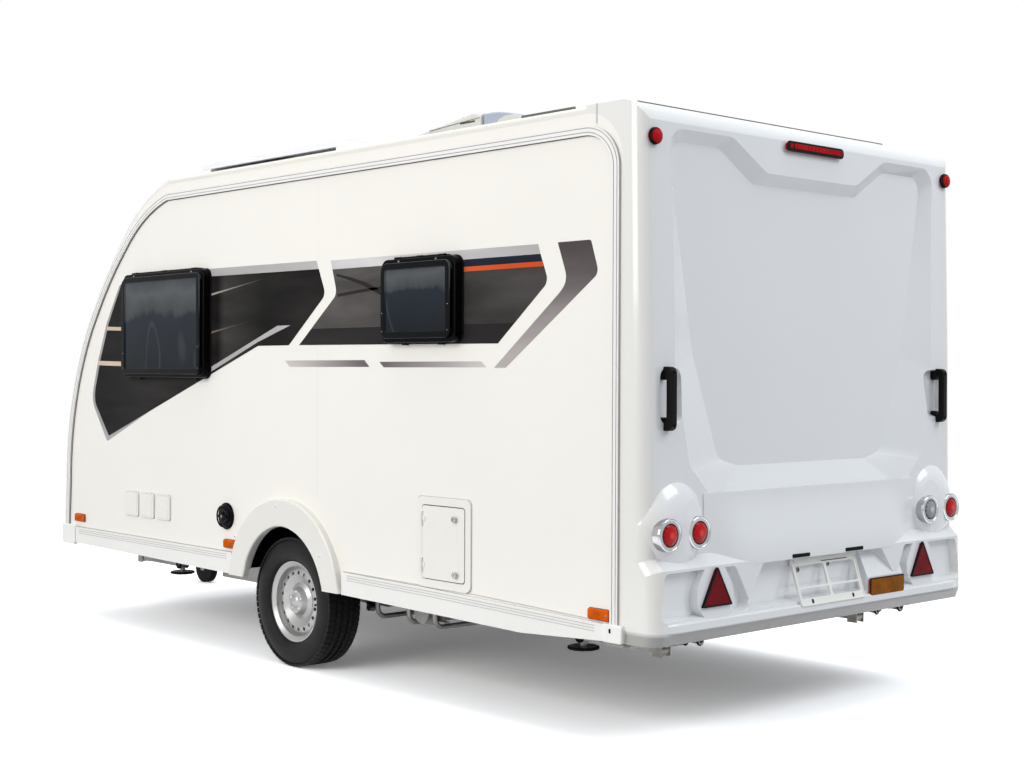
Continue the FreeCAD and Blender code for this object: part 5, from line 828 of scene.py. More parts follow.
def add_band(mesh: Shape, points: list[Vector], width: float, push: Vector, rounding: float = 0.0,
             soften: float = 0.0) -> None:
    """Add a closed flat band along the inside of an outline.

    Args:
        mesh: The shape that it joins.
        points: Corners of the outline.
        width: Width of the band.
        push: Thickness, as a vector.
        rounding: Radius of the outline's corners.
        soften: Width of the rounding along the outer face's edges.
    """
    inner = lay_face(mesh, points, rounding)
    ring = bmesh.ops.inset_region(
        mesh, faces=inner, thickness=width, depth=0.0, use_even_offset=True, use_boundary=True,
    )["faces"]
    bmesh.ops.delete(mesh, geom=inner, context="FACES_ONLY")
    made = bmesh.ops.extrude_face_region(mesh, geom=ring, use_keep_orig=True)["geom"]
    bmesh.ops.translate(mesh, vec=push, verts=[item for item in made if isinstance(item, bmesh.types.BMVert)])
    if soften:
        caps = {item for item in made if isinstance(item, bmesh.types.BMFace)}
        sides = {edge for cap in caps for edge in cap.edges}
        rims = [edge for edge in sides if any(face not in caps for face in edge.link_faces)]
        bmesh.ops.bevel(mesh, geom=rims, offset=soften, affect="EDGES", segments=3, profile=0.5, material=-1)


def wall_box(low_x: float, high_x: float, low_z: float, high_z: float, y: float) -> list[Vector]:
    """Corners of an upright rectangle along the caravan."""
    return [at(low_x, y, low_z), at(high_x, y, low_z), at(high_x, y, high_z), at(low_x, y, high_z)]


def tail_box(low_y: float, high_y: float, low_z: float, high_z: float, x: float) -> list[Vector]:
    """Corners of an upright rectangle across the caravan."""
    return [at(x, low_y, low_z), at(x, high_y, low_z), at(x, high_y, high_z), at(x, low_y, high_z)]


def small_box(spot: Vector, half_x: float, half_z: float) -> list[Vector]:
    """Corners of a small upright rectangle round a point, along the caravan."""
    return [spot + Vector((x, 0, z)) for x, z in (
        (-half_x, -half_z), (half_x, -half_z), (half_x, half_z), (-half_x, half_z))]


def add_screw(mesh: Shape, spot: Vector, out: Vector, radius: float, height: float) -> None:
    """Add a domed screw head."""
    line = [(0.0, height), (radius * 0.25, height), (radius * 0.6, height * 0.85),
            (radius * 0.9, height * 0.45), (radius, 0.0), (radius * 0.6, -0.001), (0.0, -0.001)]
    add_turned(mesh, spot, out, line, 18)


SILVER_FILM = Vinyl("film_silver", Axis.X, AXLE_X - 2.1, AXLE_X + 2.0, (
    (0.0, (0.42, 0.40, 0.40)), (0.35, (0.60, 0.58, 0.58)), (0.6, (0.42, 0.40, 0.40)),
    (1.0, (0.36, 0.35, 0.35)),
))
# Painted reflection: the lighter bands along this black film's gradient.
BLACK_FILM = Vinyl("film_black", Axis.X, AXLE_X - 1.9, AXLE_X + 2.0, (
    (0.0, (0.024, 0.022, 0.021)), (0.36, (0.016, 0.015, 0.014)), (0.44, (0.018, 0.016, 0.0155)),
    (0.54, (0.012, 0.0115, 0.011)), (0.60, (0.030, 0.028, 0.027)), (0.63, (0.040, 0.037, 0.035)),
    (0.645, (0.014, 0.013, 0.0125)), (0.72, (0.026, 0.024, 0.0235)), (1.0, (0.012, 0.0115, 0.011)),
), 0.2, 0.35)
DEEP_BLACK_FILM = Vinyl("film_deep_black", Axis.Z, 1.54, 1.64, (
    (0.0, (0.026, 0.024, 0.024)), (1.0, (0.024, 0.022, 0.022)),
))
NAVY_FILM = Vinyl("film_navy", Axis.Z, 1.87, 1.905, (
    (0.0, (0.013, 0.018, 0.028)), (1.0, (0.016, 0.024, 0.038)),
))
RED_FILM = Vinyl("film_red", Axis.X, AXLE_X - 1.8, AXLE_X - 1.3, (
    (0.0, (0.62, 0.075, 0.018)), (1.0, (0.60, 0.10, 0.03)),
))
SAND_FILM = Vinyl("film_sand", Axis.X, AXLE_X + 1.66, AXLE_X + 1.9, (
    (0.0, (0.60, 0.47, 0.36)), (1.0, (0.66, 0.55, 0.45)),
))
SMOKE_FILM = Vinyl("film_smoke", Axis.Z, 1.44, 1.95, (
    (0.0, (0.46, 0.42, 0.40)), (0.35, (0.36, 0.32, 0.315)), (0.62, (0.14, 0.12, 0.12)),
    (1.0, (0.075, 0.062, 0.062)),
))
LINE_FILM = Vinyl("film_line", Axis.X, AXLE_X - 1.46, AXLE_X + 0.02, (
    (0.0, (0.58, 0.55, 0.52)), (0.46, (0.16, 0.14, 0.14)), (0.53, (0.14, 0.12, 0.12)),
    (0.6, (0.16, 0.14, 0.14)), (1.0, (0.62, 0.58, 0.55)),
))
PALE_RAY_FILM = Vinyl("film_pale_line", Axis.X, AXLE_X + 0.19, AXLE_X + 0.68, (
    (0.0, (0.016, 0.015, 0.014)), (0.35, (0.10, 0.088, 0.078)), (1.0, (0.42, 0.36, 0.31)),
))
TAN_RAY_FILM = Vinyl("film_tan_line", Axis.X, AXLE_X + 0.30, AXLE_X + 0.68, (
    (0.0, (0.012, 0.011, 0.010)), (0.4, (0.060, 0.046, 0.036)), (1.0, (0.17, 0.125, 0.095)),
))
# Painted reflection: the black rear field is laid in grey that grows lighter towards the front.
DUSK_FILM = Vinyl("film_dusk", Axis.X, AXLE_X - 1.9, AXLE_X - 0.1, (
    (0.0, (0.062, 0.057, 0.054)), (0.3, (0.052, 0.048, 0.046)), (0.6, (0.075, 0.069, 0.066)),
    (0.85, (0.095, 0.088, 0.084)), (1.0, (0.080, 0.074, 0.071)),
), 0.2, 0.3)
CURVE_FILM = Vinyl("film_rear_curves", Axis.X, AXLE_X - 0.8, AXLE_X - 0.4, (
    (0.0, (0.024, 0.022, 0.021)), (1.0, (0.030, 0.028, 0.026)),
), 0.2, 0.1)


@dataclass
class SideGraphics:
    """Printed films along the side walls."""

    side: Side
    door_rear: float = -1.133
    door_front: float = -0.497
    wall_rear_of_door: float = -1.145
    wall_front_of_door: float = -0.450
    leaf_face: float = 1.054

    BASE = 0.0001
    OVER = 0.0005
    TOP = 0.0009
    FRONT_TOP = [(0.70, 1.918, 0.0), (-0.262, 1.912, 0.0), (-0.246, 1.952, 0.0), (0.70, 1.958, 0.0)]
    WEDGE = [
        (-0.03, 1.652, 0.0), (0.08, 1.652, 0.0), (0.72, 1.440, 0.0), (0.72, 1.415, 0.0), (0.25, 1.575, 0.0),
    ]
    FRONT_EDGE = [
        (1.648, 1.915, 0.02), (1.80, 1.70, 0.0), (1.895, 1.50, 0.0), (1.955, 1.33, 0.0),
        (1.966, 1.29, 0.03), (1.955, 1.235, 0.03), (1.79, 1.03, 0.012), (0.712, 1.438, 0.0),
        (0.072, 1.652, 0.0), (-0.03, 1.652, 0.0), (0.10, 1.602, 0.0), (0.70, 1.47, 0.0),
        (0.70, 1.956, 0.0),
    ]
    FRONT_BLACK = [
        (1.62, 1.93, 0.0), (1.775, 1.70, 0.0), (1.868, 1.50, 0.0), (1.93, 1.33, 0.0),
        (1.938, 1.29, 0.02), (1.93, 1.245, 0.02), (1.77, 1.062, 0.006), (0.248, 1.556, 0.0),
        (-0.018, 1.556, 0.0), (-0.318, 1.79, 0.03), (-0.264, 1.912, 0.0), (0.68, 1.918, 0.0),
    ]
    REAR_BLACK = [
        (-0.372, 1.905, 0.0), (-1.776, 1.902, 0.0), (-1.822, 1.79, 0.03), (-1.524, 1.548, 0.0),
        (-0.104, 1.556, 0.0), (-0.408, 1.79, 0.03),
    ]
    BOOMERANG = [
        (-1.874, 1.942, 0.0), (-2.058, 1.942, 0.01), (-2.10, 1.812, 0.025), (-1.572, 1.448, 0.0),
        (-1.50, 1.448, 0.0), (-1.896, 1.752, 0.02), (-1.930, 1.794, 0.035),
    ]

    def film(self, name: str, corners: list[Triple], look: Vinyl, lift: float) -> None:
        """Lay one film, cut where the entrance door stands in its way.

        Args:
            name: Name of the film.
            corners: Its corners (x, z, rounding).
            look: Its print.
            lift: Distance from the wall to its back.
        """
        tag = f"{self.side.name.lower()}_{name}"
        low, high = min(c[0] for c in corners), max(c[0] for c in corners)
        if self.side is Side.LEFT or low > self.wall_front_of_door or high < self.wall_rear_of_door:
            finish_piece(tag, sheet_on_wall(corners, self.side, lift), look)
            return
        spans = (
            ("fore", "caravan", WALL_Y, (self.wall_front_of_door, 9.0)),
            ("leaf", "entrance_door", self.leaf_face, (self.door_rear, self.door_front)),
            ("aft", "caravan", WALL_Y, (-9.0, self.wall_rear_of_door)),
        )
        for part, rider, plane, span in spans:
            if span[0] < high and span[1] > low:
                shape = sheet_on_wall(corners, self.side, lift, clip=span, plane=plane)
                if shape.faces:
                    finish_piece(f"{tag}_{part}", shape, look, rider)

    def front_films(self) -> None:
        """Lay the front field with its edge, wedge, lines and rays."""
        self.film("film_front_edge", self.FRONT_EDGE, SILVER_FILM, self.BASE)
        self.film("film_front_top", self.FRONT_TOP, SILVER_FILM, self.BASE)
        self.film("film_front_field", self.FRONT_BLACK, BLACK_FILM, self.OVER)
        self.film("film_front_wedge", self.WEDGE, SILVER_FILM, self.TOP)
        for name, look, corners in (
            ("film_front_line_a", SAND_FILM, [(1.79, 1.68), (1.63, 1.675), (1.63, 1.655), (1.80, 1.66)]),
            ("film_front_line_b", SAND_FILM, [(1.895, 1.487), (1.63, 1.482), (1.63, 1.457), (1.905, 1.462)]),
            ("film_front_ray", PALE_RAY_FILM,
             [(0.190, 1.889), (0.190, 1.886), (0.684, 1.819), (0.684, 1.829)]),
            ("film_front_tan", TAN_RAY_FILM,
             [(0.307, 1.683), (0.307, 1.679), (0.684, 1.624), (0.684, 1.634)]),
        ):
            self.film(name, [(x, z, 0.0) for x, z in corners], look, self.TOP)

    def rear_films(self) -> None:
        """Lay the rear field with its curves, edge and coloured bars."""
        self.film("film_rear_field", self.REAR_BLACK, DUSK_FILM, self.BASE)
        for name, corners in (
            ("film_rear_curve_a", [
                (-0.405, 1.884), (-0.52, 1.862), (-0.63, 1.834), (-0.74, 1.796), (-0.80, 1.772),
                (-0.80, 1.752), (-0.73, 1.776), (-0.60, 1.824), (-0.47, 1.858), (-0.405, 1.872),
            ]),
            ("film_rear_curve_b", [
                (-0.415, 1.790), (-0.57, 1.803), (-0.73, 1.812), (-0.80, 1.812),
                (-0.80, 1.803), (-0.70, 1.798), (-0.55, 1.786), (-0.412, 1.776),
            ]),
        ):
            self.film(name, [(x, z, 0.0) for x, z in corners], CURVE_FILM, self.OVER)
        for name, look, lift, corners in (
            ("film_rear_top", SILVER_FILM, self.BASE,
             [(-0.372, 1.905), (-0.358, 1.947), (-1.762, 1.942), (-1.776, 1.902)]),
            ("film_rear_low", DEEP_BLACK_FILM, self.OVER,
             [(-0.205, 1.632), (-1.622, 1.63), (-1.524, 1.548), (-0.104, 1.556)]),
            ("film_rear_navy", NAVY_FILM, self.OVER,
             [(-1.25, 1.9025), (-1.776, 1.902), (-1.787, 1.872), (-1.25, 1.872)]),
            ("film_rear_red", RED_FILM, self.TOP,
             [(-1.25, 1.872), (-1.787, 1.872), (-1.794, 1.852), (-1.25, 1.852)]),
        ):
            self.film(name, [(x, z, 0.0) for x, z in corners], look, lift)

    def line_films(self) -> None:
        """Lay the angled blade at the rear and the two thin lines below the fields."""
        self.film("film_boomerang", self.BOOMERANG, SMOKE_FILM, self.BASE)
        for name, corners in (
            ("film_line_front", [(0.014, 1.483), (-0.62, 1.483), (-0.658, 1.452), (-0.024, 1.452)]),
            ("film_line_rear", [(-0.73, 1.475), (-1.422, 1.475), (-1.454, 1.45), (-0.762, 1.45)]),
        ):
            self.film(name, [(x, z, 0.0) for x, z in corners], LINE_FILM, self.BASE)

    def build(self) -> None:
        """Lay all the films of this side."""
        self.front_films()
        self.rear_films()
        self.line_films()


@dataclass
class RoadWheel:
    """Tyre with tread blocks, and the small parts of one road wheel."""

    side: Side
    centre_y: float = 0.9265
    centre_z: float = 0.314
    radius: float = 0.314
    pitches: int = 66

    PROFILE = (
        (0.074, 0.1965), (0.082, 0.203), (0.0895, 0.208), (0.0945, 0.222), (0.0972, 0.240), (0.0968, 0.243),
        (0.0968, 0.2455), (0.0973, 0.2485), (0.0968, 0.262), (0.0945, 0.277), (0.0905, 0.290),
        (0.0855, 0.3005), (0.078, 0.3065), (0.060, 0.3072), (0.030, 0.3075), (0.0, 0.3075),
    )
    ROWS = ((-0.0715, 0.019), (-0.0385, 0.0115), (0.0, 0.0115), (0.0385, 0.0115), (0.0715, 0.019))

    @property
    def centre(self) -> Vector:
        """Middle of the wheel."""
        return at(0.0, self.side.value * self.centre_y, self.centre_z)

    def tyre(self) -> None:
        """Spin the carcass, set the tread blocks on it and replace the plain tyre."""
        mesh = bmesh.new()
        half = list(self.PROFILE)
        line = half + [(-u, v) for u, v in half[-2::-1]]
        verts = [mesh.verts.new((0, u, v)) for u, v in line]
        edges = [mesh.edges.new(pair) for pair in zip(verts, verts[1:])]
        inner = [mesh.verts.new((0, -0.06, 0.180)), mesh.verts.new((0, 0.06, 0.180))]
        edges += [mesh.edges.new((verts[-1], inner[0])), mesh.edges.new(inner),
                  mesh.edges.new((inner[1], verts[0]))]
        bmesh.ops.spin(
            mesh, geom=verts + inner + edges, cent=(0, 0, 0), axis=(0, 1, 0), angle=math.tau, steps=112,
            use_merge=True,
        )
        for row, (offset, half_row) in enumerate(self.ROWS):
            for step in range(self.pitches):
                turn = (step + (0.5 if row % 2 else 0.0)) * math.tau / self.pitches
                self.block(mesh, offset, half_row, turn, row in (0, 4))
        bmesh.ops.translate(mesh, vec=self.centre, verts=mesh.verts)
        name = self.side.name.lower()
        tyre = finish_piece(f"{name}_tyre_tread", mesh, TyreRubber(), f"{name}_wheel", 40.0)
        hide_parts(f"{name}_tyre")

    def block(self, mesh: Shape, offset: float, half_row: float, turn: float,
              shoulder: bool) -> None:
        """Add one tread block.

        Args:
            mesh: The tyre's shape.
            offset: Place of its row across the tyre.
            half_row: Half the row's width.
            turn: Angle round the wheel.
            shoulder: Whether the row is an outer one.
        """
        length = math.tau * self.radius / self.pitches - (0.0042 if shoulder else 0.0035)
        made = bmesh.ops.create_cube(mesh, size=1.0)["verts"]
        bmesh.ops.scale(mesh, vec=(length, half_row * 2, 0.013), verts=made)
        for vert in made:
            if vert.co.z > 0:
                vert.co.y *= 0.94
                vert.co.z -= 0.0018 if shoulder and vert.co.y * offset > 0 else 0.0
            vert.co.x += vert.co.y * (0.18 if offset >= 0 else -0.18)
        bmesh.ops.translate(mesh, vec=(0, offset, self.radius - 0.0068), verts=made)
        bmesh.ops.rotate(mesh, cent=(0, 0, 0), matrix=Matrix.Rotation(turn, 3, "Y"), verts=made)

    def fittings(self) -> None:
        """Hub bosses, wheel bolts and the valve."""
        name = self.side.name.lower()
        out = Vector((0, self.side.value, 0))
        mesh = bmesh.new()
        hub = self.centre + out * 0.066
        add_dome(mesh, hub, out, 0.034, 0.016)
        for index in range(5):
            spot = Matrix.Rotation(index * math.tau / 5, 4, "Y") @ Vector((0, 0, 0.043))
            add_dome(mesh, hub + spot - out * 0.006, out, 0.0165, 0.015, 18)
        finish_piece(f"{name}_hub_bosses", mesh, WHEEL_SILVER, f"{name}_wheel")
        mesh = bmesh.new()
        spot = Matrix.Rotation(-math.pi / 2 * self.side.value, 4, "Y") @ Vector((0, 0, 0.163))
        foot = self.centre + spot + out * 0.040
        add_rod(mesh, foot, foot + out * 0.020, 0.0045, 14)
        add_rod(mesh, foot + out * 0.020, foot + out * 0.030, 0.0055, 14, 0.0048)
        finish_piece(f"{name}_valve", mesh, BLACK_RUBBER, f"{name}_wheel")

    def build(self) -> None:
        """Make the tyre and the fittings."""
        self.tyre()
        self.fittings()


@dataclass(frozen=True)
class TyreRubber(Look):
    """Tyre rubber with a mottled dark tone and a fine grain."""

    name: str = "tyre_rubber"
    slot: str = "tyre_black"

    def make(self) -> bpy.types.Material:
        """Make the material.

        Returns:
            The finished material.
        """
        nodes = Nodes(self.name)
        broad = nodes.noise(9.0, 4.0)
        colour = nodes.ramp(broad, [(0.3, (0.007, 0.007, 0.0075)), (0.7, (0.013, 0.013, 0.0135))])
        nodes.link(colour, nodes.shader.inputs["Base Color"])
        fine = nodes.noise(420.0, 4.0)
        nodes.link(nodes.spread(fine, 0.3, 0.7, 0.42, 0.6), nodes.shader.inputs["Roughness"])
        nodes.bump(fine, 0.2, 0.0004)
        nodes.set(Specular_IOR_Level=0.12)
        return nodes.material


@dataclass
class Dressing:
    """Finishes of the CAD pieces themselves."""

    looks: dict[str, Look] = field(default_factory=lambda: {
        "left_wall": SIDE_SKIN, "right_wall": SIDE_SKIN, "entrance_door": SIDE_SKIN,
        "front_panel": MOULDED_WHITE, "rear_panel": MOULDED_WHITE, "gas_locker_lid": MOULDED_WHITE,
        "roof_panel": ROOF_WHITE, "edge_rails": RAIL_WHITE, "skirt_rails": SKIRT_WHITE,
        "wheel_arches": ARCH_WHITE, "cassette_frame": LID_WHITE, "cassette_door": LID_WHITE,
        "service_hatches": LID_WHITE, "plate_holder": TRIM_WHITE, "air_conditioner": COOLER_WHITE,
        "solar_mounts": TRIM_WHITE, "rooflight_frame": TRIM_WHITE, "rooflight_lid": Acrylic(),
        "window_frames": BLACK_GLOSS, "window_panes": Acrylic(), "door_window": Acrylic(),
        "solar_panel": SolarCells(), "filler_cap": BLACK_PLASTIC, "grab_handles": BLACK_PLASTIC,
        "door_handle": BLACK_PLASTIC, "left_rim": WHEEL_SILVER, "right_rim": WHEEL_SILVER,
        "left_tyre": TyreRubber(), "right_tyre": TyreRubber(), "jockey_wheel": BLACK_RUBBER,
        "lamp_bezels": CHROME, "steady_brackets": BRACKET_STEEL, "red_lamps": RED_LENS,
        "clear_lamp": CLEAR_LENS,
        "triangle_reflectors": RED_LENS, "amber_lamps": AMBER_LENS, "axle_beam": AXLE_STEEL,
        "floor_panel": FLOOR_BOARD, "wheel_boxes": BLACK_PLASTIC, "locker_bulkhead": FLOOR_BOARD,
        "skirt_caps": TRIM_WHITE, "underfloor_tank": BLACK_PLASTIC, "lid_hinge_rail": TRIM_WHITE,
        "door_hinge_strip": TRIM_WHITE, "handbrake_lever": BLACK_PLASTIC, "swing_arms": AXLE_STEEL,
    })

    def build(self) -> None:
        """Give each CAD node its material; steel is the rest."""
        for name, item in frame["nodes"].items():
            look = self.looks.get(name, GALVANISED)
            item.data.materials.clear()
            item.data.materials.append(look.build())


@dataclass(frozen=True)
class RoundLens(Look):
    """Round lamp lens with pressed rings: a painted reflection bright in the middle and painted shade at its
    dark edge.
    """

    centre: Triple
    painted_reflection: Colour
    body: Colour
    edge: Colour
    slot: str = "lamp_red"
    radius: float = 0.044

    def make(self) -> bpy.types.Material:
        """Make the material.

        Returns:
            The finished material.
        """
        nodes = Nodes(self.name)
        shift = tuple(-value for value in self.centre)
        place = nodes.mapped(shift=shift)
        length = nodes.add("VectorMath")
        length.operation = "LENGTH"
        nodes.link(place, length.inputs[0])
        away = nodes.spread(length.outputs["Value"], 0.0, self.radius)
        rings = nodes.math("MULTIPLY", nodes.math("SINE", nodes.math("MULTIPLY", away, 62.0)), 0.05)
        spokes = nodes.add("TexGradient")
        spokes.gradient_type = "RADIAL"
        turned = nodes.add("Mapping")
        turned.inputs["Rotation"].default_value = (0.0, math.pi / 2, 0.0)
        nodes.link(place, turned.inputs["Vector"])
        nodes.link(turned.outputs["Vector"], spokes.inputs["Vector"])
        turns = nodes.math("MULTIPLY", spokes.outputs["Fac"], 75.4)
        facets = nodes.math("MULTIPLY", nodes.math("SINE", turns), 0.07)
        value = nodes.math("ADD", nodes.math("ADD", away, rings), facets)
        # Painted reflection in the middle, the lens body, then painted shade at the edge.
        colour = nodes.ramp(value, [
            (0.0, self.painted_reflection), (0.22, self.painted_reflection), (0.34, self.body), (0.78, self.body), (1.0, self.edge),
        ])
        nodes.link(colour, nodes.shader.inputs["Base Color"])
        nodes.bump(nodes.math("ADD", rings, facets), 0.35, 0.002)
        nodes.set(Roughness=0.12, Coat_Weight=0.04, Coat_Roughness=0.02, Specular_IOR_Level=0.10)
        return nodes.material


@dataclass
class RearLamps:
    """Round lamps, markers, brake lamp and reflectors on the rear moulding."""

    lamp_face: float = -2.390
    lamp_z: float = 0.822
    lamp_y: tuple[float, ...] = (0.958, 0.790, -0.790, -0.958)
    clear_lamp: int = 2
    marker_face: float = -2.342
    marker_y: float = 0.985
    marker_z: float = 2.318
    pad_y: float = 0.704
    triangle: float = 0.170
    triangle_low: float = 0.5369
    triangle_face: float = -2.406
    brake_face: float = -2.3325

    def round_lamp(self, index: int, y: float) -> None:
        """Collar, gasket and lens of one round lamp.

        Args:
            index: Number of the lamp, from the left.
            y: Its place across the tail.
        """
        back = Vector((-1, 0, 0))
        spot = at(self.lamp_face, y, self.lamp_z)
        mesh = bmesh.new()
        add_ring(mesh, spot - back * 0.0015, back, 0.0588, 0.0052, 64, 14)
        finish_piece(f"lamp_ring_{index}", mesh, CHROME)
        mesh = bmesh.new()
        add_turned(mesh, spot, back, [
            (0.0560, -0.004), (0.0560, 0.0012), (0.0520, -0.0005), (0.0455, -0.0035), (0.0455, -0.004),
        ], 56)
        finish_piece(f"lamp_collar_{index}", mesh, LAMP_GREY)
        mesh = bmesh.new()
        add_ring(mesh, spot - back * 0.0022, back, 0.0448, 0.0018, 48, 8)
        finish_piece(f"lamp_gasket_{index}", mesh, DARK_GAP)
        mesh = bmesh.new()
        add_turned(mesh, spot, back, [
            (0.0, 0.0100), (0.014, 0.0093), (0.026, 0.0070), (0.036, 0.0035), (0.042, -0.0005),
            (0.0436, -0.0030), (0.0436, -0.0038), (0.0, -0.0038),
        ], 48)
        # Tones of each lens: painted reflection in the middle, the lens body, painted shade at the edge.
        if index == self.clear_lamp:
            tones, slot = ((0.62, 0.63, 0.64), (0.30, 0.31, 0.32), (0.10, 0.10, 0.11)), "lamp_clear"
        else:
            tones, slot = ((0.80, 0.055, 0.045), (0.50, 0.004, 0.008), (0.08, 0.001, 0.003)), "lamp_red"
        look = RoundLens(f"round_lens_{index}", tuple(spot + back * 0.006), *tones, slot)
        finish_piece(f"lamp_lens_{index}", mesh, look)

    def markers(self) -> None:
        """Domed markers in black rims near the top corners."""
        back = Vector((-1, 0, 0))
        rims, lenses = bmesh.new(), bmesh.new()
        for side in (1, -1):
            spot = at(self.marker_face, side * self.marker_y, self.marker_z)
            add_ring(rims, spot - back * 0.006, back, 0.0278, 0.0036, 40, 8)
            add_ring(rims, spot - back * 0.016, back, 0.0295, 0.0036, 40, 8)
            add_turned(lenses, spot, back, [
                (0.0, 0.0065), (0.010, 0.0060), (0.019, 0.0038), (0.0255, -0.001), (0.0255, -0.004),
                (0.0, -0.004),
            ], 36)
        finish_piece("marker_rims", rims, BLACK_RUBBER)
        finish_piece("marker_lenses", lenses, RED_LENS)

    def brake_lamp(self) -> None:
        """Black surround, red bar and its row of lights."""
        face = self.brake_face
        mesh = bmesh.new()
        add_plate(mesh, tail_box(-0.194, 0.194, 2.3405, 2.3835, face), Vector((-0.0045, 0, 0)), 0.019, 0.0014)
        finish_piece("brake_surround", mesh, BLACK_PLASTIC)
        mesh = bmesh.new()
        add_plate(mesh, tail_box(-0.180, 0.150, 2.3525, 2.3735, face - 0.0040), Vector((-0.0035, 0, 0)),
                  0.008, 0.0012)
        add_plate(mesh, tail_box(0.158, 0.176, 2.3545, 2.3725, face - 0.0040), Vector((-0.0028, 0, 0)),
                  0.006, 0.001)
        finish_piece("brake_bar", mesh, RED_LENS)
        mesh = bmesh.new()
        for step in range(13):
            y = -0.164 + step * 0.0247
            add_plate(mesh, tail_box(y - 0.0014, y + 0.0014, 2.356, 2.370, face - 0.0072),
                      Vector((-0.0009, 0, 0)))
        finish_piece("brake_dividers", mesh, DARK_RED_LENS)

    def triangles(self) -> None:
        """Black edging and a pressed face on each triangle."""
        edging, faces = bmesh.new(), bmesh.new()
        rise = self.triangle * 0.866
        for side in (1, -1):
            middle = side * self.pad_y
            half = self.triangle / 2

            def corners(grow: float, x: float, centre: float = middle, wide: float = half) -> list[Vector]:
                """Triangle corners, moved out from its edges."""
                low = self.triangle_low - grow
                return [
                    at(x, centre - wide - grow * 1.73, low), at(x, centre + wide + grow * 1.73, low),
                    at(x, centre, self.triangle_low + rise + grow * 2),
                ]

            add_band(edging, corners(0.0022, self.triangle_face + 0.008), 0.0062, Vector((-0.0105, 0, 0)),
                     0.008)
            add_plate(faces, corners(-0.0048, self.triangle_face + 0.002), Vector((-0.0040, 0, 0)), 0.004,
                      0.001)
        finish_piece("triangle_edging", edging, BLACK_PLASTIC)
        finish_piece("triangle_faces", faces, DARK_RED_LENS)

    def rear_amber(self) -> None:
        """Brown reflector in its black tray, on the raised box."""
        mesh = bmesh.new()
        add_plate(mesh, tail_box(-0.549, -0.296, 0.476, 0.556, -2.4085), Vector((-0.0035, 0, 0)), 0.007,
                  0.001)
        finish_piece("amber_tray", mesh, BLACK_PLASTIC)
        mesh = bmesh.new()
        add_plate(mesh, tail_box(-0.543, -0.302, 0.482, 0.550, -2.4110), Vector((-0.0030, 0, 0)), 0.005,
                  0.0012)
        finish_piece("amber_plate", mesh, BROWN_LENS)
        mesh = bmesh.new()
        for z in (0.500, 0.532):
            add_ring(mesh, at(-2.4142, -0.325, z), Vector((-1, 0, 0)), 0.0050, 0.0010, 20, 6)
        add_ring(mesh, at(-2.4140, -0.430, 0.512), Vector((-1, 0, 0)), 0.0200, 0.0007, 36, 6)
        finish_piece("amber_marks", mesh, AMBER_LENS)

    def build(self) -> None:
        """Make all the rear lamps."""
        for index, y in enumerate(self.lamp_y):
            self.round_lamp(index, y)
        self.markers()
        self.brake_lamp()
        self.triangles()
        self.rear_amber()


@dataclass
class SideMarkers:
    """Inner lens, screw and tray edge of the amber side markers."""

    side: Side
    places: tuple[tuple[float, float], ...] = ((2.160, 0.596), (0.546, 0.577), (-2.058, 0.526))
    length: float = 0.112
    height: float = 0.042
    face: float = 1.064

    def build(self) -> None:
        """Make the parts on the three markers."""
        sign = self.side.value
        trays, lenses, screws = bmesh.new(), bmesh.new(), bmesh.new()
        out = Vector((0, sign, 0))
        for front, top in self.places:
            low_x, low_z = front - self.length, top - self.height
            add_band(trays, wall_box(low_x - 0.002, front + 0.002, low_z - 0.002, top + 0.002, sign * SEAT_Y),
                     0.004, out * 0.004, 0.009)
            prism = wall_box(low_x + 0.026, front - 0.010, low_z + 0.009, top - 0.009,
                             sign * (self.face - 0.001))
            add_plate(lenses, prism, out * 0.0026, 0.006, 0.001)
            for step in range(7):
                x, y = low_x + 0.034 + step * 0.010, sign * (self.face + 0.0014)
                add_rod(lenses, at(x, y, low_z + 0.012), at(x, y, top - 0.012), 0.0012, 8)
            add_screw(screws, at(low_x + 0.013, sign * self.face, low_z + self.height / 2), out, 0.0042,
                      0.0016)
        tag = self.side.name.lower()
        finish_piece(f"{tag}_marker_trays", trays, GAP_LINE)
        finish_piece(f"{tag}_marker_prisms", lenses, AMBER_LENS)
        finish_piece(f"{tag}_marker_screws", screws, SCREW_GREY)


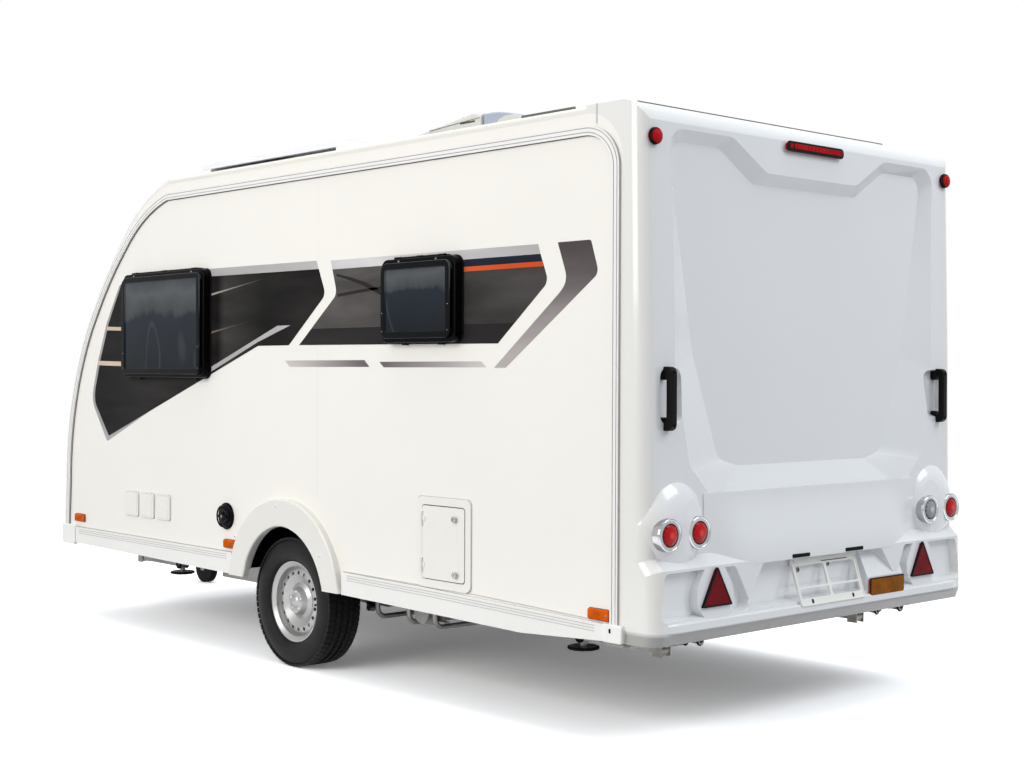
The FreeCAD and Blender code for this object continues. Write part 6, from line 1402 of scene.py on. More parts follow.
@dataclass
class WindowDress:
    """Glossy frame, dished pane, hinge bar and screws of one side window."""

    name: str
    side: Side
    low_x: float
    high_x: float
    low_z: float
    high_z: float
    bar_inset: float
    bar_proud: float = 0.030
    plane: float = 1.05
    frame_width: float = 0.030
    frame_proud: float = 0.0465
    pane_inset: float = 0.017
    pane_back: float = 0.046
    pane_proud: float = 0.0645
    lip: float = 0.031
    sunk: float = 0.0060

    def outline(self, grow: float, y: float) -> list[Vector]:
        """Corners of the window, moved out by a width."""
        return wall_box(self.low_x - grow, self.high_x + grow, self.low_z - grow, self.high_z + grow, y)

    def frame(self, sign: int) -> None:
        """Make the frame and the seal behind it.

        Args:
            sign: Sign of y on the window's side.
        """
        out = Vector((0, sign, 0))
        mesh = bmesh.new()
        add_band(mesh, self.outline(0.001, sign * (self.plane + 0.0005)), self.frame_width,
                 out * self.frame_proud, 0.042, 0.006)
        finish_piece(f"{self.name}_frame", mesh, BLACK_GLOSS, "caravan", 50.0)
        mesh = bmesh.new()
        add_band(mesh, self.outline(0.005, sign * (self.plane + 0.0006)), 0.010, out * 0.006, 0.046)
        finish_piece(f"{self.name}_seal", mesh, BLACK_RUBBER)

    def pane(self, sign: int) -> None:
        """Make the dished pane.

        Args:
            sign: Sign of y on the window's side.
        """
        mesh = bmesh.new()
        back = self.plane + self.pane_back
        glass = Vector((0, sign * (self.pane_proud - self.sunk - self.pane_back), 0))
        add_plate(mesh, self.outline(-self.pane_inset, sign * back), glass, 0.038)
        rim = Vector((0, sign * (self.pane_proud - self.pane_back + 0.004), 0))
        add_band(mesh, self.outline(-self.pane_inset, sign * (back - 0.004)), self.lip, rim, 0.038, 0.0050)
        face = self.plane + self.pane_proud
        look = Acrylic(f"acrylic_{self.name}", rim=face - 0.0012, low=self.low_z, high=self.high_z)
        finish_piece(f"{self.name}_pane", mesh, look, "caravan", 50.0)

    def hinge(self, sign: int) -> None:
        """Make the hinge pin, its barrels and the drain lugs.

        Args:
            sign: Sign of y on the window's side.
        """
        inset = (self.high_x - self.low_x) * self.bar_inset
        bar = bmesh.new()
        y = sign * (self.plane + self.bar_proud)
        z = self.high_z + 0.004
        add_rod(bar, at(self.low_x + inset, y, z), at(self.high_x - inset, y, z), 0.0058, 16)
        for step in range(3):
            x = self.low_x + inset + (self.high_x - self.low_x - inset * 2) * (0.06 + 0.44 * step)
            add_rod(bar, at(x - 0.02, y, z), at(x + 0.02, y, z), 0.0072, 16)
        for x in (self.low_x + 0.13, self.high_x - 0.13):
            add_side_box(bar, sign, at(x - 0.016, 1.052, self.low_z - 0.010),
                         at(x + 0.016, 1.070, self.low_z + 0.004), 0.002)
        finish_piece(f"{self.name}_hinge_pin", bar, BLACK_GLOSS)

    def screws(self, sign: int) -> None:
        """Make the screws of the hinge bar and the catch screws on the pane.

        Args:
            sign: Sign of y on the window's side.
        """
        out = Vector((0, sign, 0))
        screws = bmesh.new()
        inset = (self.high_x - self.low_x) * self.bar_inset
        y = sign * (self.plane + self.frame_proud + 0.0005)
        for x in (self.low_x + inset + 0.045, self.high_x - inset - 0.045):
            add_screw(screws, at(x, y, self.high_z - 0.012), out, 0.0065, 0.0035)
        face = sign * (self.plane + self.pane_proud)
        for x, z in ((self.low_x + 0.029, self.low_z + 0.16), (self.high_x - 0.029, self.low_z + 0.13),
                     (self.high_x - 0.029, self.low_z + 0.050), (self.low_x + 0.029, self.low_z + 0.050)):
            add_screw(screws, at(x, face, z), out, 0.0030, 0.0010)
        finish_piece(f"{self.name}_screws", screws, SCREW_GREY)

    def build(self) -> None:
        """Make the whole window."""
        sign = self.side.value
        self.frame(sign)
        self.pane(sign)
        self.hinge(sign)
        self.screws(sign)


@dataclass
class WallRails:
    """Corner rails set below the roof edge, with a dark line along their inner side: painted shadow under the
    rails, along their sealant joint.
    """

    drop: float = 0.037
    start_z: float = 1.95
    end_z: float = 2.41
    # Width and thickness of the dark line: painted shadow under the rails, with their sealant.
    joint: float = 0.0052
    joint_thick: float = 0.0014
    middle: tuple[float, float] = (0.0, 1.30)

    def lowered(self) -> Shape:
        """Copy the rails and let them down where they run under the roof edge.

        Returns:
            The lowered rails.
        """
        mesh = bmesh.new()
        mesh.from_mesh(frame["nodes"]["edge_rails"].data)
        for vert in mesh.verts:
            share = min(1.0, max(0.0, (vert.co.z - self.start_z) / (self.end_z - self.start_z)))
            vert.co.z -= self.drop * share
        return mesh

    def build(self) -> None:
        """Make the rails and the dark line at their joint, a painted shadow."""
        rails = finish_piece("edge_rails_set", self.lowered(), RAIL_WHITE, "caravan", 30.0)
        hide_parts("edge_rails")
        # Dark copy of the rails peeking out on their inner side: painted shadow along the sealant joint.
        mesh = self.lowered()
        centre = at(self.middle[0], 0.0, self.middle[1])
        for vert in mesh.verts:
            sign = 1 if vert.co.y > 0 else -1
            depth = (abs(vert.co.y) - WALL_Y) / 0.012
            vert.co.y = sign * (WALL_Y + 0.0002 + self.joint_thick * min(1.0, max(0.0, depth)))
            way = Vector((centre.x - vert.co.x, 0.0, centre.z - vert.co.z)).normalized()
            vert.co += way * self.joint
        finish_piece("edge_rail_joint", mesh, GAP_LINE, "caravan", 30.0)


@dataclass
class Hatches:
    """Outlines, locks and the filler's inner parts on the left side."""

    lid_fronts: tuple[float, ...] = (1.570, 1.400, 1.230)

    def outlines(self) -> None:
        """Fine shadow lines round the lids."""
        out = Vector((0, 1, 0))
        mesh = bmesh.new()
        add_band(mesh, wall_box(-1.3675, -1.0075, 0.5005, 0.8955, SEAT_Y), 0.0032, out * 0.0014, 0.026)
        for front in self.lid_fronts:
            add_band(mesh, wall_box(front - 0.1475, front + 0.0025, 0.6275, 0.7675, SEAT_Y), 0.003,
                     out * 0.0014, 0.014)
        finish_piece("hatch_outlines", mesh, SOFT_LINE)

    def lid_lips(self) -> None:
        """Lower lips and hinge barrels of the small lids."""
        out = Vector((0, 1, 0))
        mesh = bmesh.new()
        for front in self.lid_fronts:
            add_plate(mesh, wall_box(front - 0.132, front - 0.013, 0.641, 0.754, 1.0585), out * 0.0035,
                      0.012, 0.0025)
            add_rod(mesh, at(front - 0.130, 1.0605, 0.7645), at(front - 0.015, 1.0605, 0.7645), 0.0032, 12)
        finish_piece("small_lid_faces", mesh, LID_WHITE)

    def locks(self) -> None:
        """Two turn locks on the large lid."""
        out = Vector((0, 1, 0))
        base, slot = bmesh.new(), bmesh.new()
        for x, z in ((-1.270, 0.807), (-1.275, 0.573)):
            spot = at(x, 1.0695, z)
            add_turned(base, spot, out, [
                (0.0, 0.004), (0.0075, 0.004), (0.0085, 0.0062), (0.0115, 0.0062), (0.0135, 0.004),
                (0.0138, -0.001), (0.0, -0.001),
            ], 28)
            add_plate(slot, small_box(spot + out * 0.0042, 0.0012, 0.005), out * 0.0006)
        finish_piece("lid_locks", base, LAMP_GREY, "cassette_door")
        finish_piece("lid_lock_slots", slot, DARK_GAP, "cassette_door")

    def filler(self) -> None:
        """Sunk cap with its lock and rim inside the filler."""
        out = Vector((0, 1, 0))
        spot = at(0.530, 1.076, 0.695)
        mesh = bmesh.new()
        add_turned(mesh, at(0.530, 1.0506, 0.695), out, [
            (0.0600, 0.0), (0.0680, 0.0), (0.0680, 0.0050), (0.0650, 0.0080), (0.0600, 0.0080),
        ], 52)
        add_turned(mesh, spot, out, [
            (0.0560, -0.002), (0.0560, 0.0015), (0.0535, 0.0035), (0.0490, 0.0035), (0.0470, 0.0008),
            (0.0470, -0.002),
        ], 48)
        add_turned(mesh, spot, out, [
            (0.0, 0.0070), (0.0180, 0.0070), (0.0215, 0.0050), (0.0225, -0.001), (0.0, -0.001),
        ], 36)
        add_box(mesh, spot + Vector((-0.040, 0.0, -0.0065)), spot + Vector((0.040, 0.0080, 0.0065)), 0.002)
        finish_piece("filler_parts", mesh, BLACK_GLOSS)
        mesh = bmesh.new()
        add_turned(mesh, spot + Vector((0, 0.0080, 0)), out, [
            (0.0, 0.0012), (0.0070, 0.0012), (0.0085, 0.0), (0.0, -0.001),
        ], 24)
        finish_piece("filler_key_plate", mesh, SCREW_GREY)

    def build(self) -> None:
        """Make all the hatch parts."""
        self.outlines()
        self.lid_lips()
        self.locks()
        self.filler()


@dataclass
class TailDetails:
    """Fillet, lip, brackets, plate holder, handle feet and seams on the rear moulding."""

    holder_foot: Triple = (-2.416, -0.033, 0.481)
    holder_tilt: float = 18.0

    def holder(self) -> None:
        """Clips, screws and slots about the plate holder."""
        tilt = math.radians(self.holder_tilt)
        foot = at(*self.holder_foot)
        up = Vector((math.sin(tilt), 0, math.cos(tilt)))
        out = Vector((-math.cos(tilt), 0, math.sin(tilt)))
        across = Vector((0, 1, 0))

        def plate(low_y: float, high_y: float, low: float, high: float, lift: float = 0.0) -> list[Vector]:
            """Rectangle on the tilted holder."""
            return [foot + across * y + up * z + out * lift for y, z in (
                (low_y, low), (high_y, low), (high_y, high), (low_y, high))]

        rims = bmesh.new()
        add_band(rims, plate(-0.220, 0.220, 0.001, 0.199), 0.005, out * 0.003, 0.010)
        add_plate(rims, plate(-0.204, 0.204, 0.182, 0.194), out * 0.004, 0.004, 0.001)
        finish_piece("holder_rims", rims, TRIM_WHITE)
        clips, screws = bmesh.new(), bmesh.new()
        for y in (0.140, -0.140):
            add_plate(clips, plate(y - 0.004, y + 0.004, 0.010, 0.026), out * 0.0035, 0.001)
        add_plate(clips, plate(-0.16, 0.02, 0.176, 0.1785), out * 0.002)
        for y, z in ((0.155, 0.140), (-0.050, 0.150)):
            spot = at(-2.3445, self.holder_foot[1] + y, 0.481 + z)
            add_screw(screws, spot, Vector((-1, 0, 0)), 0.011, 0.004)
            add_screw(clips, spot + Vector((-0.004, 0, 0)), Vector((-1, 0, 0)), 0.005, 0.0016)
        finish_piece("holder_clips", clips, DARK_GAP)
        finish_piece("holder_screws", screws, SCREW_GREY)
        slots = bmesh.new()
        for low, high in ((0.108, 0.221), (-0.264, -0.142)):
            add_box(slots, at(-2.3985, low, 0.6815), at(-2.355, high, 0.6965), 0.003)
        finish_piece("plate_lamp_slots", slots, DARK_GAP)

    def handles(self) -> None:
        """Feet and fixing caps of the two grab handles."""
        feet, caps = bmesh.new(), bmesh.new()
        for side in (1, -1):
            y = side * 0.925
            for z in (1.232, 1.433):
                add_plate(feet, tail_box(y - 0.020, y + 0.020, z - 0.030, z + 0.030, -2.312),
                          Vector((-0.022, 0, 0)), 0.014, 0.005)
                add_screw(caps, at(-2.379, y, z), Vector((-1, 0, 0)), 0.007, 0.0025)
        finish_piece("handle_feet", feet, BLACK_PLASTIC)
        finish_piece("handle_caps", caps, BLACK_GLOSS)

    def seams(self) -> None:
        """Joint lines between the mouldings and the roof."""
        mesh = bmesh.new()
        add_rod(mesh, at(-2.238, 0.985, 2.4595), at(-2.238, -0.62, 2.4595), 0.0022, 8)
        finish_piece("tail_joint_line", mesh, GAP_LINE)

    def fillet(self) -> None:
        """Smooth fall of the shell between the lamps down to the plate recess."""
        mesh = bmesh.new()
        rows, stations = 18, 36
        rings = []
        for column in range(stations + 1):
            y = 0.715 - 1.43 * column / stations
            share = self.ease((0.715 - abs(y)) / 0.24)
            ring = []
            for row in range(rows + 1):
                z = 0.965 - 0.287 * row / rows
                wall = -2.335 - (1.5 - z) / 0.765 * 0.015
                ring.append(mesh.verts.new(at(wall + 0.0012 - 0.0440 * share * self.ease(row / rows), y, z)))
            ring += [mesh.verts.new(at(-2.335, y, 0.678)), mesh.verts.new(at(-2.335, y, 0.965))]
            rings.append(ring)
        for low, high in zip(rings, rings[1:]):
            edges = [mesh.edges.get(pair) or mesh.edges.new(pair) for ring in (low, high)
                     for pair in zip(ring, ring[1:] + ring[:1])]
            bmesh.ops.bridge_loops(mesh, edges=edges)
        for ring in (rings[0], rings[-1]):
            mesh.faces.new(ring)
        finish_piece("tail_fillet", mesh, MOULDED_WHITE, "caravan", 60.0)

    @staticmethod
    def ease(share: float) -> float:
        """Smooth step from 0 to 1."""
        held = min(1.0, max(0.0, share))
        return held * held * (3.0 - 2.0 * held)

    def lip(self) -> None:
        """Rounded lip along the foot of the bumper and round its corners."""
        outer = [(-2.235, 1.052), (-2.300, 1.051), (-2.350, 1.040), (-2.385, 1.015), (-2.405, 0.975),
                 (-2.4135, 0.925)]
        inner = [(-2.3850, 0.915), (-2.375, 0.955), (-2.360, 0.985), (-2.330, 1.012), (-2.290, 1.022),
                 (-2.235, 1.024)]
        left = outer + [(x, -y) for x, y in reversed(outer)]
        right = [(x, -y) for x, y in reversed(inner)] + inner
        mesh = bmesh.new()
        add_plate(mesh, [at(x, y, 0.4565) for x, y in left + right], Vector((0, 0, 0.0345)), 0.0, 0.0095)
        finish_piece("tail_lip", mesh, MOULDED_WHITE, "caravan", 50.0)

    def tubes(self) -> None:
        """Winding tubes and brackets that end below the lip."""
        back = Vector((-1, 0, 0))
        tubes, rings, plates = bmesh.new(), bmesh.new(), bmesh.new()
        for y, radius in ((0.630, 0.0150), (-0.573, 0.0150), (-0.756, 0.0190)):
            add_rod(tubes, at(-2.195, y, 0.378), at(-2.262, y, 0.374), radius, 28)
            add_ring(rings, at(-2.256, y, 0.3745), back, radius + 0.0012, 0.0046, 36, 10)
            add_turned(rings, at(-2.262, y, 0.374), back, [
                (0.0, 0.0010), (radius * 0.55, 0.0010), (radius * 0.6, -0.001), (0.0, -0.001),
            ], 24)
        for side in (1, -1):
            outline = [(0.520, 0.4300), (0.520, 0.3920), (0.545, 0.3800), (0.700, 0.3660), (0.780, 0.3660),
                       (0.805, 0.3900), (0.805, 0.4300)]
            add_plate(plates, [at(-2.232, side * y, z) for y, z in outline], Vector((0.010, 0, 0)), 0.004,
                      0.002)
            add_side_box(plates, side, at(-2.232, 0.705, 0.364), at(-2.140, 0.800, 0.370), 0.002)
        finish_piece("winding_tubes", tubes, SCREW_GREY)
        finish_piece("winding_tube_rings", rings, BLACK_RUBBER)
        finish_piece("tail_brackets", plates, BRACKET_STEEL)
        foot = bmesh.new()
        for side in (1, -1):
            add_side_box(foot, side, at(-2.245, 1.006, 0.392), at(-2.150, 1.058, 0.4062), 0.005)
        finish_piece("cap_feet", foot, GREY_SEAL)

    def build(self) -> None:
        """Make all the details of the tail."""
        self.fillet()
        self.lip()
        self.tubes()
        self.holder()
        self.handles()
        self.seams()


@dataclass
class SideTrims:
    """Arch screws, wall joints, cap screws and seals along one side."""

    side: Side
    arch_face: float = 1.084

    def build(self) -> None:
        """Make the trims of this side."""
        sign = self.side.value
        tag = self.side.name.lower()
        out = Vector((0, sign, 0))
        heads, slots = bmesh.new(), bmesh.new()
        for x, z in ((0.040, 0.775), (-0.325, 0.570), (0.400, 0.605)):
            spot = at(x, sign * self.arch_face, z)
            add_screw(heads, spot, out, 0.0075, 0.0032)
            add_screw(slots, spot + out * 0.0030, out, 0.0026, 0.0010)
        finish_piece(f"{tag}_arch_screws", heads, TRIM_WHITE)
        add_plate(slots, small_box(at(-2.185, sign * 1.0698, 0.452), 0.005, 0.009), out * 0.0012, 0.0045)
        finish_piece(f"{tag}_screw_slots", slots, DARK_GAP)
        joint = bmesh.new()
        add_plate(joint, wall_box(-0.2560, -0.2546, 1.96, 2.366, sign * WALL_Y), out * 0.0003)
        if self.side is Side.LEFT:
            add_plate(joint, wall_box(-0.2560, -0.2546, 0.84, 1.545, sign * WALL_Y), out * 0.0003)
        finish_piece(f"{tag}_wall_joint", joint, FAINT_LINE)
        seal = bmesh.new()
        line = [(-2.16, 0.4805), (-2.05, 0.4825), (-1.40, 0.5020), (-0.47, 0.5095)]
        for (x0, z0), (x1, z1) in zip(line, line[1:]):
            add_rod(seal, at(x0, sign * 1.0512, z0), at(x1, sign * 1.0512, z1), 0.0016, 8)
        add_rod(seal, at(0.47, sign * 1.0512, 0.5175), at(2.142, sign * 1.0512, 0.5215), 0.0016, 8)
        finish_piece(f"{tag}_skirt_seal", seal, SOFT_LINE)


@dataclass
class EntranceDoor:
    """Seals, window frame, handle and hinges of the entrance door."""

    face: float = 1.054

    def build(self) -> None:
        """Make the door's parts."""
        out = Vector((0, -1, 0))
        gap = bmesh.new()
        add_band(gap, wall_box(-1.1415, -0.4885, 0.5185, 2.2415, -SEAT_Y), 0.006, out * 0.0022, 0.092)
        finish_piece("door_seal_line", gap, GAP_LINE)
        frame_ring = bmesh.new()
        low, high, foot, head = -1.028, -0.602, 1.527, 1.953
        add_band(frame_ring, wall_box(low - 0.024, high + 0.024, foot - 0.024, head + 0.024, -self.face),
                 0.026, out * 0.012, 0.060)
        finish_piece("door_window_frame", frame_ring, BLACK_GLOSS, "entrance_door")
        handle = bmesh.new()
        low_x, low_z = -1.100, 1.205
        add_plate(handle, wall_box(low_x, low_x + 0.062, low_z, low_z + 0.170, -self.face), out * 0.012,
                  0.024, 0.004)
        grip = wall_box(low_x + 0.010, low_x + 0.052, low_z + 0.050, low_z + 0.158, -self.face - 0.011)
        add_plate(handle, grip, out * 0.016, 0.016, 0.007)
        y, z = -self.face - 0.022, low_z + 0.152
        add_rod(handle, at(low_x + 0.016, y, z), at(low_x + 0.046, y, z), 0.007, 18)
        latch = finish_piece("door_latch", handle, BLACK_PLASTIC, "entrance_door")
        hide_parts("door_handle")
        lock = bmesh.new()
        add_turned(lock, at(low_x + 0.031, -self.face - 0.012, low_z + 0.024), out, [
            (0.0, 0.0035), (0.0085, 0.0035), (0.0110, 0.0015), (0.0112, -0.001), (0.0, -0.001),
        ], 28)
        finish_piece("door_lock", lock, CHROME, "entrance_door")
        caps = bmesh.new()
        for z in (0.72, 1.38, 2.04):
            add_rod(caps, at(-0.488, -1.0605, z - 0.045), at(-0.488, -1.0605, z + 0.045), 0.0095, 24)
            add_box(caps, at(-0.476, -1.0560, z - 0.040), at(-0.448, -1.0500, z + 0.040), 0.002)
        finish_piece("door_hinge_caps", caps, TRIM_WHITE)
        kick = bmesh.new()
        add_plate(kick, wall_box(-1.095, -0.535, 0.600, 0.604, -self.face), out * 0.0015)
        add_plate(kick, wall_box(-1.095, -0.535, 1.120, 1.124, -self.face), out * 0.0015)
        finish_piece("door_press_lines", kick, SOFT_LINE, "entrance_door")


@dataclass
class RoofTop:
    """Edges, painted shade in the grilles and seals of what stands on the roof."""

    def solar(self) -> None:
        """Bright frame and junction cover of the solar panel."""
        mesh = bmesh.new()
        low, high = at(-0.272, 0.354, 2.508), at(1.022, 0.902, 2.5345)
        corners = [Vector((x, y, low.z)) for x, y in (
            (low.x, low.y), (high.x, low.y), (high.x, high.y), (low.x, high.y))]
        add_band(mesh, corners, 0.022, Vector((0, 0, high.z - low.z)), 0.004)
        finish_piece("solar_frame", mesh, ALLOY_EDGE)
        mesh = bmesh.new()
        add_box(mesh, at(0.90, 0.58, 2.533), at(0.98, 0.70, 2.548), 0.006)
        finish_piece("solar_junction", mesh, BLACK_PLASTIC)

    def cooler(self) -> None:
        """Grille backs of painted shade, seams, the rear fairing and a plate in blue-grey painted shade, and
        side lobes of the roof cooler.
        """
        mesh = bmesh.new()
        # Blue-grey plate across the cooler's rear: painted shade.
        add_box(mesh, at(-0.590, -0.25, 2.515), at(-0.580, 0.25, 2.645), 0.002)
        finish_piece("cooler_core", mesh, COOLER_SHADE_GREY)
        # Dark backs in the grille slots: painted shade inside them.
        slots = bmesh.new()
        for side in (1, -1):
            add_side_box(slots, side, at(-0.171, 0.316, 2.604), at(-0.059, 0.3225, 2.630), 0.001)
            add_side_box(slots, side, at(-0.549, 0.316, 2.647), at(-0.436, 0.3225, 2.660), 0.001)
        finish_piece("cooler_slot_backs", slots, GAP_LINE)
        seam = bmesh.new()
        for side in (1, -1):
            add_rod(seam, at(-0.612, side * 0.3302, 2.490), at(0.392, side * 0.3302, 2.476), 0.0016, 8)
            add_rod(seam, at(-0.585, side * 0.3302, 2.6665), at(-0.20, side * 0.3302, 2.6440), 0.0018, 8)
        tail = [(-0.600, 2.470), (-0.600, 2.684), (-0.660, 2.686), (-0.720, 2.681),
                (-0.800, 2.666), (-0.860, 2.645), (-0.885, 2.615), (-0.895, 2.470)]
        fairing, lobes = bmesh.new(), bmesh.new()
        # The rear fairing wears the cooler's blue-grey painted shade.
        add_plate(fairing, [at(x, -0.322, z) for x, z in tail], Vector((0, 0.644, 0)), 0.0, 0.012)
        finish_piece("cooler_tail", fairing, COOLER_SHADE_GREY, "caravan", 50.0)
        lobe = [(-0.690, 2.470), (-0.715, 2.600), (-0.720, 2.640), (-0.770, 2.654),
                (-0.830, 2.652), (-0.880, 2.640), (-0.900, 2.610), (-0.905, 2.470)]
        for side in (1, -1):
            add_plate(lobes, [at(x, side * 0.318, z) for x, z in lobe], Vector((0, side * 0.018, 0)), 0.0,
                      0.005)
        finish_piece("cooler_lobes", lobes, COOLER_WHITE, "caravan", 50.0)
        finish_piece("cooler_seam", seam, GAP_LINE)

    def rooflight(self) -> None:
        """Dark seal under the rooflight lid."""
        mesh = bmesh.new()
        corners = [at(x, y, 2.4605) for x, y in (
            (-1.645, -0.225), (-1.195, -0.225), (-1.195, 0.225), (-1.645, 0.225))]
        add_band(mesh, corners, 0.010, Vector((0, 0, 0.006)), 0.030)
        finish_piece("rooflight_seal", mesh, GREY_SEAL)

    def seams(self) -> None:
        """Sealed joint between the roof sheet and the nose, and the roof strips."""
        mesh = bmesh.new()
        add_rod(mesh, at(1.120, -1.02, 2.4603), at(1.120, 1.02, 2.4603), 0.0020, 8)
        for side in (1, -1):
            add_rod(mesh, at(-1.98, side * 0.985, 2.4603), at(1.10, side * 0.985, 2.4603), 0.0022, 8)
        finish_piece("roof_joints", mesh, SOFT_LINE)
        strip = bmesh.new()
        add_box(strip, at(-1.945, 1.022, 2.450), at(-1.640, 1.034, 2.4695), 0.003)
        finish_piece("roof_strip", strip, GAP_LINE)
        caps = bmesh.new()
        for side in (1, -1):
            add_plate(caps, wall_box(-2.089, -2.082, 2.385, 2.462, side * SEAT_Y),
                      Vector((0, side * 0.0012, 0)))
        finish_piece("roof_cap_joint", caps, SOFT_LINE)

    def build(self) -> None:
        """Make the roof parts."""
        self.solar()
        self.cooler()
        self.rooflight()
        self.seams()


@dataclass
class Nose:
    """Locks of the gas locker lid at the front."""

    def build(self) -> None:
        """Make the parts of the nose."""
        low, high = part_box("gas_locker_lid")
        locks = bmesh.new()
        for side in (1, -1):
            spot = Vector((high[0] - 0.010, side * 0.42, low[2] + 0.060))
            add_turned(locks, spot, Vector((1, 0, 0)), [
                (0.0, 0.010), (0.010, 0.010), (0.014, 0.0075), (0.0165, 0.0075), (0.018, 0.004),
                (0.018, -0.012), (0.0, -0.012),
            ], 30)
        finish_piece("locker_locks", locks, BLACK_PLASTIC, "gas_locker_lid")


@dataclass
class Underside:
    """Drums, dampers, steady grips and brake rods below the floor."""

    def drums(self) -> None:
        """Brake drum and back plate inside each wheel."""
        for side in Side:
            sign = side.value
            mesh = bmesh.new()
            add_turned(mesh, at(0, sign * 0.800, 0.314), Vector((0, sign, 0)), [
                (0.0, 0.0), (0.120, 0.0), (0.126, 0.006), (0.126, 0.020), (0.112, 0.024), (0.112, 0.060),
                (0.100, 0.068), (0.0, 0.068),
            ], 56)
            finish_piece(f"{side.name.lower()}_drum", mesh, DRUM_BLACK)

    def dampers(self) -> None:
        """Telescopic damper behind each trailing arm."""
        tube, rod = bmesh.new(), bmesh.new()
        for side in (1, -1):
            low, high = at(-0.235, side * 0.700, 0.285), at(-0.060, side * 0.640, 0.395)
            way = (high - low).normalized()
            add_rod(tube, low, low + way * 0.115, 0.026, 24)
            add_rod(rod, low + way * 0.11, high, 0.011, 16)
            add_rod(rod, low - Vector((0, 0.03, 0)), low + Vector((0, 0.03, 0)), 0.017, 16)
        finish_piece("damper_tubes", tube, DRUM_BLACK)
        finish_piece("damper_rods", rod, SCREW_GREY)

    def brake_rod(self) -> None:
        """Brake rod from the overrun housing to the axle."""
        mesh = bmesh.new()
        add_rod(mesh, at(0.10, 0.0, 0.372), at(2.90, 0.0, 0.405), 0.006, 12)
        add_box(mesh, at(0.07, -0.09, 0.360), at(0.10, 0.09, 0.385), 0.003)
        finish_piece("brake_rod", mesh, SCREW_GREY)

    def steadies(self) -> None:
        """Black grip on each steady's foot and a dark mouth in each screw socket."""
        socket = bmesh.new()
        for body, x, side, way in (
            ("front_left_steady", 2.060, 1, 1), ("front_right_steady", 2.060, -1, 1),
            ("rear_left_steady", -2.080, 1, -1), ("rear_right_steady", -2.080, -1, -1),
        ):
            foot = bmesh.new()
            end = at(x - 0.440 * way, side * 0.662, 0.318)
            add_ring(foot, end - Vector((0, 0, 0.047)), Vector((0, 0, 1)), 0.062, 0.0070, 40, 10)
            for sign in (1, -1):
                add_turned(foot, end + Vector((0, sign * 0.0225, 0)), Vector((0, sign, 0)), [
                    (0.012, 0.0), (0.026, 0.0), (0.026, 0.005), (0.023, 0.008), (0.012, 0.008),
                ], 32)
            finish_piece(f"{body}_grip", foot, BLACK_RUBBER, body)
            mouth = at(x + 0.130 * way, side * 0.662, 0.370)
            add_ring(socket, mouth - Vector((0.002 * way, 0, 0)), Vector((way, 0, 0)), 0.0135, 0.0045, 28, 8)
            add_turned(socket, mouth, Vector((way, 0, 0)),
                       [(0.0, 0.0012), (0.0095, 0.0012), (0.0100, -0.001), (0.0, -0.001)], 20)
        finish_piece("steady_socket_mouths", socket, DARK_GAP)

    def build(self) -> None:
        """Make all the parts below."""
        self.drums()
        self.dampers()
        self.brake_rod()
        self.steadies()


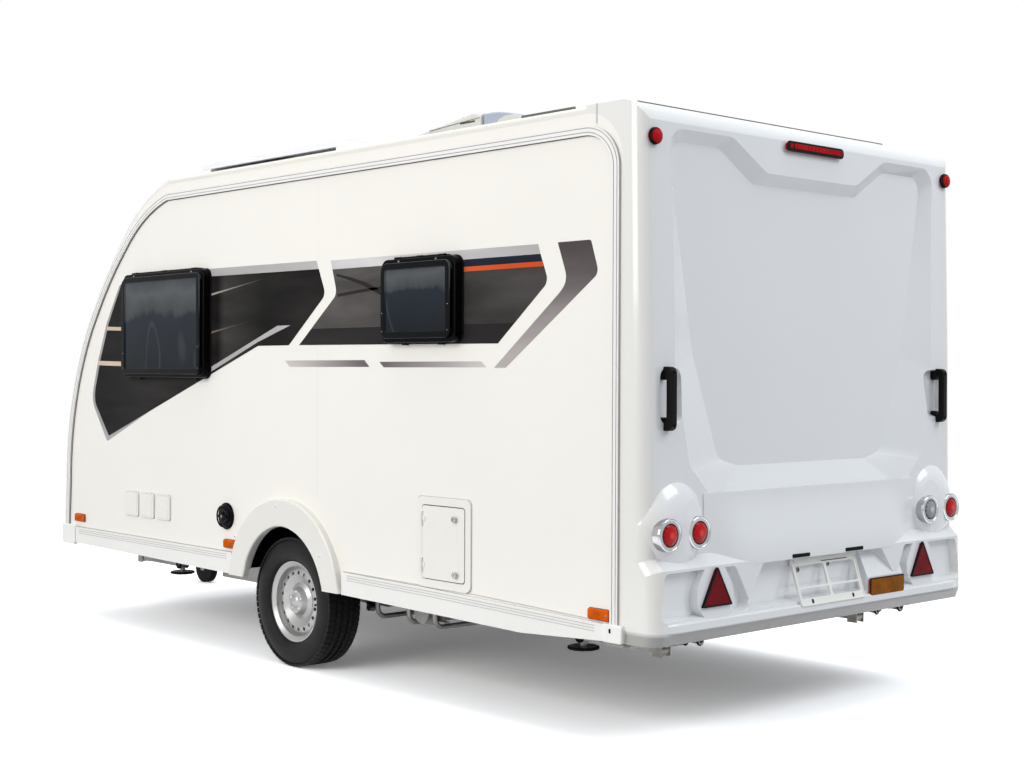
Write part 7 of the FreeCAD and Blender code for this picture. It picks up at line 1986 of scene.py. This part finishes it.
@dataclass
class Studio:
    """Pale floor, soft lamps and the camera."""

    camera_place: Triple = (-6.80706, 5.31197, 1.42791)
    yaw: float = -42.479
    pitch: float = -0.412
    roll: float = 0.232
    lens: float = 54.63
    floor_size: float = 120.0
    sky: tuple[tuple[float, Colour], ...] = (
        (0.0, (0.26, 0.265, 0.27)), (0.12, (0.34, 0.35, 0.36)), (0.45, (0.66, 0.69, 0.72)),
        (1.0, (0.84, 0.87, 0.92)),
    )

    def camera(self) -> None:
        """Set the camera at the photograph's angle."""
        yaw, pitch, roll = (math.radians(v) for v in (self.yaw, self.pitch, self.roll))
        ahead = Vector((math.cos(yaw) * math.cos(pitch), math.sin(yaw) * math.cos(pitch), math.sin(pitch)))
        right = ahead.cross(Vector((0, 0, 1))).normalized()
        up = right.cross(ahead)
        right_rolled = right * math.cos(roll) + up * math.sin(roll)
        up_rolled = up * math.cos(roll) - right * math.sin(roll)
        turn = Matrix((right_rolled, up_rolled, -ahead)).transposed().to_4x4()
        data = bpy.data.cameras.new("photo_camera")
        data.lens = self.lens
        data.sensor_width = 36.0
        data.sensor_fit = "HORIZONTAL"
        data.clip_end = 200.0
        camera = bpy.data.objects.new("photo_camera", data)
        camera.matrix_world = Matrix.Translation(Vector(self.camera_place)) @ turn
        bpy.context.scene.collection.objects.link(camera)
        bpy.context.scene.camera = camera

    def floor(self) -> None:
        """Lay the plain floor."""
        mesh = bmesh.new()
        bmesh.ops.create_grid(mesh, x_segments=1, y_segments=1, size=self.floor_size / 2)
        bmesh.ops.translate(mesh, vec=(0, 0, -0.001), verts=mesh.verts)
        data = bpy.data.meshes.new("floor")
        mesh.to_mesh(data)
        mesh.free()
        nodes = Nodes("studio_floor")
        tone = nodes.noise(0.8, 2.0)
        path = nodes.add("LightPath")
        shown = nodes.ramp(tone, [(0.3, (0.92, 0.92, 0.925)), (0.7, (0.93, 0.93, 0.935))])
        seen = nodes.math("MAXIMUM", path.outputs["Is Camera Ray"], path.outputs["Is Glossy Ray"])
        nodes.link(nodes.mix(seen, (0.36, 0.36, 0.37), shown), nodes.shader.inputs["Base Color"])
        nodes.set(Roughness=0.9, Specular_IOR_Level=0.1)
        lift = nodes.add("BsdfDiffuse")
        nodes.link(nodes.mix(seen, (0.0, 0.0, 0.0), (0.64, 0.64, 0.64)), lift.inputs["Color"])
        both = nodes.add("AddShader")
        nodes.link(nodes.shader.outputs[0], both.inputs[0])
        nodes.link(lift.outputs[0], both.inputs[1])
        white = nodes.add("Emission")
        white.inputs["Color"].default_value = (1.0, 1.0, 1.0, 1.0)
        split = nodes.add("SeparateXYZ")
        nodes.link(nodes.mapped((0.8, 1.0, 0.0), (0.4, 0, 0)), split.inputs[0])
        across = nodes.math("POWER", split.outputs[0], 2.0)
        along = nodes.math("POWER", split.outputs[1], 2.0)
        away = nodes.math("SQRT", nodes.math("ADD", across, along))
        fade = nodes.spread(away, 2.6, 6.5, 0.13, 1.0)
        seen = nodes.math("MULTIPLY", fade, seen)
        blend = nodes.add("MixShader")
        nodes.link(seen, blend.inputs[0])
        nodes.link(both.outputs[0], blend.inputs[1])
        nodes.link(white.outputs[0], blend.inputs[2])
        nodes.link(blend.outputs[0], nodes.out.inputs[0])
        data.materials.append(nodes.material)
        floor = bpy.data.objects.new("floor", data)
        bpy.context.scene.collection.objects.link(floor)

    def lamp(self, name: str, place: Triple, target: Triple,
             size: tuple[float, float], power: float, colour: Colour = (1, 1, 1)) -> None:
        """Hang one soft area lamp.

        Args:
            name: Name of the lamp.
            place: Where it hangs.
            target: The point that it faces.
            size: Its width and height.
            power: Its power in watts.
            colour: Its colour.
        """
        data = bpy.data.lights.new(name, "AREA")
        data.shape = "RECTANGLE"
        data.size, data.size_y = size
        data.energy = power
        data.color = colour
        lamp = bpy.data.objects.new(name, data)
        aim = (Vector(place) - Vector(target)).to_track_quat("Z", "Y")
        lamp.matrix_world = Matrix.Translation(Vector(place)) @ aim.to_matrix().to_4x4()
        lamp.visible_camera = False
        bpy.context.scene.collection.objects.link(lamp)

    def world(self) -> None:
        """Soft sky that lights the object, with white for camera, gloss and glass rays."""
        world = bpy.data.worlds.new("studio_world")
        world.use_nodes = True
        tree = world.node_tree
        tree.nodes.clear()
        out = tree.nodes.new("ShaderNodeOutputWorld")
        soft = tree.nodes.new("ShaderNodeBackground")
        split = tree.nodes.new("ShaderNodeSeparateXYZ")
        tree.links.new(tree.nodes.new("ShaderNodeTexCoord").outputs["Generated"], split.inputs[0])
        sky = tree.nodes.new("ShaderNodeValToRGB")
        fill_ramp(sky, list(self.sky))
        tree.links.new(split.outputs[2], sky.inputs["Fac"])
        tree.links.new(sky.outputs["Color"], soft.inputs["Color"])
        soft.inputs["Strength"].default_value = 1.0
        white = tree.nodes.new("ShaderNodeBackground")
        white.inputs["Color"].default_value = (1.0, 1.0, 1.0, 1.0)
        white.inputs["Strength"].default_value = 1.0
        path = tree.nodes.new("ShaderNodeLightPath")
        mix = tree.nodes.new("ShaderNodeMixShader")
        shown = path.outputs["Is Camera Ray"]
        for ray in ("Is Transmission Ray", "Is Glossy Ray"):
            either = tree.nodes.new("ShaderNodeMath")
            either.operation = "MAXIMUM"
            tree.links.new(shown, either.inputs[0])
            tree.links.new(path.outputs[ray], either.inputs[1])
            shown = either.outputs[0]
        tree.links.new(shown, mix.inputs[0])
        tree.links.new(soft.outputs[0], mix.inputs[1])
        tree.links.new(white.outputs[0], mix.inputs[2])
        tree.links.new(mix.outputs[0], out.inputs[0])
        bpy.context.scene.world = world

    def build(self) -> None:
        """Make the whole studio."""
        self.camera()
        self.floor()
        self.world()
        self.lamp("key_lamp", (-0.8, 9.8, 4.6), (-0.5, 0.0, 1.2), (7.0, 5.0), 578.0, (1.0, 0.985, 0.96))
        self.lamp("rear_lamp", (-8.5, -3.0, 7.5), (-2.5, 0.0, 1.3), (5.0, 4.0), 325.0, (0.94, 0.97, 1.0))
        self.lamp("top_lamp", (0.0, 0.0, 9.0), (0.0, 0.0, 0.0), (9.0, 6.0), 300.0)
        bpy.context.scene.view_settings.view_transform = "Standard"


def main() -> None:
    """Build every group in order and report it."""
    steps = [
        ("studio", Studio()),
        ("finishes", Dressing()),
        ("left graphics", SideGraphics(Side.LEFT)),
        ("right graphics", SideGraphics(Side.RIGHT)),
        ("left wheel", RoadWheel(Side.LEFT)),
        ("right wheel", RoadWheel(Side.RIGHT)),
        ("rear lamps", RearLamps()),
        ("left markers", SideMarkers(Side.LEFT)),
        ("right markers", SideMarkers(Side.RIGHT)),
        ("left front window", WindowDress("left_front_window", Side.LEFT, 0.685, 1.525, 1.396, 1.957, 0.09)),
        ("left rear window", WindowDress("left_rear_window", Side.LEFT, -1.305, -0.800, 1.557, 1.922, 0.16)),
        ("right window", WindowDress("right_window", Side.RIGHT, 0.685, 1.525, 1.396, 1.957, 0.09)),
        ("wall rails", WallRails()),
        ("hatches", Hatches()),
        ("tail", TailDetails()),
        ("left trims", SideTrims(Side.LEFT)),
        ("right trims", SideTrims(Side.RIGHT)),
        ("entrance door", EntranceDoor()),
        ("roof", RoofTop()),
        ("nose", Nose()),
        ("underside", Underside()),
    ]
    for name, group in steps:
        group.build()
        LOG.info("built %s", name)


if __name__ == "__main__":
    logging.basicConfig(level=logging.INFO)
    main()
